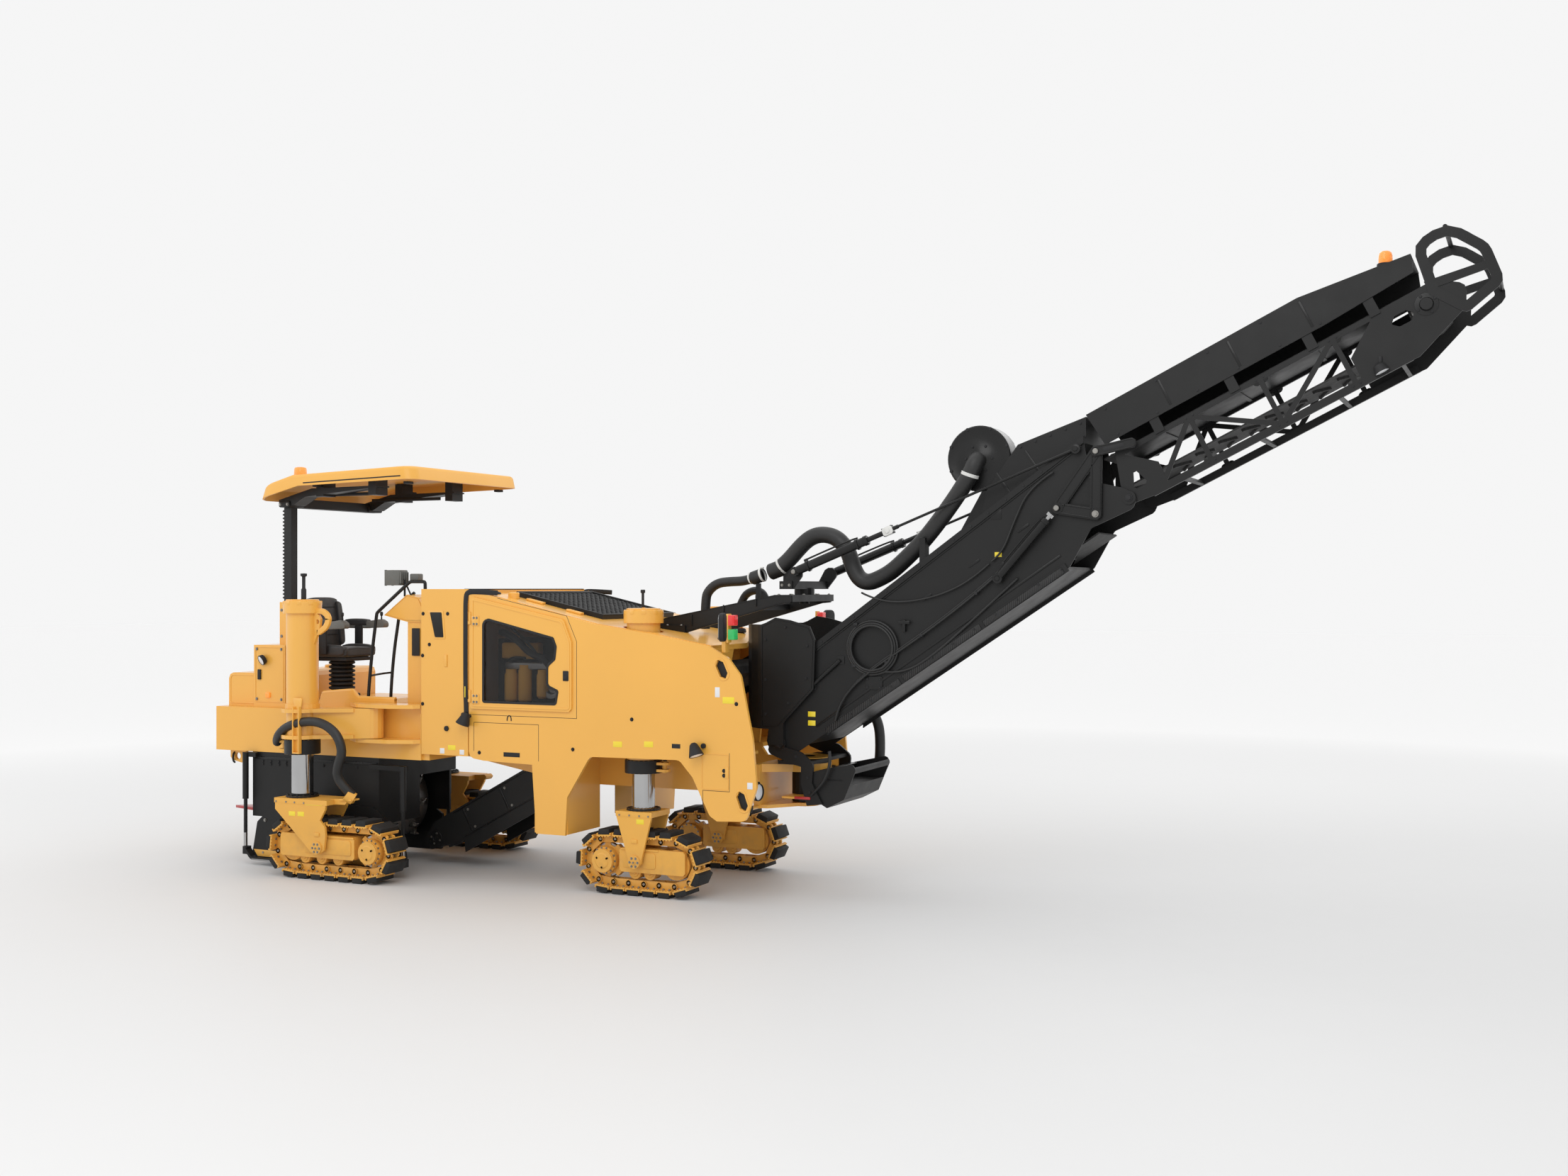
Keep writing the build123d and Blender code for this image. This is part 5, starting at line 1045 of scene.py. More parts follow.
class PLANER_OT_grille(bpy.types.Operator):
    """Louvres and mesh over the cooler, and the small pieces on the roof"""
    bl_idname = "planer.grille"
    bl_label = "Roof grille"

    def execute(self, context):
        (x0, z0), (x1, z1) = ROOF_LINE[1], ROOF_LINE[2]
        slope = math.degrees(math.atan2(z1 - z0, x1 - x0))
        place = lay(-0.97, z0 + (z1 - z0) * (-0.97 - x0) / (x1 - x0), slope)
        mesh = Piece("cooler_mesh", "black_powder")
        for index in range(17):
            u = -0.42 + index * 0.0525
            turn = shift(u, 0, 0.02) @ spin(38, "Y")
            mesh.add(box((-0.022, -0.635, -0.002), (0.022, 0.635, 0.002), 0.001, 1), place @ turn)
        for index in range(15):
            y = -0.56 + index * 0.08
            mesh.add(box((-0.462, y - 0.004, 0.024), (0.462, y + 0.004, 0.034), 0.001, 1), place)
        for y in (-0.645, 0.645):
            mesh.add(box((-0.475, y - 0.012, 0.03), (0.475, y + 0.012, 0.046), 0.004), place)
        for u in (-0.468, 0.468):
            mesh.add(box((u - 0.012, -0.655, 0.03), (u + 0.012, 0.655, 0.046), 0.004), place)
        floor = Piece("cooler_core", "black_mesh")
        floor.add(box((-0.455, -0.632, -0.07), (0.455, 0.632, -0.055), 0.002, 1), place)
        hinges = Piece("roof_hinges", "yellow_enamel")
        for y in (-0.72, 0.72):
            hinges.add(box((-0.3, y - 0.03, 0.0), (-0.12, y + 0.03, 0.022), 0.006), place)
            hinges.add(box((0.14, y - 0.03, 0.0), (0.3, y + 0.03, 0.022), 0.006), place)
        hinges.turn([(0.05, 0), (0.052, 0.05), (0.046, 0.06), (0, 0.062)], 24, shift(-1.36, -0.8, 2.6))
        caps = Piece("roof_caps", "black_plastic")
        for x, y, z in ((-0.23, -0.44, 2.352), (0.35, 0.4, 2.28)):
            caps.turn([(0.06, 0), (0.066, 0.012), (0.06, 0.035), (0.048, 0.042), (0, 0.044)], 24,
                shift(x, y, z))
        caps.rod((-0.105, -0.62, 2.35), (-0.105, -0.62, 2.665), 0.012)
        caps.rod((-0.105, -0.62, 2.655), (-0.105, -0.62, 2.685), 0.021, 0.004)
        caps.box((-0.135, -0.65, 2.34), (-0.075, -0.59, 2.44), 0.006)
        return done()


# ---------------------------------------------------------------- dust hose
HOOD_HOSE = [(0.304, 2.33), (0.304, 2.6), (0.34, 2.68), (0.43, 2.745), (0.56, 2.758), (0.7, 2.762),
    (0.78, 2.785)]
SWIVEL_HOSE = [(1.04, 2.87), (1.12, 2.925), (1.27, 3.085), (1.37, 3.155), (1.48, 3.172), (1.6, 3.14),
    (1.69, 3.05), (1.73, 2.96)]
SECTION_HOSE = [(2.0, -0.2, 2.78), (2.12, -0.215, 2.84), (2.26, -0.24, 2.95), (2.465, -0.29, 3.125),
    (2.72, -0.345, 3.42), (2.88, -0.375, 3.64), (2.925, -0.375, 3.745), (2.93, -0.3303, 3.77)]


class PLANER_OT_hoses(bpy.types.Operator):
    """The dust hose from the hood over the swivel to the fan, with its clamps"""
    bl_idname = "planer.hoses"
    bl_label = "Dust hose"

    def execute(self, context):
        thin = Piece("dust_hose_thin", "hose_rubber")
        thin.pipe([(x, HOSE_Y, z) for x, z in HOOD_HOSE], THIN_HOSE_R, steps=10, ring_steps=7)
        thin.turn([(0.045, 0.0), (0.06, 0.02), (0.0605, 0.05), (0.0605, 0.125), (0.056, 0.137)], 32,
            aim((0.765, HOSE_Y, 2.78), (0.92, HOSE_Y, 2.83)))
        thin.pipe([(0.55, -0.02, 2.5), (0.6, -0.02, 2.62), (0.68, -0.04, 2.67), (0.76, -0.05, 2.68),
            (0.83, -0.05, 2.64), (0.85, -0.05, 2.56)], 0.036, steps=8, ring_steps=5)
        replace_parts(thin.put(), "hose_from_hood")
        sag = [(1.76, -0.2, 2.865), (1.815, -0.2, 2.775), (1.9, -0.2, 2.745)]
        loop = Piece("dust_hose_loop", "hose_rubber", None)
        loop.pipe([(x, HOSE_Y, z) for x, z in SWIVEL_HOSE] + sag + SECTION_HOSE, HOSE_R, steps=12, ring_steps=9)
        hose = loop.put()
        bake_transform(hose)
        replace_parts(hose, "hose_on_swivel", "hose_on_conveyor")
        bridge = Piece("dust_hose_joint", "hose_rubber", "slew")
        bridge.turn([(0.0665, 0), (0.0735, 0.01), (0.0735, 0.13)], 36, aim((0.955, HOSE_Y, 2.84),
            (1.05, HOSE_Y, 2.873)))
        for name, finish_name, body, spots in (("hose_clamps_hood", "silver_paint", "chassis",
                (((0.752, HOSE_Y, 2.778), (0.775, HOSE_Y, 2.785), 0.047), ((0.868, HOSE_Y, 2.813),
                (0.888, HOSE_Y, 2.82), 0.063))), ("hose_clamps_swivel", "silver_paint", "slew",
                (((1.062, HOSE_Y, 2.885), (1.08, HOSE_Y, 2.897), 0.0765),)), ("hose_clamps_fan", "silver_paint",
                "lower_section", (((2.872, -0.371, 3.628), (2.882, -0.372, 3.655), 0.0765),)),):
            clamps = Piece(name, finish_name, body)
            for start, end, radius in spots:
                clamps.tube(start, end, radius, radius - 0.004, 36)
                clamps.box((start[0] - 0.01, start[1] - 0.01, start[2] + radius - 0.004),
                    (start[0] + 0.022, start[1] + 0.01, start[2] + radius + 0.012), 0.003)
        return done()


# ---------------------------------------------------------------- front of the machine
class PLANER_OT_front(bpy.types.Operator):
    """Headlights, signal lamps, mirrors, push bar and the lower front plate"""
    bl_idname = "planer.front"
    bl_label = "Front lamps and mirrors"

    def execute(self, context):
        lamps = Piece("headlights", "black_plastic")
        glass_piece = Piece("headlight_lenses", "clear_lens")
        brackets = Piece("front_brackets", "yellow_enamel")
        for side in (-1, 1):
            beam = aim((1.0, side * 0.69, 0.945), (2.0, side * 0.79, 0.945))
            lamps.turn([(0.03, -0.02), (0.058, 0.0), (0.074, 0.05), (0.078, 0.085), (0.072, 0.095),
                (0.068, 0.088)], 32, beam)
            glass_piece.turn([(0, 0.088), (0.04, 0.086), (0.069, 0.08)], 32, beam)
            lamps.box((1.04, side * 0.65, 0.985), (1.075, side * 0.73, 1.03), 0.005)
            brackets.box((0.935, side * 0.64, 0.86), (0.96, side * 0.76, 1.01), 0.005)
            brackets.box((0.93, side * 0.44, 1.245), (0.955, side * 0.9, 1.275), 0.004)
            brackets.box((0.8, side * 0.42, 0.765), (0.955, side * 0.8, 0.79), 0.005)
            brackets.box((0.905, side * 0.9, 2.235), (0.925, side * 0.965, 2.48), 0.003)
        for finish_name, z in (("red_lens", 2.425), ("green_lens", 2.305)):
            signal = Piece("signal_" + finish_name, finish_name)
            for side in (-1, 1):
                signal.box((0.925, side * 0.895, z - 0.045), (0.985, side * 0.975, z + 0.045), 0.008)
        bar = Piece("front_push_bar", "red_paint", "slew")
        bar.box((1.3, -0.44, 0.868), (1.45, -0.425, 0.892), 0.004)
        mirror = Piece("mirror_housings", "black_plastic")
        faces = Piece("mirror_faces", "mirror_glass")
        for side in (-1, 1):
            y = 1.092 if side > 0 else -1.14
            place = shift(0.962, y, 2.37) @ Matrix.Rotation(math.pi / 2 - side * 0.25, 4, "Z")
            mirror.add(plate(oblong(-0.075, -0.12, 0.075, 0.12, 0.05), -0.022, 0.022, 0.012), place)
            faces.add(plate(oblong(-0.064, -0.108, 0.064, 0.108, 0.045), -0.002, 0.002, 0.0005),
                place @ shift(0, 0.0225, 0))
            mirror.pipe([(0.88, side * 0.93, 2.27), (0.885, side * 1.02, 2.28), (0.9, y - side * 0.04, 2.27),
                (0.925, y - side * 0.015, 2.285)], 0.012)
        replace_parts(mirror.put(), "mirrors_and_lamps")
        foot = Piece("mirror_feet", "yellow_enamel")
        for side in (-1, 1):
            foot.box((0.862, side * 0.885, 2.15), (0.898, side * 0.965, 2.29), 0.004)
        return done()


# ---------------------------------------------------------------- discharge conveyor
def cleats(piece, place, tail, head, w, radius, step, half):
    """Chevron cleats along a belt's upper run and lower run."""
    high = sizes().cleat
    rib = box((-0.01, -0.006, -0.002), (0.01, half, high), 0.003, 1)
    arms = spin(-28, "Z") @ Matrix.Scale(-1, 4, (0, 1, 0)), spin(28, "Z")
    places = []
    for index in range(int((head - tail) / step)):
        u = tail + (index + 0.5) * step
        places += [place @ shift(u, 0, w + radius), place @ shift(u, 0, w - radius) @ spin(180, "X")]
    piece.add(rib, *[spot @ arm for spot in places for arm in arms])


class PLANER_OT_belts(bpy.types.Operator):
    """Chevron cleats of the three belts, and the lagging rings of the upper belt's head drum"""
    bl_idname = "planer.belts"
    bl_label = "Belts and rollers"

    def execute(self, context):
        lower = lay(*LOWER)
        upper = lay(*FOLD_PIVOT, UPPER_ANGLE)
        under, long = stretch_of(LIFT_TAIL, LIFT_HEAD)
        for name, body, place, tail, head, w, radius in (("lower", "lower_section", lower, 0.1, 3.05, 0.0,
                0.15), ("upper", "upper_section", upper, 0.0, 2.6, HEAD_W, HEAD_R), ("collecting", "collecting",
                under, 0.0, long, 0.0, 0.095),):
            piece = Piece("belt_cleats_" + name, "belting", body)
            cleats(piece, place, tail, head, w, radius, 0.2, 0.235)
        rollers = Piece("head_drum_lagging", "bare_steel", "upper_section")
        for side in (-1, 1):
            spot = upper @ Vector((HEAD_U, side * 0.301, HEAD_W))
            rollers.turn([(0.03, 0.002), (0.122, 0.002), (0.128, -0.004), (0.128, -0.05)], 36,
                facing(side, *spot))
        return done()


class PLANER_OT_lower_section(bpy.types.Operator):
    """Flanges, bolts, guards, fan, hose coil and brackets of the lower conveyor"""
    bl_idname = "planer.lower_section"
    bl_label = "Lower conveyor"

    def execute(self, context):
        body = "lower_section"
        steel_work = Piece("lower_conveyor_trim", "black_gloss", body)
        bolts = Piece("lower_conveyor_bolts", "black_plastic", body)
        weave = Piece("lower_conveyor_mesh", "black_mesh", body)
        labels = Piece("lower_conveyor_labels", "label_yellow", body)
        for side in (-1, 1):
            y = side * SIDE_HALF
            for start, end, w in (((1.36, 2.052), (3.83, 3.836), 0.022), ((1.5, 1.495), (3.66, 2.955), 0.02)):
                flange, length = stretch_of(start, end)
                steel_work.add(plate(oblong(0, 0, length, w), y - side * 0.002, y + side * 0.008, 0.003),
                    flange)
            bolts.bolts([(p[0], side * 0.4145, p[1]) for p in along((1.64, 1.4995), (3.66, 2.851), 12)],
                (0, side, 0), 0.01, 0.007)
            bolts.bolts([(p[0], side * 0.4205, p[1]) for p in along((1.4, 2.13), (3.5, 3.643), 15)],
                (0, side, 0), 0.009, 0.003, False)
            low, high = Vector((1.61, 1.442)), Vector((3.725, 2.842))
            for start, end in ((0.0, 0.32), (0.335, 0.655), (0.67, 0.985)):
                a, b, lift = low.lerp(high, start), low.lerp(high, end), Vector((-0.03, 0.046))
                band = [tuple(corner) for corner in (a, b, b + lift, a + lift)]
                weave.add(plate(band, side * 0.4135, side * 0.418, 0.0008))
                steel_work.add(rim(band, side * 0.4135, side * 0.42, 0.005, 0.001))
            strip = lay(1.323, 2.02, 37.0)
            steel_work.add(plate(oblong(0, 0, 0.35, 0.034), y, y + side * 0.009, 0.003), strip)
            bolts.bolts([tuple(strip @ Vector((u, y + side * 0.008, 0.017))) for u in (0.03, 0.32)],
                (0, side, 0), 0.009)
            brace = ((1.724, 2.08), (1.458, 1.854))
            steel_work.rod((brace[0][0], y + side * 0.02, brace[0][1]), (brace[1][0], y + side * 0.02,
                brace[1][1]), 0.017)
            for x, z in brace:
                steel_work.add(plate(oblong(x - 0.035, z - 0.035, x + 0.035, z + 0.035, 0.01), y - side * 0.001,
                    y + side * 0.007, 0.002))
            steel_work.add(plate([(1.955, 1.835), (2.11, 1.835), (2.11, 1.95, 0.02), (1.955, 1.95, 0.02)],
                y - side * 0.001, y + side * 0.01, 0.003))
            bolts.bolts([(x, y + side * 0.01, z) for x in (1.975, 2.09) for z in (1.855, 1.925)], (0, side, 0),
                0.009)
            steel_work.box((2.3, y, 2.33), (2.325, y + side * 0.035, 2.43), 0.004)
            steel_work.box((2.265, y + side * 0.024, 2.395), (2.365, y + side * 0.036, 2.425), 0.005)
            for index in range(3):
                x, z = 2.5 + index * 0.42, 2.62 + index * 0.285
                steel_work.add(plate(oblong(x - 0.06, z - 0.012, x + 0.06, z + 0.012, 0.01), y - side * 0.001,
                    y + side * 0.005, 0.002), shift(x, 0, z) @ spin(-33, "Y") @ shift(-x, 0, -z))
            for x, z in ((4.213, 3.418), (3.95, 3.293)):
                bolts.bolts([(x, side * 0.4105, z)], (0, side, 0), 0.022, 0.012)
            labels.box((1.415, y, 1.585), (1.485, y + side * 0.002, 1.63), 0.0008)
            labels.box((1.415, y, 1.508), (1.485, y + side * 0.002, 1.553), 0.0008)
            labels.box((3.1, y, 2.955), (3.16, y + side * 0.002, 2.995), 0.0008)
        for x in (1.62, 1.9, 2.18, 2.46, 2.74):
            z = 2.1975 + (x - 1.5) * (3.905 - 2.215) / (3.846 - 1.5)
            steel_work.add(box((-0.02, -0.385, 0), (0.02, 0.385, 0.022), 0.004), lay(x, z + 0.014, 35.8))
        fx, fy, fz = FAN
        steel_work.turn([(0, 0.006), (0.085, 0.006), (0.095, 0.0), (0.245, 0.0), (0.255, 0.005), (0.268, 0.005),
            (0.2755, -0.003), (0.2755, -0.195), (0.268, -0.2)], 56, facing(-1, fx, fy - 0.004, fz))
        bolts.bolts([(x, fy - 0.008, z) for x, _, z in around((fx, 0, fz), 0.262, 8, 22.5)], (0, -1, 0), 0.011)
        bolts.bolts([(x, fy - 0.004, z) for x, _, z in around((fx, 0, fz), 0.115, 6)], (0, -1, 0), 0.009)
        for u in (0.2, 0.5):
            point = Vector((2.98, -0.3315, 3.37)).lerp(Vector((3.8, -0.3315, 3.955)), u)
            steel_work.add(box((-0.012, -0.004, -0.2), (0.012, 0.002, 0.2), 0.002), lay(point.x + 0.06, point.z,
                35, -0.331))
        bolts.bolts([(p.x, -0.3305, p.z) for p in along((3.3, 0, 3.86), (3.8, 0, 4.035), 5)], (0, -1, 0), 0.009)
        bolts.bolts([(p.x, -0.3305, p.z) for p in along((3.02, 0, 3.34), (3.78, 0, 3.88), 6)], (0, -1, 0),
            0.009)
        steel_work.box((3.06, -0.405, 3.26), (3.16, -0.345, 3.36), 0.01)
        coil = Piece("hose_coil", "hose_rubber", body)
        for index, radius in enumerate((0.232, 0.212, 0.194)):
            turns = [(2.023 + radius * math.cos(math.radians(a)), -0.412 - 0.01 * index - 0.012,
                2.19 + radius * math.sin(math.radians(a))) for a in range(-60, 301, 20)]
            coil.pipe(turns, 0.0105, steps=3, ring_steps=3)
        coil.pipe([(2.139, -0.424, 1.989), (2.3, -0.42, 1.98), (2.55, -0.42, 2.12), (2.9, -0.42, 2.42),
            (3.3, -0.42, 2.78)], 0.0105, steps=4)
        thin = Piece("conveyor_hoses", "hose_rubber", body)
        for y, drop in ((-0.427, 0.0), (-0.441, 0.02)):
            thin.pipe([(1.685, y, 1.56), (1.72, y, 1.72), (1.95, y, 1.98 - drop), (2.45, y, 2.3 - drop),
                (2.95, y, 2.67 - drop), (3.35, y, 3.02 - drop), (3.52, y, 3.22)], 0.009, steps=5)
        thin.pipe([(1.92, -0.412, 2.66), (2.05, -0.424, 2.6), (2.3, -0.424, 2.575), (2.61, -0.424, 2.63),
            (2.9, -0.424, 2.76), (3.06, -0.424, 2.9)], 0.0085, steps=6)
        thin.pipe([(3.08, -0.424, 2.92), (3.17, -0.424, 2.98), (3.27, -0.424, 3.24), (3.4, -0.424, 3.52),
            (3.6, -0.424, 3.64)], 0.0085, steps=6)
        holders = Piece("hose_holders", "black_plastic", body)
        for x, z in ((1.876, 2.39), (2.16, 2.07), (1.86, 2.035)):
            holders.box((x - 0.018, -0.448, z - 0.012), (x + 0.018, -0.4, z + 0.012), 0.003)
        for x, z in ((2.47, 2.312), (2.95, 2.665), (3.34, 3.005)):
            holders.box((x - 0.014, -0.453, z - 0.022), (x + 0.014, -0.4, z + 0.006), 0.003)
        return done()


class PLANER_OT_turret(bpy.types.Operator):
    """Hopper shroud flaps, hinge bolts, nose box and its hoses"""
    bl_idname = "planer.turret"
    bl_label = "Swivel and hopper"

    def execute(self, context):
        work = Piece("turret_trim", "black_gloss", "slew")
        bolts = Piece("turret_bolts", "black_plastic", "slew")
        for side in (-1, 1):
            y = side * 0.452
            edge = [(1.104, 1.492), (1.145, 1.497), (1.47, 1.834), (1.486, 2.246), (1.441, 2.352),
                (1.263, 2.402), (1.128, 2.422), (1.04, 2.38), (1.0, 2.364), (1.0, 1.492)]
            work.add(rim(edge, y - side * 0.001, y + side * 0.004, 0.016, 0.0015))
            bolts.bolts([(x, y + side * 0.004, z) for x, z in ((1.03, 1.6), (1.03, 1.9), (1.03, 2.25),
                (1.43, 2.2), (1.42, 1.92), (1.25, 1.7), (1.22, 2.36))], (0, side, 0), 0.009)
            bolts.bolts([(1.15, side * 0.4305, 1.345)], (0, side, 0), 0.026, 0.014)
            work.add(ring(0.062, 0.03, 0.006, 0.0015, 28), facing(side, 1.15, side * 0.4295, 1.345))
            bolts.bolts([(1.425, side * 0.4305, 1.06), (1.445, side * 0.4305, 0.93), (1.31, side * 0.4305,
                1.235)], (0, side, 0), 0.01)
        work.box((1.5, -0.4, 1.105), (1.56, 0.4, 1.12), 0.003)
        hoses = Piece("turret_hoses", "hose_rubber", "slew")
        for y in (-0.448, -0.47):
            hoses.pipe([(1.64, y, 1.3), (1.655, y, 1.2), (1.6, y, 1.05), (1.52, y, 0.96),
                (1.46, y + 0.03, 0.91)], 0.0095, steps=5)
        hoses.pipe([(1.56, 0.47, 1.56), (1.64, 0.52, 1.58), (1.71, 0.53, 1.45), (1.72, 0.53, 1.22),
            (1.7, 0.52, 1.02), (1.66, 0.48, 0.92), (1.58, 0.4, 0.88), (1.5, 0.3, 0.87)], 0.046, steps=8,
            ring_steps=6)
        plates = Piece("nose_plate", "yellow_enamel", "slew")
        plates.box((1.115, -0.3, 0.85), (1.4, 0.3, 0.868), 0.004)
        plates.turn([(0.2405, 0.01), (0.2405, 0.036), (0.236, 0.0405), (0.1, 0.0405)], 48,
            shift(SLEW_X, 0, 1.16))
        return done()


class PLANER_OT_gantry(bpy.types.Operator):
    """Ribs, pins, cylinders and bright clevises over the gantry"""
    bl_idname = "planer.gantry"
    bl_label = "Gantry and lift cylinders"

    def execute(self, context):
        bolts = Piece("gantry_bolts", "bolt_steel")
        frame_work = Piece("gantry_ribs", "black_gloss")
        for side in (-1, 1):
            bolts.bolts([(x, side * y, 2.3655) for x in (-0.06, 0.06, 0.2) for y in (0.409, 0.461)], (0, 0, 1),
                0.01)
            edge = [(-0.04, 2.375), (0.01, 2.42), (1.12, 2.632), (1.282, 2.632), (1.282, 2.578), (1.175, 2.568),
                (0.21, 2.302)]
            frame_work.add(rim(edge, side * 0.4495, side * 0.4545, 0.014, 0.0015))
            for x in (0.3, 0.62, 0.94):
                z = 2.29 + (x - 0.2) * 0.2755
                frame_work.box((x - 0.005, side * 0.449, z + 0.045), (x + 0.005, side * 0.462, z + 0.145),
                    0.002)
        bolts.bolts([(x, y, 2.6405) for x in (1.135, 1.265) for y in (-0.4, -0.16, 0.16, 0.4)], (0, 0, 1), 0.01)
        head = Piece("swivel_pins", "bolt_steel", "slew")
        for side in (-1, 1):
            x, z = STRUT_BASE
            head.turn([(0, 0.008), (0.016, 0.008), (0.0205, 0.003), (0.0205, -0.02)], 24,
                facing(side, x, side * 0.46, z))
            head.bolts([(SLEW_X + dx, side * 0.4, 2.725) for dx in (-0.035, 0.035)], (0, side, 0), 0.009)
        place, full = stretch_of(STRUT_BASE, STRUT_END)
        joint = math.dist(STRUT_BASE, STRUT_JOINT)
        barrel = Piece("lift_cylinder_sleeves", "black_gloss", "lift_barrel")
        clevis = Piece("lift_clevises", "silver_paint", "lift_piston")
        ties = Piece("lift_ties", "black_gloss", "lift_piston")
        for side in (-1, 1):
            y = side * 0.43
            barrel.turn([(0.0, 0.042), (0.0386, 0.042), (0.0386, joint - 0.225), (0.043, joint - 0.222),
                (0.043, joint - 0.19), (0.038, joint - 0.186), (0.0235, joint - 0.186)], 36,
                round_bar(place, 0, y, 0))
            for u in (0.13, joint - 0.3):
                barrel.add(ring(0.05, 0.0386, 0.022, 0.002, 32), round_bar(place, u, y, 0))
            barrel.add(box((0.12, y - 0.01, 0.04), (0.155, y + 0.01, 0.066), 0.004), place)
            barrel.add(spline([(0.15, y, 0.058), (0.3, y, 0.06), (joint - 0.32, y, 0.058),
                (joint - 0.27, y, 0.05)], 0.008, 2), place)
            clevis.add(plate(oblong(joint - 0.036, -0.036, joint + 0.061, 0.036, 0.02), y - 0.0262, y + 0.0262,
                0.004), place)
            clevis.turn([(0, 0.01), (0.018, 0.01), (0.021, 0.006), (0.021, -0.01)], 24,
                facing(side, *(place @ Vector((joint + 0.012, y + side * 0.0262, 0)))))
            ties.turn([(0.0115, joint + 0.06), (0.0115, full - 0.03)], 20, round_bar(place, 0, side * 0.44, 0))
            ties.turn([(0.016, 0), (0.0175, 0.004), (0.0175, 0.05), (0.013, 0.056)], 6,
                round_bar(place, joint + 0.062, side * 0.44, 0))
            ties.turn([(0, 0.012), (0.018, 0.012), (0.022, 0.006), (0.04, 0.002), (0.0405, -0.008)], 24,
                facing(side, *(place @ Vector((full, side * 0.4515, 0)))))
        return done()


class PLANER_OT_fold(bpy.types.Operator):
    """Cranks, links, pins and cylinders that fold the conveyor"""
    bl_idname = "planer.fold"
    bl_label = "Fold linkage"

    def execute(self, context):
        crank = Piece("crank_ribs", "black_gloss", "crank")
        pins = Piece("crank_pins", "bolt_steel", "crank")
        link = Piece("link_plates", "black_gloss", "link")
        recess = Piece("link_recess", "black_plastic", "link")
        barrel = Piece("fold_barrel_sleeves", "black_gloss", "fold_barrel")
        piston = Piece("fold_rod_sleeves", "chromed_rod", "fold_piston")
        place, length = stretch_of(FOLD_BASE, CRANK_REAR)
        for side in (-1, 1):
            y = side * 0.4335
            corners = [CRANK_PIVOT, CRANK_TOP, CRANK_REAR]
            for start, end in zip(corners, corners[1:] + corners[:1]):
                arm, span = stretch_of(start, end)
                crank.add(rim(oblong(0.02, -0.04, span - 0.02, 0.04, 0.02), y, y + side * 0.006, 0.01, 0.0015),
                    arm)
            for x, z in corners:
                crank.add(ring(0.047, 0.0235, 0.008, 0.002, 28), facing(side, x, y - side * 0.001, z))
            for x, z in (CRANK_TOP, CRANK_REAR):
                pins.turn([(0, 0.004), (0.017, 0.004), (0.0225, 0.0), (0.0225, -0.012)], 24,
                    facing(side, x, side * 0.47, z))
            pins.bolts([(CRANK_PIVOT[0], side * 0.44, CRANK_PIVOT[1])], (0, side, 0), 0.02, 0.01)
            arm, span = stretch_of(CRANK_TOP, LINK_END)
            y2 = side * 0.4555
            link.add(rim(oblong(-0.036, -0.036, span + 0.036, 0.036, 0.034), y2, y2 + side * 0.005, 0.008,
                0.0015), arm)
            recess.add(plate(oblong(0.06, -0.016, span - 0.06, 0.016, 0.015), y2, y2 + side * 0.0015, 0.0005),
                arm)
            y3 = side * 0.458
            barrel.turn([(0.0, 0.046), (0.0336, 0.046), (0.0336, length - 0.158), (0.0375, length - 0.155),
                (0.0375, length - 0.12), (0.034, length - 0.1165), (0.019, length - 0.1165)], 32,
                round_bar(place, 0, y3, 0))
            barrel.add(box((0.1, y3 - 0.008, 0.033), (0.135, y3 + 0.008, 0.056), 0.004), place)
            barrel.add(spline([(0.13, y3, 0.05), (0.26, y3, 0.052), (length - 0.2, y3, 0.05),
                (length - 0.15, y3, 0.042)], 0.007, 2), place)
            barrel.add(ring(0.0425, 0.0215, 0.024, 0.002, 28), facing(side, FOLD_BASE[0], side * 0.446,
                FOLD_BASE[1]))
            piston.turn([(0.0183, length - 0.116), (0.0183, length - 0.09)], 28, round_bar(place, 0, y3, 0))
        return done()


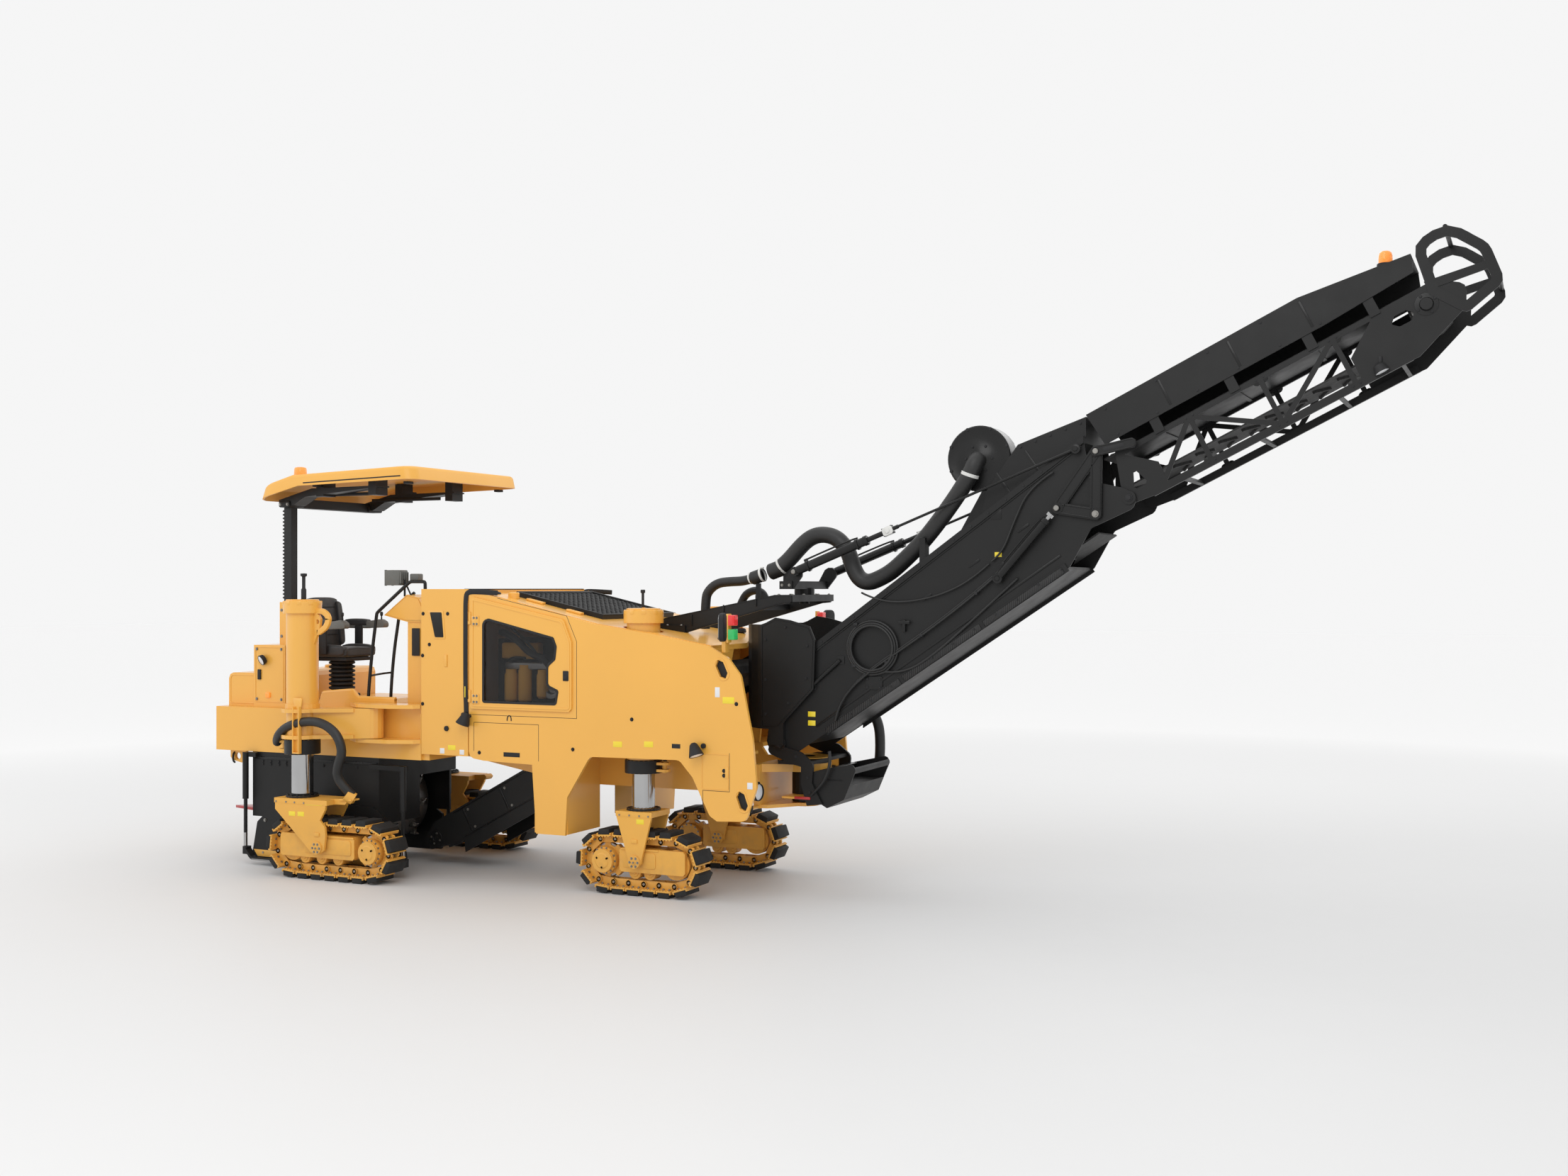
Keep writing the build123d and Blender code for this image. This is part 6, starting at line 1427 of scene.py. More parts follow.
class PLANER_OT_upper_section(bpy.types.Operator):
    """Covers, truss gussets, head bearings, hoops and lamps of the upper conveyor"""
    bl_idname = "planer.upper_section"
    bl_label = "Upper conveyor"

    def execute(self, context):
        place = lay(*FOLD_PIVOT, UPPER_ANGLE)
        body = "upper_section"
        work = Piece("upper_conveyor_trim", "black_gloss", body)
        bolts = Piece("upper_conveyor_bolts", "black_plastic", body)
        weave = Piece("upper_conveyor_mesh", "black_mesh", body)
        hoop = Piece("guard_hoops", "black_gloss", body)
        for side in (-1, 1):
            outer = side * 0.3945
            work.add(rim([(0.03, 0.735), (1.81, 0.732), (2.63, 0.612), (2.595, 0.515), (1.9, 0.49),
                (0.03, 0.49)], outer - side * 0.001, outer + side * 0.005, 0.014, 0.002), place)
            for u in (0.62, 1.22, 1.82):
                y0, y1 = sorted((outer - side * 0.001, outer + side * 0.008))
                work.add(box((u - 0.012, y0, 0.5), (u + 0.012, y1, 0.725), 0.003), place)
            points = [place @ Vector((u, outer + side * 0.004, 0.497)) for u in (0.15, 0.5, 0.85, 1.2, 1.55,
                1.88)]
            points += [place @ Vector((u, outer + side * 0.004, 0.726)) for u in (0.15, 0.6, 1.05, 1.5)]
            bolts.bolts(points, (0, side, 0), 0.009, 0.006)
            inner = side * 0.3765
            for u in (0.7, 1.3, 1.9):
                for w, below, above, foot, top in ((-0.045, 0.028, 0.045, 0.085, 0.05), (0.348, 0.045, 0.022,
                        0.05, 0.085)):
                    gusset = [(u - foot, w - below, 0.02), (u + foot, w - below, 0.02), (u + top, w + above,
                        0.02), (u - top, w + above, 0.02)]
                    work.add(plate(gusset, inner - side * 0.001, inner + side * 0.004, 0.0015), place)
                    bolts.bolts([place @ Vector((u + d, inner + side * 0.004, w)) for d in (-0.03, 0.03)],
                        (0, side, 0), 0.007)
            spot = place @ Vector((HEAD_U, side * 0.3765, HEAD_W))
            work.turn([(0, 0.03), (0.042, 0.03), (0.048, 0.024), (0.052, 0.01), (0.085, 0.008), (0.092, 0.0),
                (0.092, -0.006)], 36, facing(side, *spot))
            bolts.bolts([spot + Vector((0.07 * math.cos(a), side * 0.008, 0.07 * math.sin(a)))
                for a in (0.6, 2.2, 3.8, 5.3)], (0, side, 0), 0.009)
            slot = oblong(HEAD_U - 0.275, HEAD_W - 0.054, HEAD_U - 0.105, HEAD_W + 0.034, 0.05)
            work.add(rim(slot, inner - side * 0.001, inner + side * 0.005, -0.01, 0.0015), place)
            weave.add(plate([(2.02, -0.02), (2.36, -0.04), (2.36, 0.1), (2.02, 0.1)], inner,
                inner + side * 0.003, 0.0005), place)
            line = [(2.665, 0.33), (2.69, 0.56), (2.74, 0.655), (2.86, 0.69), (2.985, 0.68), (3.085, 0.56),
                (3.125, 0.42), (3.11, 0.25), (3.09, 0.14), (2.95, 0.09), (2.82, 0.075)]
            for scale in (1.0, 0.956):
                hoop.pipe([place @ Vector((2.89 + (u - 2.89) * scale, side * 0.379, 0.38 + (w - 0.38) * scale))
                    for u, w in line], 0.0065, 3, 5, 2)
        amber = Piece("head_beacon", "amber_lens", body)
        base = Piece("head_beacon_base", "black_plastic", body)
        spot = place @ Vector((2.47, -0.3, 0.652))
        base.turn([(0, 0), (0.055, 0), (0.062, 0.006), (0.062, 0.024), (0.055, 0.03), (0, 0.03)], 28,
            Matrix.Translation(spot))
        amber.turn([(0.05, 0.03), (0.052, 0.036), (0.05, 0.085), (0.044, 0.108), (0.03, 0.12), (0, 0.124)], 28,
            Matrix.Translation(spot))
        lamp = place @ Vector((2.1, -0.4, -0.02))
        beam = aim(lamp, lamp + Vector((0.45, -0.1, -0.9)))
        base.turn([(0.018, -0.04), (0.044, -0.02), (0.055, 0.028), (0.058, 0.036), (0.052, 0.037)], 28, beam)
        base.box((lamp.x - 0.012, lamp.y, lamp.z + 0.02), (lamp.x + 0.012, lamp.y + 0.03, lamp.z + 0.09), 0.003)
        clear = Piece("head_work_light", "clear_lens", body)
        clear.turn([(0, 0.038), (0.03, 0.036), (0.052, 0.032)], 28, beam)
        return done()


class PLANER_OT_collecting(bpy.types.Operator):
    """Bolts and edge strips of the collecting conveyor, with a ring at its tail"""
    bl_idname = "planer.collecting"
    bl_label = "Collecting conveyor"

    def execute(self, context):
        place, length = stretch_of(LIFT_TAIL, LIFT_HEAD)
        trim = Piece("collecting_trim", "black_gloss", "collecting")
        bolts = Piece("collecting_bolts", "bolt_steel", "collecting")
        for side in (-1, 1):
            y = side * 0.36
            for w in (-0.138, 0.122):
                trim.add(plate(oblong(0.3, w, length, w + 0.016), y - side * 0.001, y + side * 0.006, 0.002),
                    place)
            for index in range(6):
                u = 0.42 + index * 0.48
                trim.add(plate(oblong(u - 0.012, -0.12, u + 0.012, 0.12), y - side * 0.001, y + side * 0.005,
                    0.002), place)
                bolts.bolts([place @ Vector((u + 0.05, y, w)) for w in (-0.09, 0.09)], (0, side, 0), 0.009)
            trim.add(ring(0.075, 0.028, 0.012, 0.002, 28), facing(side, *(place @ Vector((0, y, 0)))))
            bolts.bolts([place @ Vector((0.052 * math.cos(a), y + side * 0.012, 0.052 * math.sin(a)))
                for a in (0.8, 2.4, 3.9, 5.5)], (0, side, 0), 0.008)
        return done()


# ---------------------------------------------------------------- milling unit
class PLANER_OT_milling_drum(bpy.types.Operator):
    """Toothed drum with pick holders in two hands"""
    bl_idname = "planer.milling_drum"
    bl_label = "Milling drum"

    def execute(self, context):
        x, z = DRUM
        y0, y1 = -0.93, 0.13
        mid = (y0 + y1) / 2
        shell = Piece("drum_shell", "bare_steel", "drum")
        shell.turn([(0.05, 0.0), (0.3, 0.0), (0.345, 0.012), (0.38, 0.012), (0.3855, 0.018), (0.3855, 1.042),
            (0.38, 1.048), (0.345, 1.048), (0.3, 1.06), (0.05, 1.06)], 64, aim((x, y0, z), (x, y1, z)))
        for side, edge in ((-1, y0), (1, y1)):
            shell.tube((x, edge, z), (x, edge + side * 0.04, z), 0.119, 0.055, 40)
            shell.bolts([(px, edge + side * 0.001, pz) for px, _, pz in around((x, 0, z), 0.21, 12)],
                (0, side, 0), 0.013, 0.01)
        holder = Piece("pick_holders", "bolt_steel", "drum")
        picks = Piece("picks", "chromed_rod", "drum")
        foot = box((-0.045, -0.017, -0.01), (0.035, 0.017, 0.028), 0.006, 2)
        block = turned([(0, -0.03), (0.02, -0.03), (0.0235, -0.024), (0.0235, 0.016), (0.019, 0.022),
            (0, 0.022)], 14)
        tip = turned([(0.014, 0.0), (0.016, 0.006), (0.012, 0.026), (0.006, 0.04), (0, 0.044)], 12)
        spots = []
        for index in range(21):
            y = y0 + 0.045 + index * (y1 - y0 - 0.09) / 20
            spread = abs(y - mid) * 550
            for start in (0, 120, 240):
                turn = start + spread + (60 if index % 2 else 0)
                spots.append(shift(x, y, z) @ spin(turn, "Y") @ shift(0, 0, 0.383))
        lean = shift(-0.006, 0, 0.03) @ spin(-48, "Y")
        holder.add(foot, *spots)
        holder.add(block, *[spot @ lean for spot in spots])
        picks.add(tip, *[spot @ lean @ shift(0, 0, 0.02) for spot in spots])
        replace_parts(shell.put(), "milling_drum")
        return done()


class PLANER_OT_milling_box(bpy.types.Operator):
    """Bolts, ribs, runners and side plate cylinders of the milling box"""
    bl_idname = "planer.milling_box"
    bl_label = "Milling box"

    def execute(self, context):
        ribs = Piece("milling_box_ribs", "black_gloss")
        bolts = Piece("milling_box_bolts", "black_plastic")
        for side, y in ((-1, -1.0), (1, 0.2)):
            ribs.add(plate(oblong(-4.27, 1.03, -2.76, 1.055), y - side * 0.001, y + side * 0.006, 0.002))
            bolts.bolts([(x, y, z) for x in (-4.15, -4.05, -3.95, -3.86) for z in (0.985, 1.012)], (0, side, 0),
                0.011)
            bolts.bolts([(x, y, 1.0) for x in (-3.6, -3.4, -3.2, -3.0)], (0, side, 0), 0.012)
        for y in (-0.86, -0.58, -0.3, -0.02):
            ribs.box((-4.2805, y - 0.01, 0.5), (-4.288, y + 0.01, 1.06), 0.003)
            bolts.bolts([(-4.281, y + 0.06, 0.62), (-4.281, y + 0.06, 0.98)], (-1, 0, 0), 0.011)
        for side, name, y, front in ((-1, "right", -1.0, -2.4), (1, "left", 0.2, -2.85)):
            body = "plate_" + name
            ski = Piece("side_plate_runner_" + name, "bare_steel", body)
            ski.add(plate([(-4.225, 0.0525, 0.02), (front - 0.165, 0.0525, 0.02), (front - 0.145, 0.064),
                (-4.235, 0.064)], y + side * 0.012, y + side * 0.0755, 0.002))
            screws = Piece("side_plate_bolts_" + name, "bolt_steel", body)
            screws.bolts([(p.x, y + side * 0.0285, 0.125) for p in along((-4.12, 0, 0), (front - 0.24, 0, 0),
                9)], (0, side, 0), 0.012)
            screws.bolts([(-4.1, y + side * 0.0285, 0.44), (-3.92, y + side * 0.0285, 0.58),
                (front - 0.2, y + side * 0.0285, 0.4)], (0, side, 0), 0.012)
            band = Piece("side_plate_edge_" + name, "yellow_casting", body)
            band.add(plate([(-4.19, 0.085), (front - 0.1, 0.085), (front - 0.045, 0.15), (-4.24, 0.15)],
                y + side * 0.026, y + side * 0.0325, 0.002))
            rods = Piece("side_plate_rods_" + name, "chromed_rod", body)
            y_rod = y + side * 0.05
            for x in (-4.325, front - 0.02):
                rods.tube((x, y_rod, 0.18), (x, y_rod, 0.31), 0.0186, 0.01, 28)
        return done()


# ---------------------------------------------------------------- operator's station
MAST = (-4.15, -0.61)
ROOF_SIDE = [(-4.335, 3.57), (-3.81, 3.695), (-2.44, 3.73), (-2.47, 3.855), (-3.89, 3.805), (-4.285, 3.7)]
CANOPY_HALF = 0.9
DECK = 1.56


def canopy_skin():
    """The roof's shell, open below: its side profile drawn out, with wide plan corners and a soft brow."""
    bm = bmesh.new()
    trace(bm, ROOF_SIDE, -CANOPY_HALF)
    draw_out(bm, (0, 2 * CANOPY_HALF, 0))
    for left, right in ((2, 3), (5, 0)):
        corner = [e for e in bm.edges if abs(e.verts[0].co.y - e.verts[1].co.y) < 1e-6
            and {round(v.co.x, 4) for v in e.verts} == {round(ROOF_SIDE[left][0], 4), round(ROOF_SIDE[right][0],
            4)}]
        bmesh.ops.bevel(bm, geom=corner, offset=0.139, offset_type="OFFSET", segments=8, profile=0.5,
            affect="EDGES", material=-1, clamp_overlap=True)
    bmesh.ops.delete(bm, geom=[f for f in bm.faces if f.normal.z < -0.6], context="FACES")
    soften(bm, 0.034, 4, 35)
    bmesh.ops.solidify(bm, geom=list(bm.faces), thickness=0.018)
    return bm


class PLANER_OT_canopy(bpy.types.Operator):
    """Shell, trim, brackets and cable of the canopy"""
    bl_idname = "planer.canopy"
    bl_label = "Canopy"

    def execute(self, context):
        shell = Piece("canopy_shell", "canopy_shell", "canopy")
        shell.add(canopy_skin())
        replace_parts(shell.put(40), "canopy_roof")
        strips = Piece("canopy_strips", "black_plastic", "canopy")
        for side in (-1, 1):
            strips.add(plate([(-3.74, 3.716), (-2.57, 3.752), (-2.572, 3.764), (-3.742, 3.728)], side * 0.892,
                side * 0.9015, 0.001))
            for x in (-3.7, -2.6):
                strips.box((x - 0.03, side * 0.7, 3.69), (x + 0.03, side * 0.78, 3.715), 0.004)
        x, y = MAST
        head = Piece("canopy_head", "black_powder", "canopy")
        for side in (-1, 1):
            head.add(plate(oblong(x - 0.06, 3.5, x + 0.075, 3.565, 0.02), side * 0.5, side * 0.716, 0.004))
            head.box((x + 0.1, side * 0.51, 3.608), (x + 0.98, side * 0.53, 3.64), 0.004)
        bolts = Piece("canopy_bolts", "bolt_steel", "canopy")
        for side in (-1, 1):
            bolts.bolts([(x + dx, side * 0.7165, 3.53) for dx in (-0.04, 0.05)], (0, side, 0), 0.011)
        cable = Piece("canopy_cable", "hose_rubber", "canopy")
        coil = [(x - 0.075 + 0.02 * math.cos(a * math.pi / 3), y + 0.02 * math.sin(a * math.pi / 3),
            3.49 - 0.006 * a) for a in range(0, 150)]
        cable.pipe([(x + 0.02, y, 3.53), (x - 0.07, y, 3.53)] + coil, 0.0055, steps=2, ring_steps=2)
        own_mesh(cable.put())
        return done()


def cushion(low, high, crown, pull):
    """A stuffed block: crowned on its broad side, with sides that pull in between the corners."""
    low, high = Vector(low), Vector(high)
    middle, half = (low + high) / 2, (high - low) / 2
    bm = bmesh.new()
    bmesh.ops.create_cube(bm, size=2.0)
    bmesh.ops.subdivide_edges(bm, edges=list(bm.edges), cuts=11, use_grid_fill=True)
    for vert in bm.verts:
        u, v, w = vert.co
        edge = 1 - 0.1 * max(0.0, abs(w) - 0.45) ** 2 * 3.0
        bulge = (1 - u ** 4) * (1 - v ** 4)
        swell = 1 - pull * (1 - u * u) * abs(v) ** 3 if abs(v) > abs(u) else 1 - pull * (1 - v * v) * abs(u) ** 3
        vert.co = (u * edge * swell, v * edge * swell, w * (1 - crown) + crown * w * bulge)
    bmesh.ops.smooth_vert(bm, verts=list(bm.verts), factor=0.5, use_axis_x=True, use_axis_y=True,
        use_axis_z=True)
    bmesh.ops.smooth_vert(bm, verts=list(bm.verts), factor=0.5, use_axis_x=True, use_axis_y=True,
        use_axis_z=True)
    bmesh.ops.scale(bm, vec=half, verts=bm.verts)
    bmesh.ops.translate(bm, vec=middle, verts=bm.verts)
    return bm


class PLANER_OT_seat(bpy.types.Operator):
    """Cushions, piping, bellows and armrest consoles of the operator's seat"""
    bl_idname = "planer.seat"
    bl_label = "Seat"

    def execute(self, context):
        x, y = -3.79, -0.27
        lean = shift(x - 0.205, y, 2.065) @ spin(-7.5, "Y")
        pad = Piece("seat_cushion", "seat_leather")
        pad.add(cushion((x - 0.19, y - 0.235, 2.0), (x + 0.245, y + 0.235, 2.115), 0.22, 0.05))
        for side in (-1, 1):
            pad.add(cushion((x - 0.17, y + side * 0.215 - 0.035, 2.02), (x + 0.225, y + side * 0.215 + 0.035,
                2.135), 0.3, 0.03))
        seat = pad.put(80)
        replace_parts(seat, "operator_seat")
        back = Piece("seat_back", "seat_leather")
        back.add(cushion((-0.055, -0.225, 0.02), (0.045, 0.225, 0.545), 0.06, 0.04), lean)
        for side in (-1, 1):
            back.add(cushion((-0.035, side * 0.195 - 0.035, 0.05), (0.075, side * 0.195 + 0.035, 0.5), 0.1,
                0.02), lean)
        back.put(80)
        for side, name in SIDES:
            arm = Piece("armrest_" + name, "seat_leather")
            arm.add(cushion((x - 0.195, y + side * 0.3 - 0.038, 2.315), (x + 0.1, y + side * 0.3 + 0.038,
                2.388), 0.25, 0.05))
            arm.put(80)
        seams = Piece("seat_piping", "black_plastic")
        for z in (2.03, 2.098):
            seams.pipe([(x + 0.243, y - 0.19, z), (x + 0.247, y - 0.1, z), (x + 0.247, y + 0.1, z),
                (x + 0.243, y + 0.19, z)], 0.004)
        for w in (0.16, 0.3, 0.44):
            line = [tuple(lean @ Vector((0.047, v, w))) for v in (-0.14, -0.07, 0.07, 0.14)]
            seams.pipe(line, 0.0035)
        base = Piece("seat_suspension", "black_plastic")
        for index in range(8):
            z = DECK + 0.075 + index * 0.042
            base.turn([(0.1, 0.0), (0.128, 0.012), (0.13, 0.021), (0.128, 0.03), (0.1, 0.042)], 28,
                shift(x, y, z))
        base.box((x - 0.158, y - 0.158, DECK + 0.002), (x + 0.158, y + 0.158, DECK + 0.04), 0.01)
        base.box((x - 0.2, y - 0.2, 1.972), (x + 0.22, y + 0.2, 2.008), 0.01)
        base.box((x - 0.13, y - 0.13, DECK + 0.036), (x + 0.13, y + 0.13, DECK + 0.08), 0.01)
        for side in (-1, 1):
            base.box((x - 0.055, y + side * 0.27 - 0.014, 2.04), (x + 0.035, y + side * 0.27 + 0.014, 2.32),
                0.008)
        base.box((x - 0.262, y - 0.05, 1.99), (x - 0.215, y + 0.05, 2.2), 0.01)
        consoles = Piece("armrest_consoles", "grey_plastic")
        for side in (-1, 1):
            cy = y + side * 0.3
            consoles.add(plate([(x + 0.09, 2.29, 0.01), (x + 0.315, 2.3, 0.02), (x + 0.318, 2.352, 0.02),
                (x + 0.26, 2.385, 0.02), (x + 0.09, 2.36, 0.01)], cy - 0.04, cy + 0.04, 0.006))
            consoles.box((x - 0.19, cy - 0.03, 2.288), (x + 0.1, cy + 0.03, 2.32), 0.006)
        sticks = Piece("armrest_levers", "black_plastic")
        for side in (-1, 1):
            cy = y + side * 0.3
            sticks.turn([(0.018, 0), (0.02, 0.01), (0.008, 0.02), (0.007, 0.05), (0.014, 0.062), (0.016, 0.085),
                (0.011, 0.096), (0, 0.098)], 18, shift(x + 0.255, cy, 2.362))
            for index in range(3):
                sticks.turn([(0.007, 0), (0.007, 0.006), (0, 0.007)], 10, shift(x + 0.15 + index * 0.025,
                    cy + 0.015, 2.366 + index * 0.004))
        return done()


class PLANER_OT_station(bpy.types.Operator):
    """Instrument panel, lamps, rails and kerbs of the operator's deck"""
    bl_idname = "planer.station"
    bl_label = "Operator's station"

    def execute(self, context):
        panel = Piece("console_panel", "grey_plastic")
        face = shift(0, -0.596, 0) @ stretch_of((-2.83, 2.44), (-2.56, 2.64))[0]
        panel.add(box((0.03, -0.2, -0.002), (0.3, 0.2, 0.0065), 0.004), face)
        dark = Piece("console_controls", "black_plastic")
        dark.add(box((0.06, -0.085, 0.004), (0.2, 0.085, 0.012), 0.004), face)
        for index in range(6):
            for row in range(2):
                dark.turn([(0.01, 0), (0.01, 0.01), (0.008, 0.013), (0, 0.013)], 12, face
                    @ shift(0.235 + row * 0.035, -0.15 + index * 0.06, 0.005))
        for side in (-1, 1):
            for row in range(3):
                dark.add(box((0.07 + row * 0.045, side * 0.145 - 0.018, 0.005), (0.1 + row * 0.045,
                    side * 0.145 + 0.018, 0.016), 0.003), face)
        screen = Piece("console_screen", "mirror_glass")
        screen.add(box((0.072, -0.073, 0.0105), (0.188, 0.073, 0.013), 0.001), face)
        trim = Piece("console_trim", "yellow_enamel")
        trim.add(rim([(-2.815, 2.448), (-2.562, 2.394), (-2.32, 2.394), (-2.43, 2.6), (-2.558, 2.628)], -0.8115,
            -0.8165, 0.012))
        trim.box((-2.5605, -0.7, 1.75), (-2.5665, -0.2, 2.25), 0.006)
        for y in (-0.1, 0.2):
            trim.box((-2.5605, y, 1.72), (-2.5665, y + 0.24, 2.28), 0.006)
        knobs = Piece("console_latches", "black_plastic")
        for y in (-0.25, 0.09, 0.39):
            knobs.box((-2.565, y, 1.96), (-2.58, y + 0.03, 2.04), 0.004)
        knobs.rod((-2.6, -0.795, 2.62), (-2.6, -0.795, 2.78), 0.01)
        knobs.rod((-2.52, -0.795, 2.62), (-2.62, -0.795, 2.8), 0.008)
        for y in (-0.845, -0.745):
            knobs.box((-2.795, y - 0.006, 2.722), (-2.77, y + 0.006, 2.872), 0.003)
        knobs.box((-2.505, -0.805, 2.06), (-2.415, -0.8125, 2.32), 0.008)
        lamp_box = Piece("console_work_lamp", "grey_plastic")
        lamp_box.add(plate([(-2.79, 2.725, 0.015), (-2.62, 2.725, 0.015), (-2.61, 2.87, 0.015),
            (-2.79, 2.87, 0.015)], -0.86, -0.73, 0.008))
        for index in range(5):
            lamp_box.box((-2.615, -0.855 + index * 0.027, 2.745), (-2.596, -0.847 + index * 0.027, 2.85), 0.002)
        lamp_box.box((-2.54, -0.8, 2.765), (-2.44, -0.72, 2.835), 0.01)
        clear = Piece("console_lamp_lenses", "clear_lens")
        clear.box((-2.7905, -0.848, 2.74), (-2.7955, -0.742, 2.856), 0.004)
        rails = Piece("handrail_tubes", "black_gloss")
        rails.pipe([(-3.0, -0.836, 1.56), (-3.0, -0.836, 1.66), (-2.96, -0.836, 2.04), (-2.9, -0.836, 2.44),
            (-2.895, -0.836, 2.462), (-2.86, -0.836, 2.49), (-2.54, -0.836, 2.735), (-2.5, -0.836, 2.7605),
            (-2.46, -0.836, 2.76), (-2.37, -0.836, 2.76), (-2.332, -0.836, 2.758), (-2.33, -0.836, 2.72),
            (-2.33, -0.836, 2.6), (-2.33, -0.836, 1.562)], 0.0162, steps=8, ring_steps=5)
        rails.pipe([(-2.84, -0.7, 1.562), (-2.84, -0.7, 1.7), (-2.8, -0.7, 2.1), (-2.745, -0.7, 2.4),
            (-2.735, -0.7, 2.5), (-2.66, -0.7, 2.58), (-2.56, -0.7, 2.655)], 0.0155, steps=8, ring_steps=5)
        rails.pipe([(-2.985, -0.836, 1.86), (-2.92, -0.79, 1.875), (-2.875, -0.7, 1.885), (-2.825, -0.7, 1.89)],
            0.01)
        rails.pipe([(-3.1, 0.87, 1.562), (-3.1, 0.87, 2.4), (-3.1, 0.87, 2.498), (-3.0, 0.87, 2.5),
            (-2.6, 0.87, 2.5), (-2.5, 0.87, 2.5), (-2.5, 0.87, 2.4), (-2.5, 0.87, 1.562)], 0.0172, steps=8,
            ring_steps=5)
        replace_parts(rails.put(), "handrails")
        feet = Piece("handrail_feet", "bolt_steel")
        for x, y, r in ((-3.0, -0.836, 0.0165), (-2.33, -0.836, 0.0165), (-3.1, 0.87, 0.0175),
                (-2.5, 0.87, 0.0175)):
            feet.tube((x, y, DECK + 0.001), (x, y, DECK + 0.009), 0.034, r, 24)
        deck = Piece("deck_plates", "yellow_deck")
        for x0, x1, y0, y1 in ((-3.5, -3.05, -0.84, 0.9), (-3.03, -2.58, -0.8, 0.9)):
            deck.box((x0, y0, DECK - 0.001), (x1, y1, DECK + 0.004), 0.0015, 1)
        kerb = Piece("deck_kerb_rims", "yellow_enamel")
        for side, y in ((-1, -0.88), (1, 0.92)):
            kerb.pipe([(-3.545, y, 1.565), (-3.5, y, 1.689), (-3.49, y, 1.69), (-3.16, y, 1.719),
                (-3.14, y, 1.718), (-3.08, y, 1.65), (-3.06, y, 1.649), (-2.64, y, 1.649)], 0.0205, steps=5,
                ring_steps=3)
        return done()


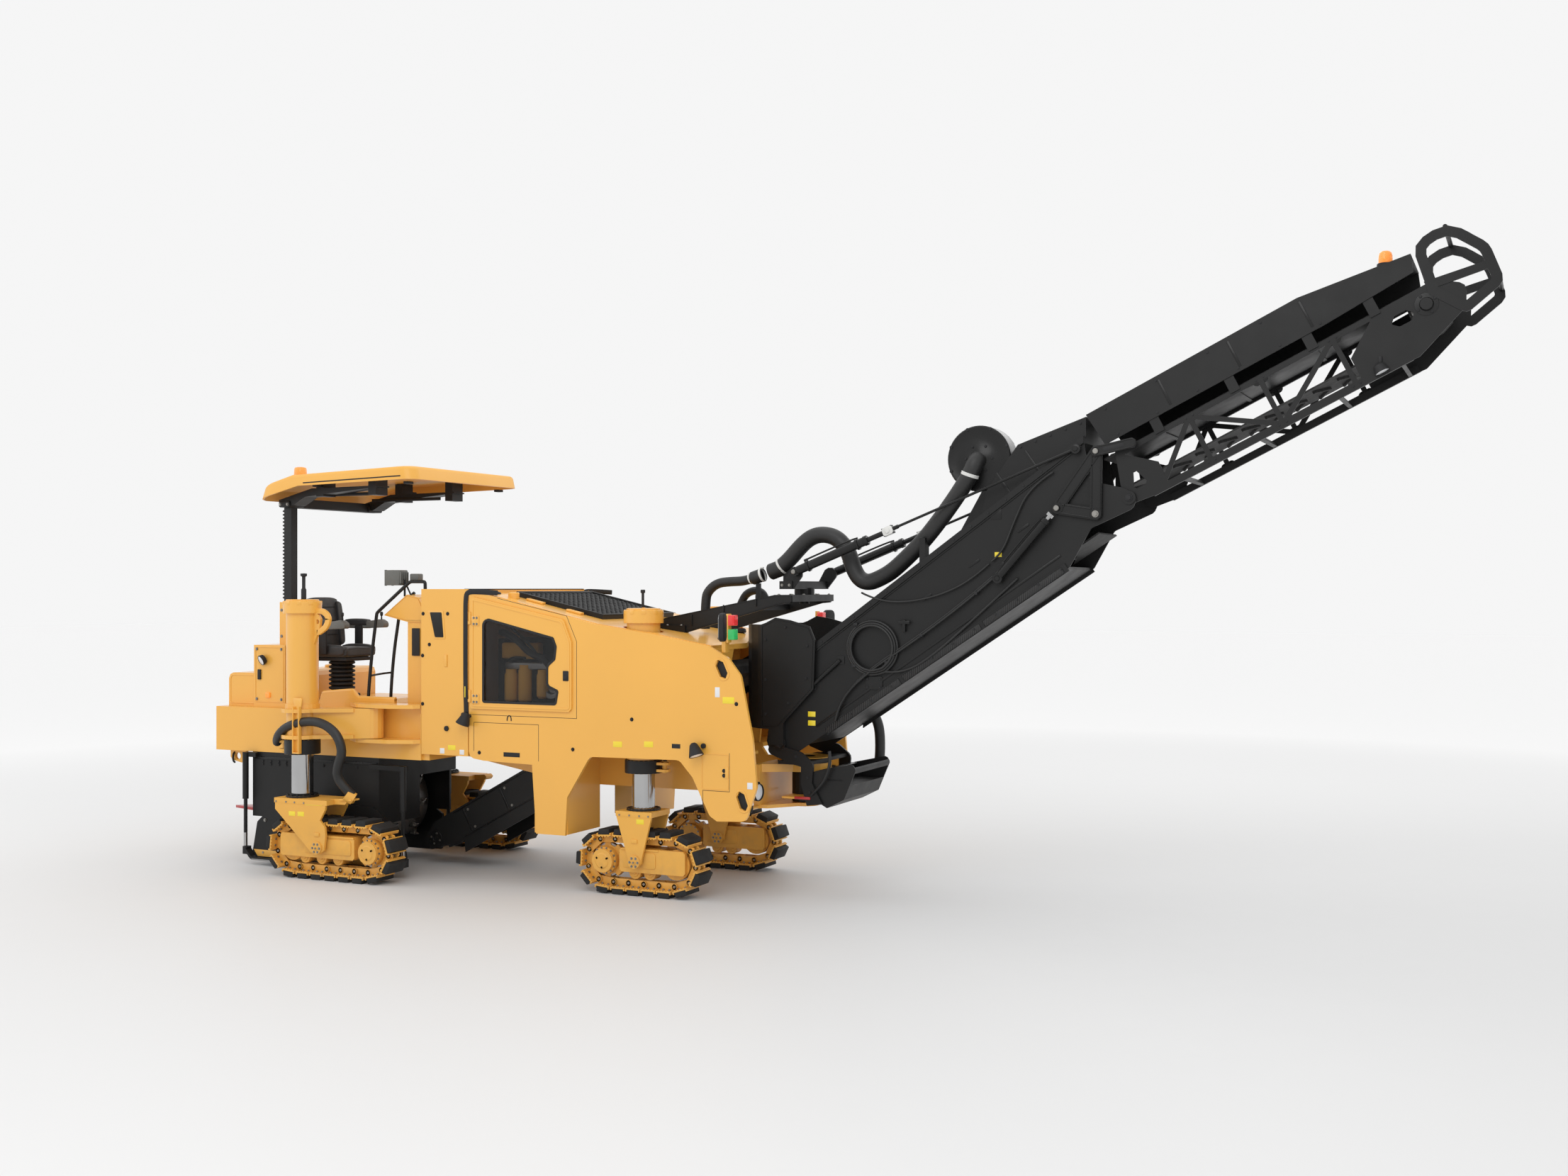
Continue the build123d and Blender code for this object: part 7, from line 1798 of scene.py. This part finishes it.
# ---------------------------------------------------------------- rear
class PLANER_OT_rear(bpy.types.Operator):
    """Doors, lamps, caps and bolts of the rear bulkhead, tank and cabinet"""
    bl_idname = "planer.rear"
    bl_label = "Rear"

    def execute(self, context):
        work = Piece("rear_covers", "yellow_enamel")
        bolts = Piece("rear_bolts", "bolt_steel")
        dark = Piece("rear_fittings", "black_plastic")
        work.add(rim(oblong(-4.325, 1.58, -3.965, 2.125, 0.01), -0.9195, -0.9245, 0.01))
        work.add(rim([(-4.685, 1.555, 0.02), (-4.315, 1.555, 0.02), (-4.315, 1.845, 0.05),
            (-4.685, 1.845, 0.05)], -0.8795, -0.8845, 0.012))
        work.turn([(0.095, 0.0), (0.098, 0.02), (0.09, 0.028), (0.06, 0.034), (0, 0.036)], 28,
            shift(-4.5, -0.55, 1.858), shift(-4.5, 0.45, 1.858))
        for y in (-0.6, 0.0, 0.6):
            work.box((-4.7005, y - 0.22, 1.6), (-4.7065, y + 0.22, 1.8), 0.006)
        bolts.bolts([(-4.62, -0.9005, 1.37), (-4.54, -0.9005, 1.41), (-4.4, -0.9005, 1.46),
            (-4.1, -0.9005, 1.46)], (0, -1, 0), 0.013)
        bolts.bolts([(-4.3, -0.9245, 2.1), (-3.99, -0.9245, 2.1), (-4.3, -0.9245, 1.61),
            (-3.99, -0.9245, 1.61)], (0, -1, 0), 0.01)
        bolts.bolts([(-4.7005, y, z) for y in (-0.78, -0.36, 0.06, 0.48, 0.78) for z in (1.575, 1.825)],
            (-1, 0, 0), 0.01)
        bolts.bolts([(MAST[0] + 0.0755, MAST[1] + dy, z) for z in (2.22, 2.48) for dy in (-0.05, 0.05)],
            (1, 0, 0), 0.011)
        bolts.bolts([(MAST[0] + dx, MAST[1] - 0.0755, z) for z in (2.22, 2.48) for dx in (-0.05, 0.05)],
            (0, -1, 0), 0.011)
        dark.box((-4.285, -0.9195, 1.8), (-4.245, -0.9345, 1.9), 0.005)
        dark.rod((-4.585, -0.9005, 1.2), (-4.585, -0.915, 1.2), 0.02, 0.003)
        dark.pipe([(-4.6, -0.905, 1.07), (-4.6, -0.93, 1.06), (-4.6, -0.93, 0.98), (-4.6, -0.905, 0.97)], 0.01)
        bar = Piece("rear_push_bar", "red_paint")
        wedge = bmesh.new()
        wedge.faces.new([wedge.verts.new(co) for co in ((-4.592, -0.901, 0.5195), (-4.268, -0.992, 0.5195),
            (-4.268, -0.598, 0.5195))])
        bar.add(soften(draw_out(wedge, (0, 0, 0.026)), 0.003))
        beam = aim((-4.2, -0.9445, 2.0), (-4.6, -1.9245, 1.5))
        dark.turn([(0.034, -0.018), (0.046, -0.01), (0.052, 0.026), (0.047, 0.03)], 28, beam)
        for y in (-0.8, 0.8):
            dark.box((-4.7, y - 0.055, 1.365), (-4.742, y + 0.055, 1.5), 0.008)
        clear = Piece("rear_work_light", "clear_lens")
        clear.turn([(0, 0.032), (0.03, 0.031), (0.047, 0.026)], 28, beam)
        red = Piece("tail_lamps", "red_lens")
        for y in (-0.8, 0.8):
            red.box((-4.74, y - 0.045, 1.375), (-4.7475, y + 0.045, 1.43), 0.004)
        amber = Piece("side_lamp", "amber_lens")
        amber.box((-4.18, -0.9195, 1.625), (-4.13, -0.9365, 1.675), 0.006)
        for y in (-0.8, 0.8):
            amber.box((-4.74, y - 0.045, 1.437), (-4.7475, y + 0.045, 1.49), 0.004)
        beacon = Piece("canopy_beacon", "amber_lens", "canopy")
        foot = Piece("canopy_beacon_foot", "black_plastic", "canopy")
        foot.turn([(0.06, -0.02), (0.074, 0), (0.074, 0.012), (0.066, 0.016), (0, 0.016)], 28,
            shift(-3.93, -0.72, 3.792))
        beacon.turn([(0.062, 0.014), (0.064, 0.02), (0.06, 0.078), (0.054, 0.094), (0.035, 0.101), (0, 0.103)],
            28, shift(-3.93, -0.72, 3.792))
        return done()


OPERATORS = [
    "stage", "finishes", "tracks", "undercarriage", "legs", "hood", "engine", "grille", "hoses",
    "front", "belts", "lower_section", "turret", "gantry", "fold", "upper_section", "collecting",
    "milling_drum", "milling_box", "canopy", "seat", "station", "rear",
]


class PLANER_PT_pieces(bpy.types.Panel):
    """Sizes, colours and the steps that dress the planer"""
    bl_idname = "PLANER_PT_pieces"
    bl_label = "Cold planer"
    bl_space_type = "VIEW_3D"
    bl_region_type = "UI"
    bl_category = "Cold planer"

    def draw(self, context):
        for group in (context.scene.planer_sizes, context.scene.planer_colours):
            column = self.layout.column()
            for key in group.__annotations__:
                column.prop(group, key)
        for name in OPERATORS:
            self.layout.operator("planer." + name)


CLASSES = [
    PlanerColours, PlanerSizes, PLANER_OT_stage, PLANER_OT_finishes, PLANER_OT_tracks,
    PLANER_OT_undercarriage, PLANER_OT_legs, PLANER_OT_hood, PLANER_OT_engine, PLANER_OT_grille,
    PLANER_OT_hoses, PLANER_OT_front, PLANER_OT_belts, PLANER_OT_lower_section, PLANER_OT_turret,
    PLANER_OT_gantry, PLANER_OT_fold, PLANER_OT_upper_section, PLANER_OT_collecting,
    PLANER_OT_milling_drum, PLANER_OT_milling_box, PLANER_OT_canopy, PLANER_OT_seat, PLANER_OT_station,
    PLANER_OT_rear, PLANER_PT_pieces,
]


def register():
    for item in CLASSES:
        bpy.utils.register_class(item)
    bpy.types.Scene.planer_colours = bpy.props.PointerProperty(type=PlanerColours)
    bpy.types.Scene.planer_sizes = bpy.props.PointerProperty(type=PlanerSizes)


def unregister():
    del bpy.types.Scene.planer_sizes
    del bpy.types.Scene.planer_colours
    for item in reversed(CLASSES):
        bpy.utils.unregister_class(item)


def main():
    register()
    for name in OPERATORS:
        getattr(bpy.ops.planer, name)()
    bpy.context.view_layer.update()


if __name__ == "__main__":
    main()
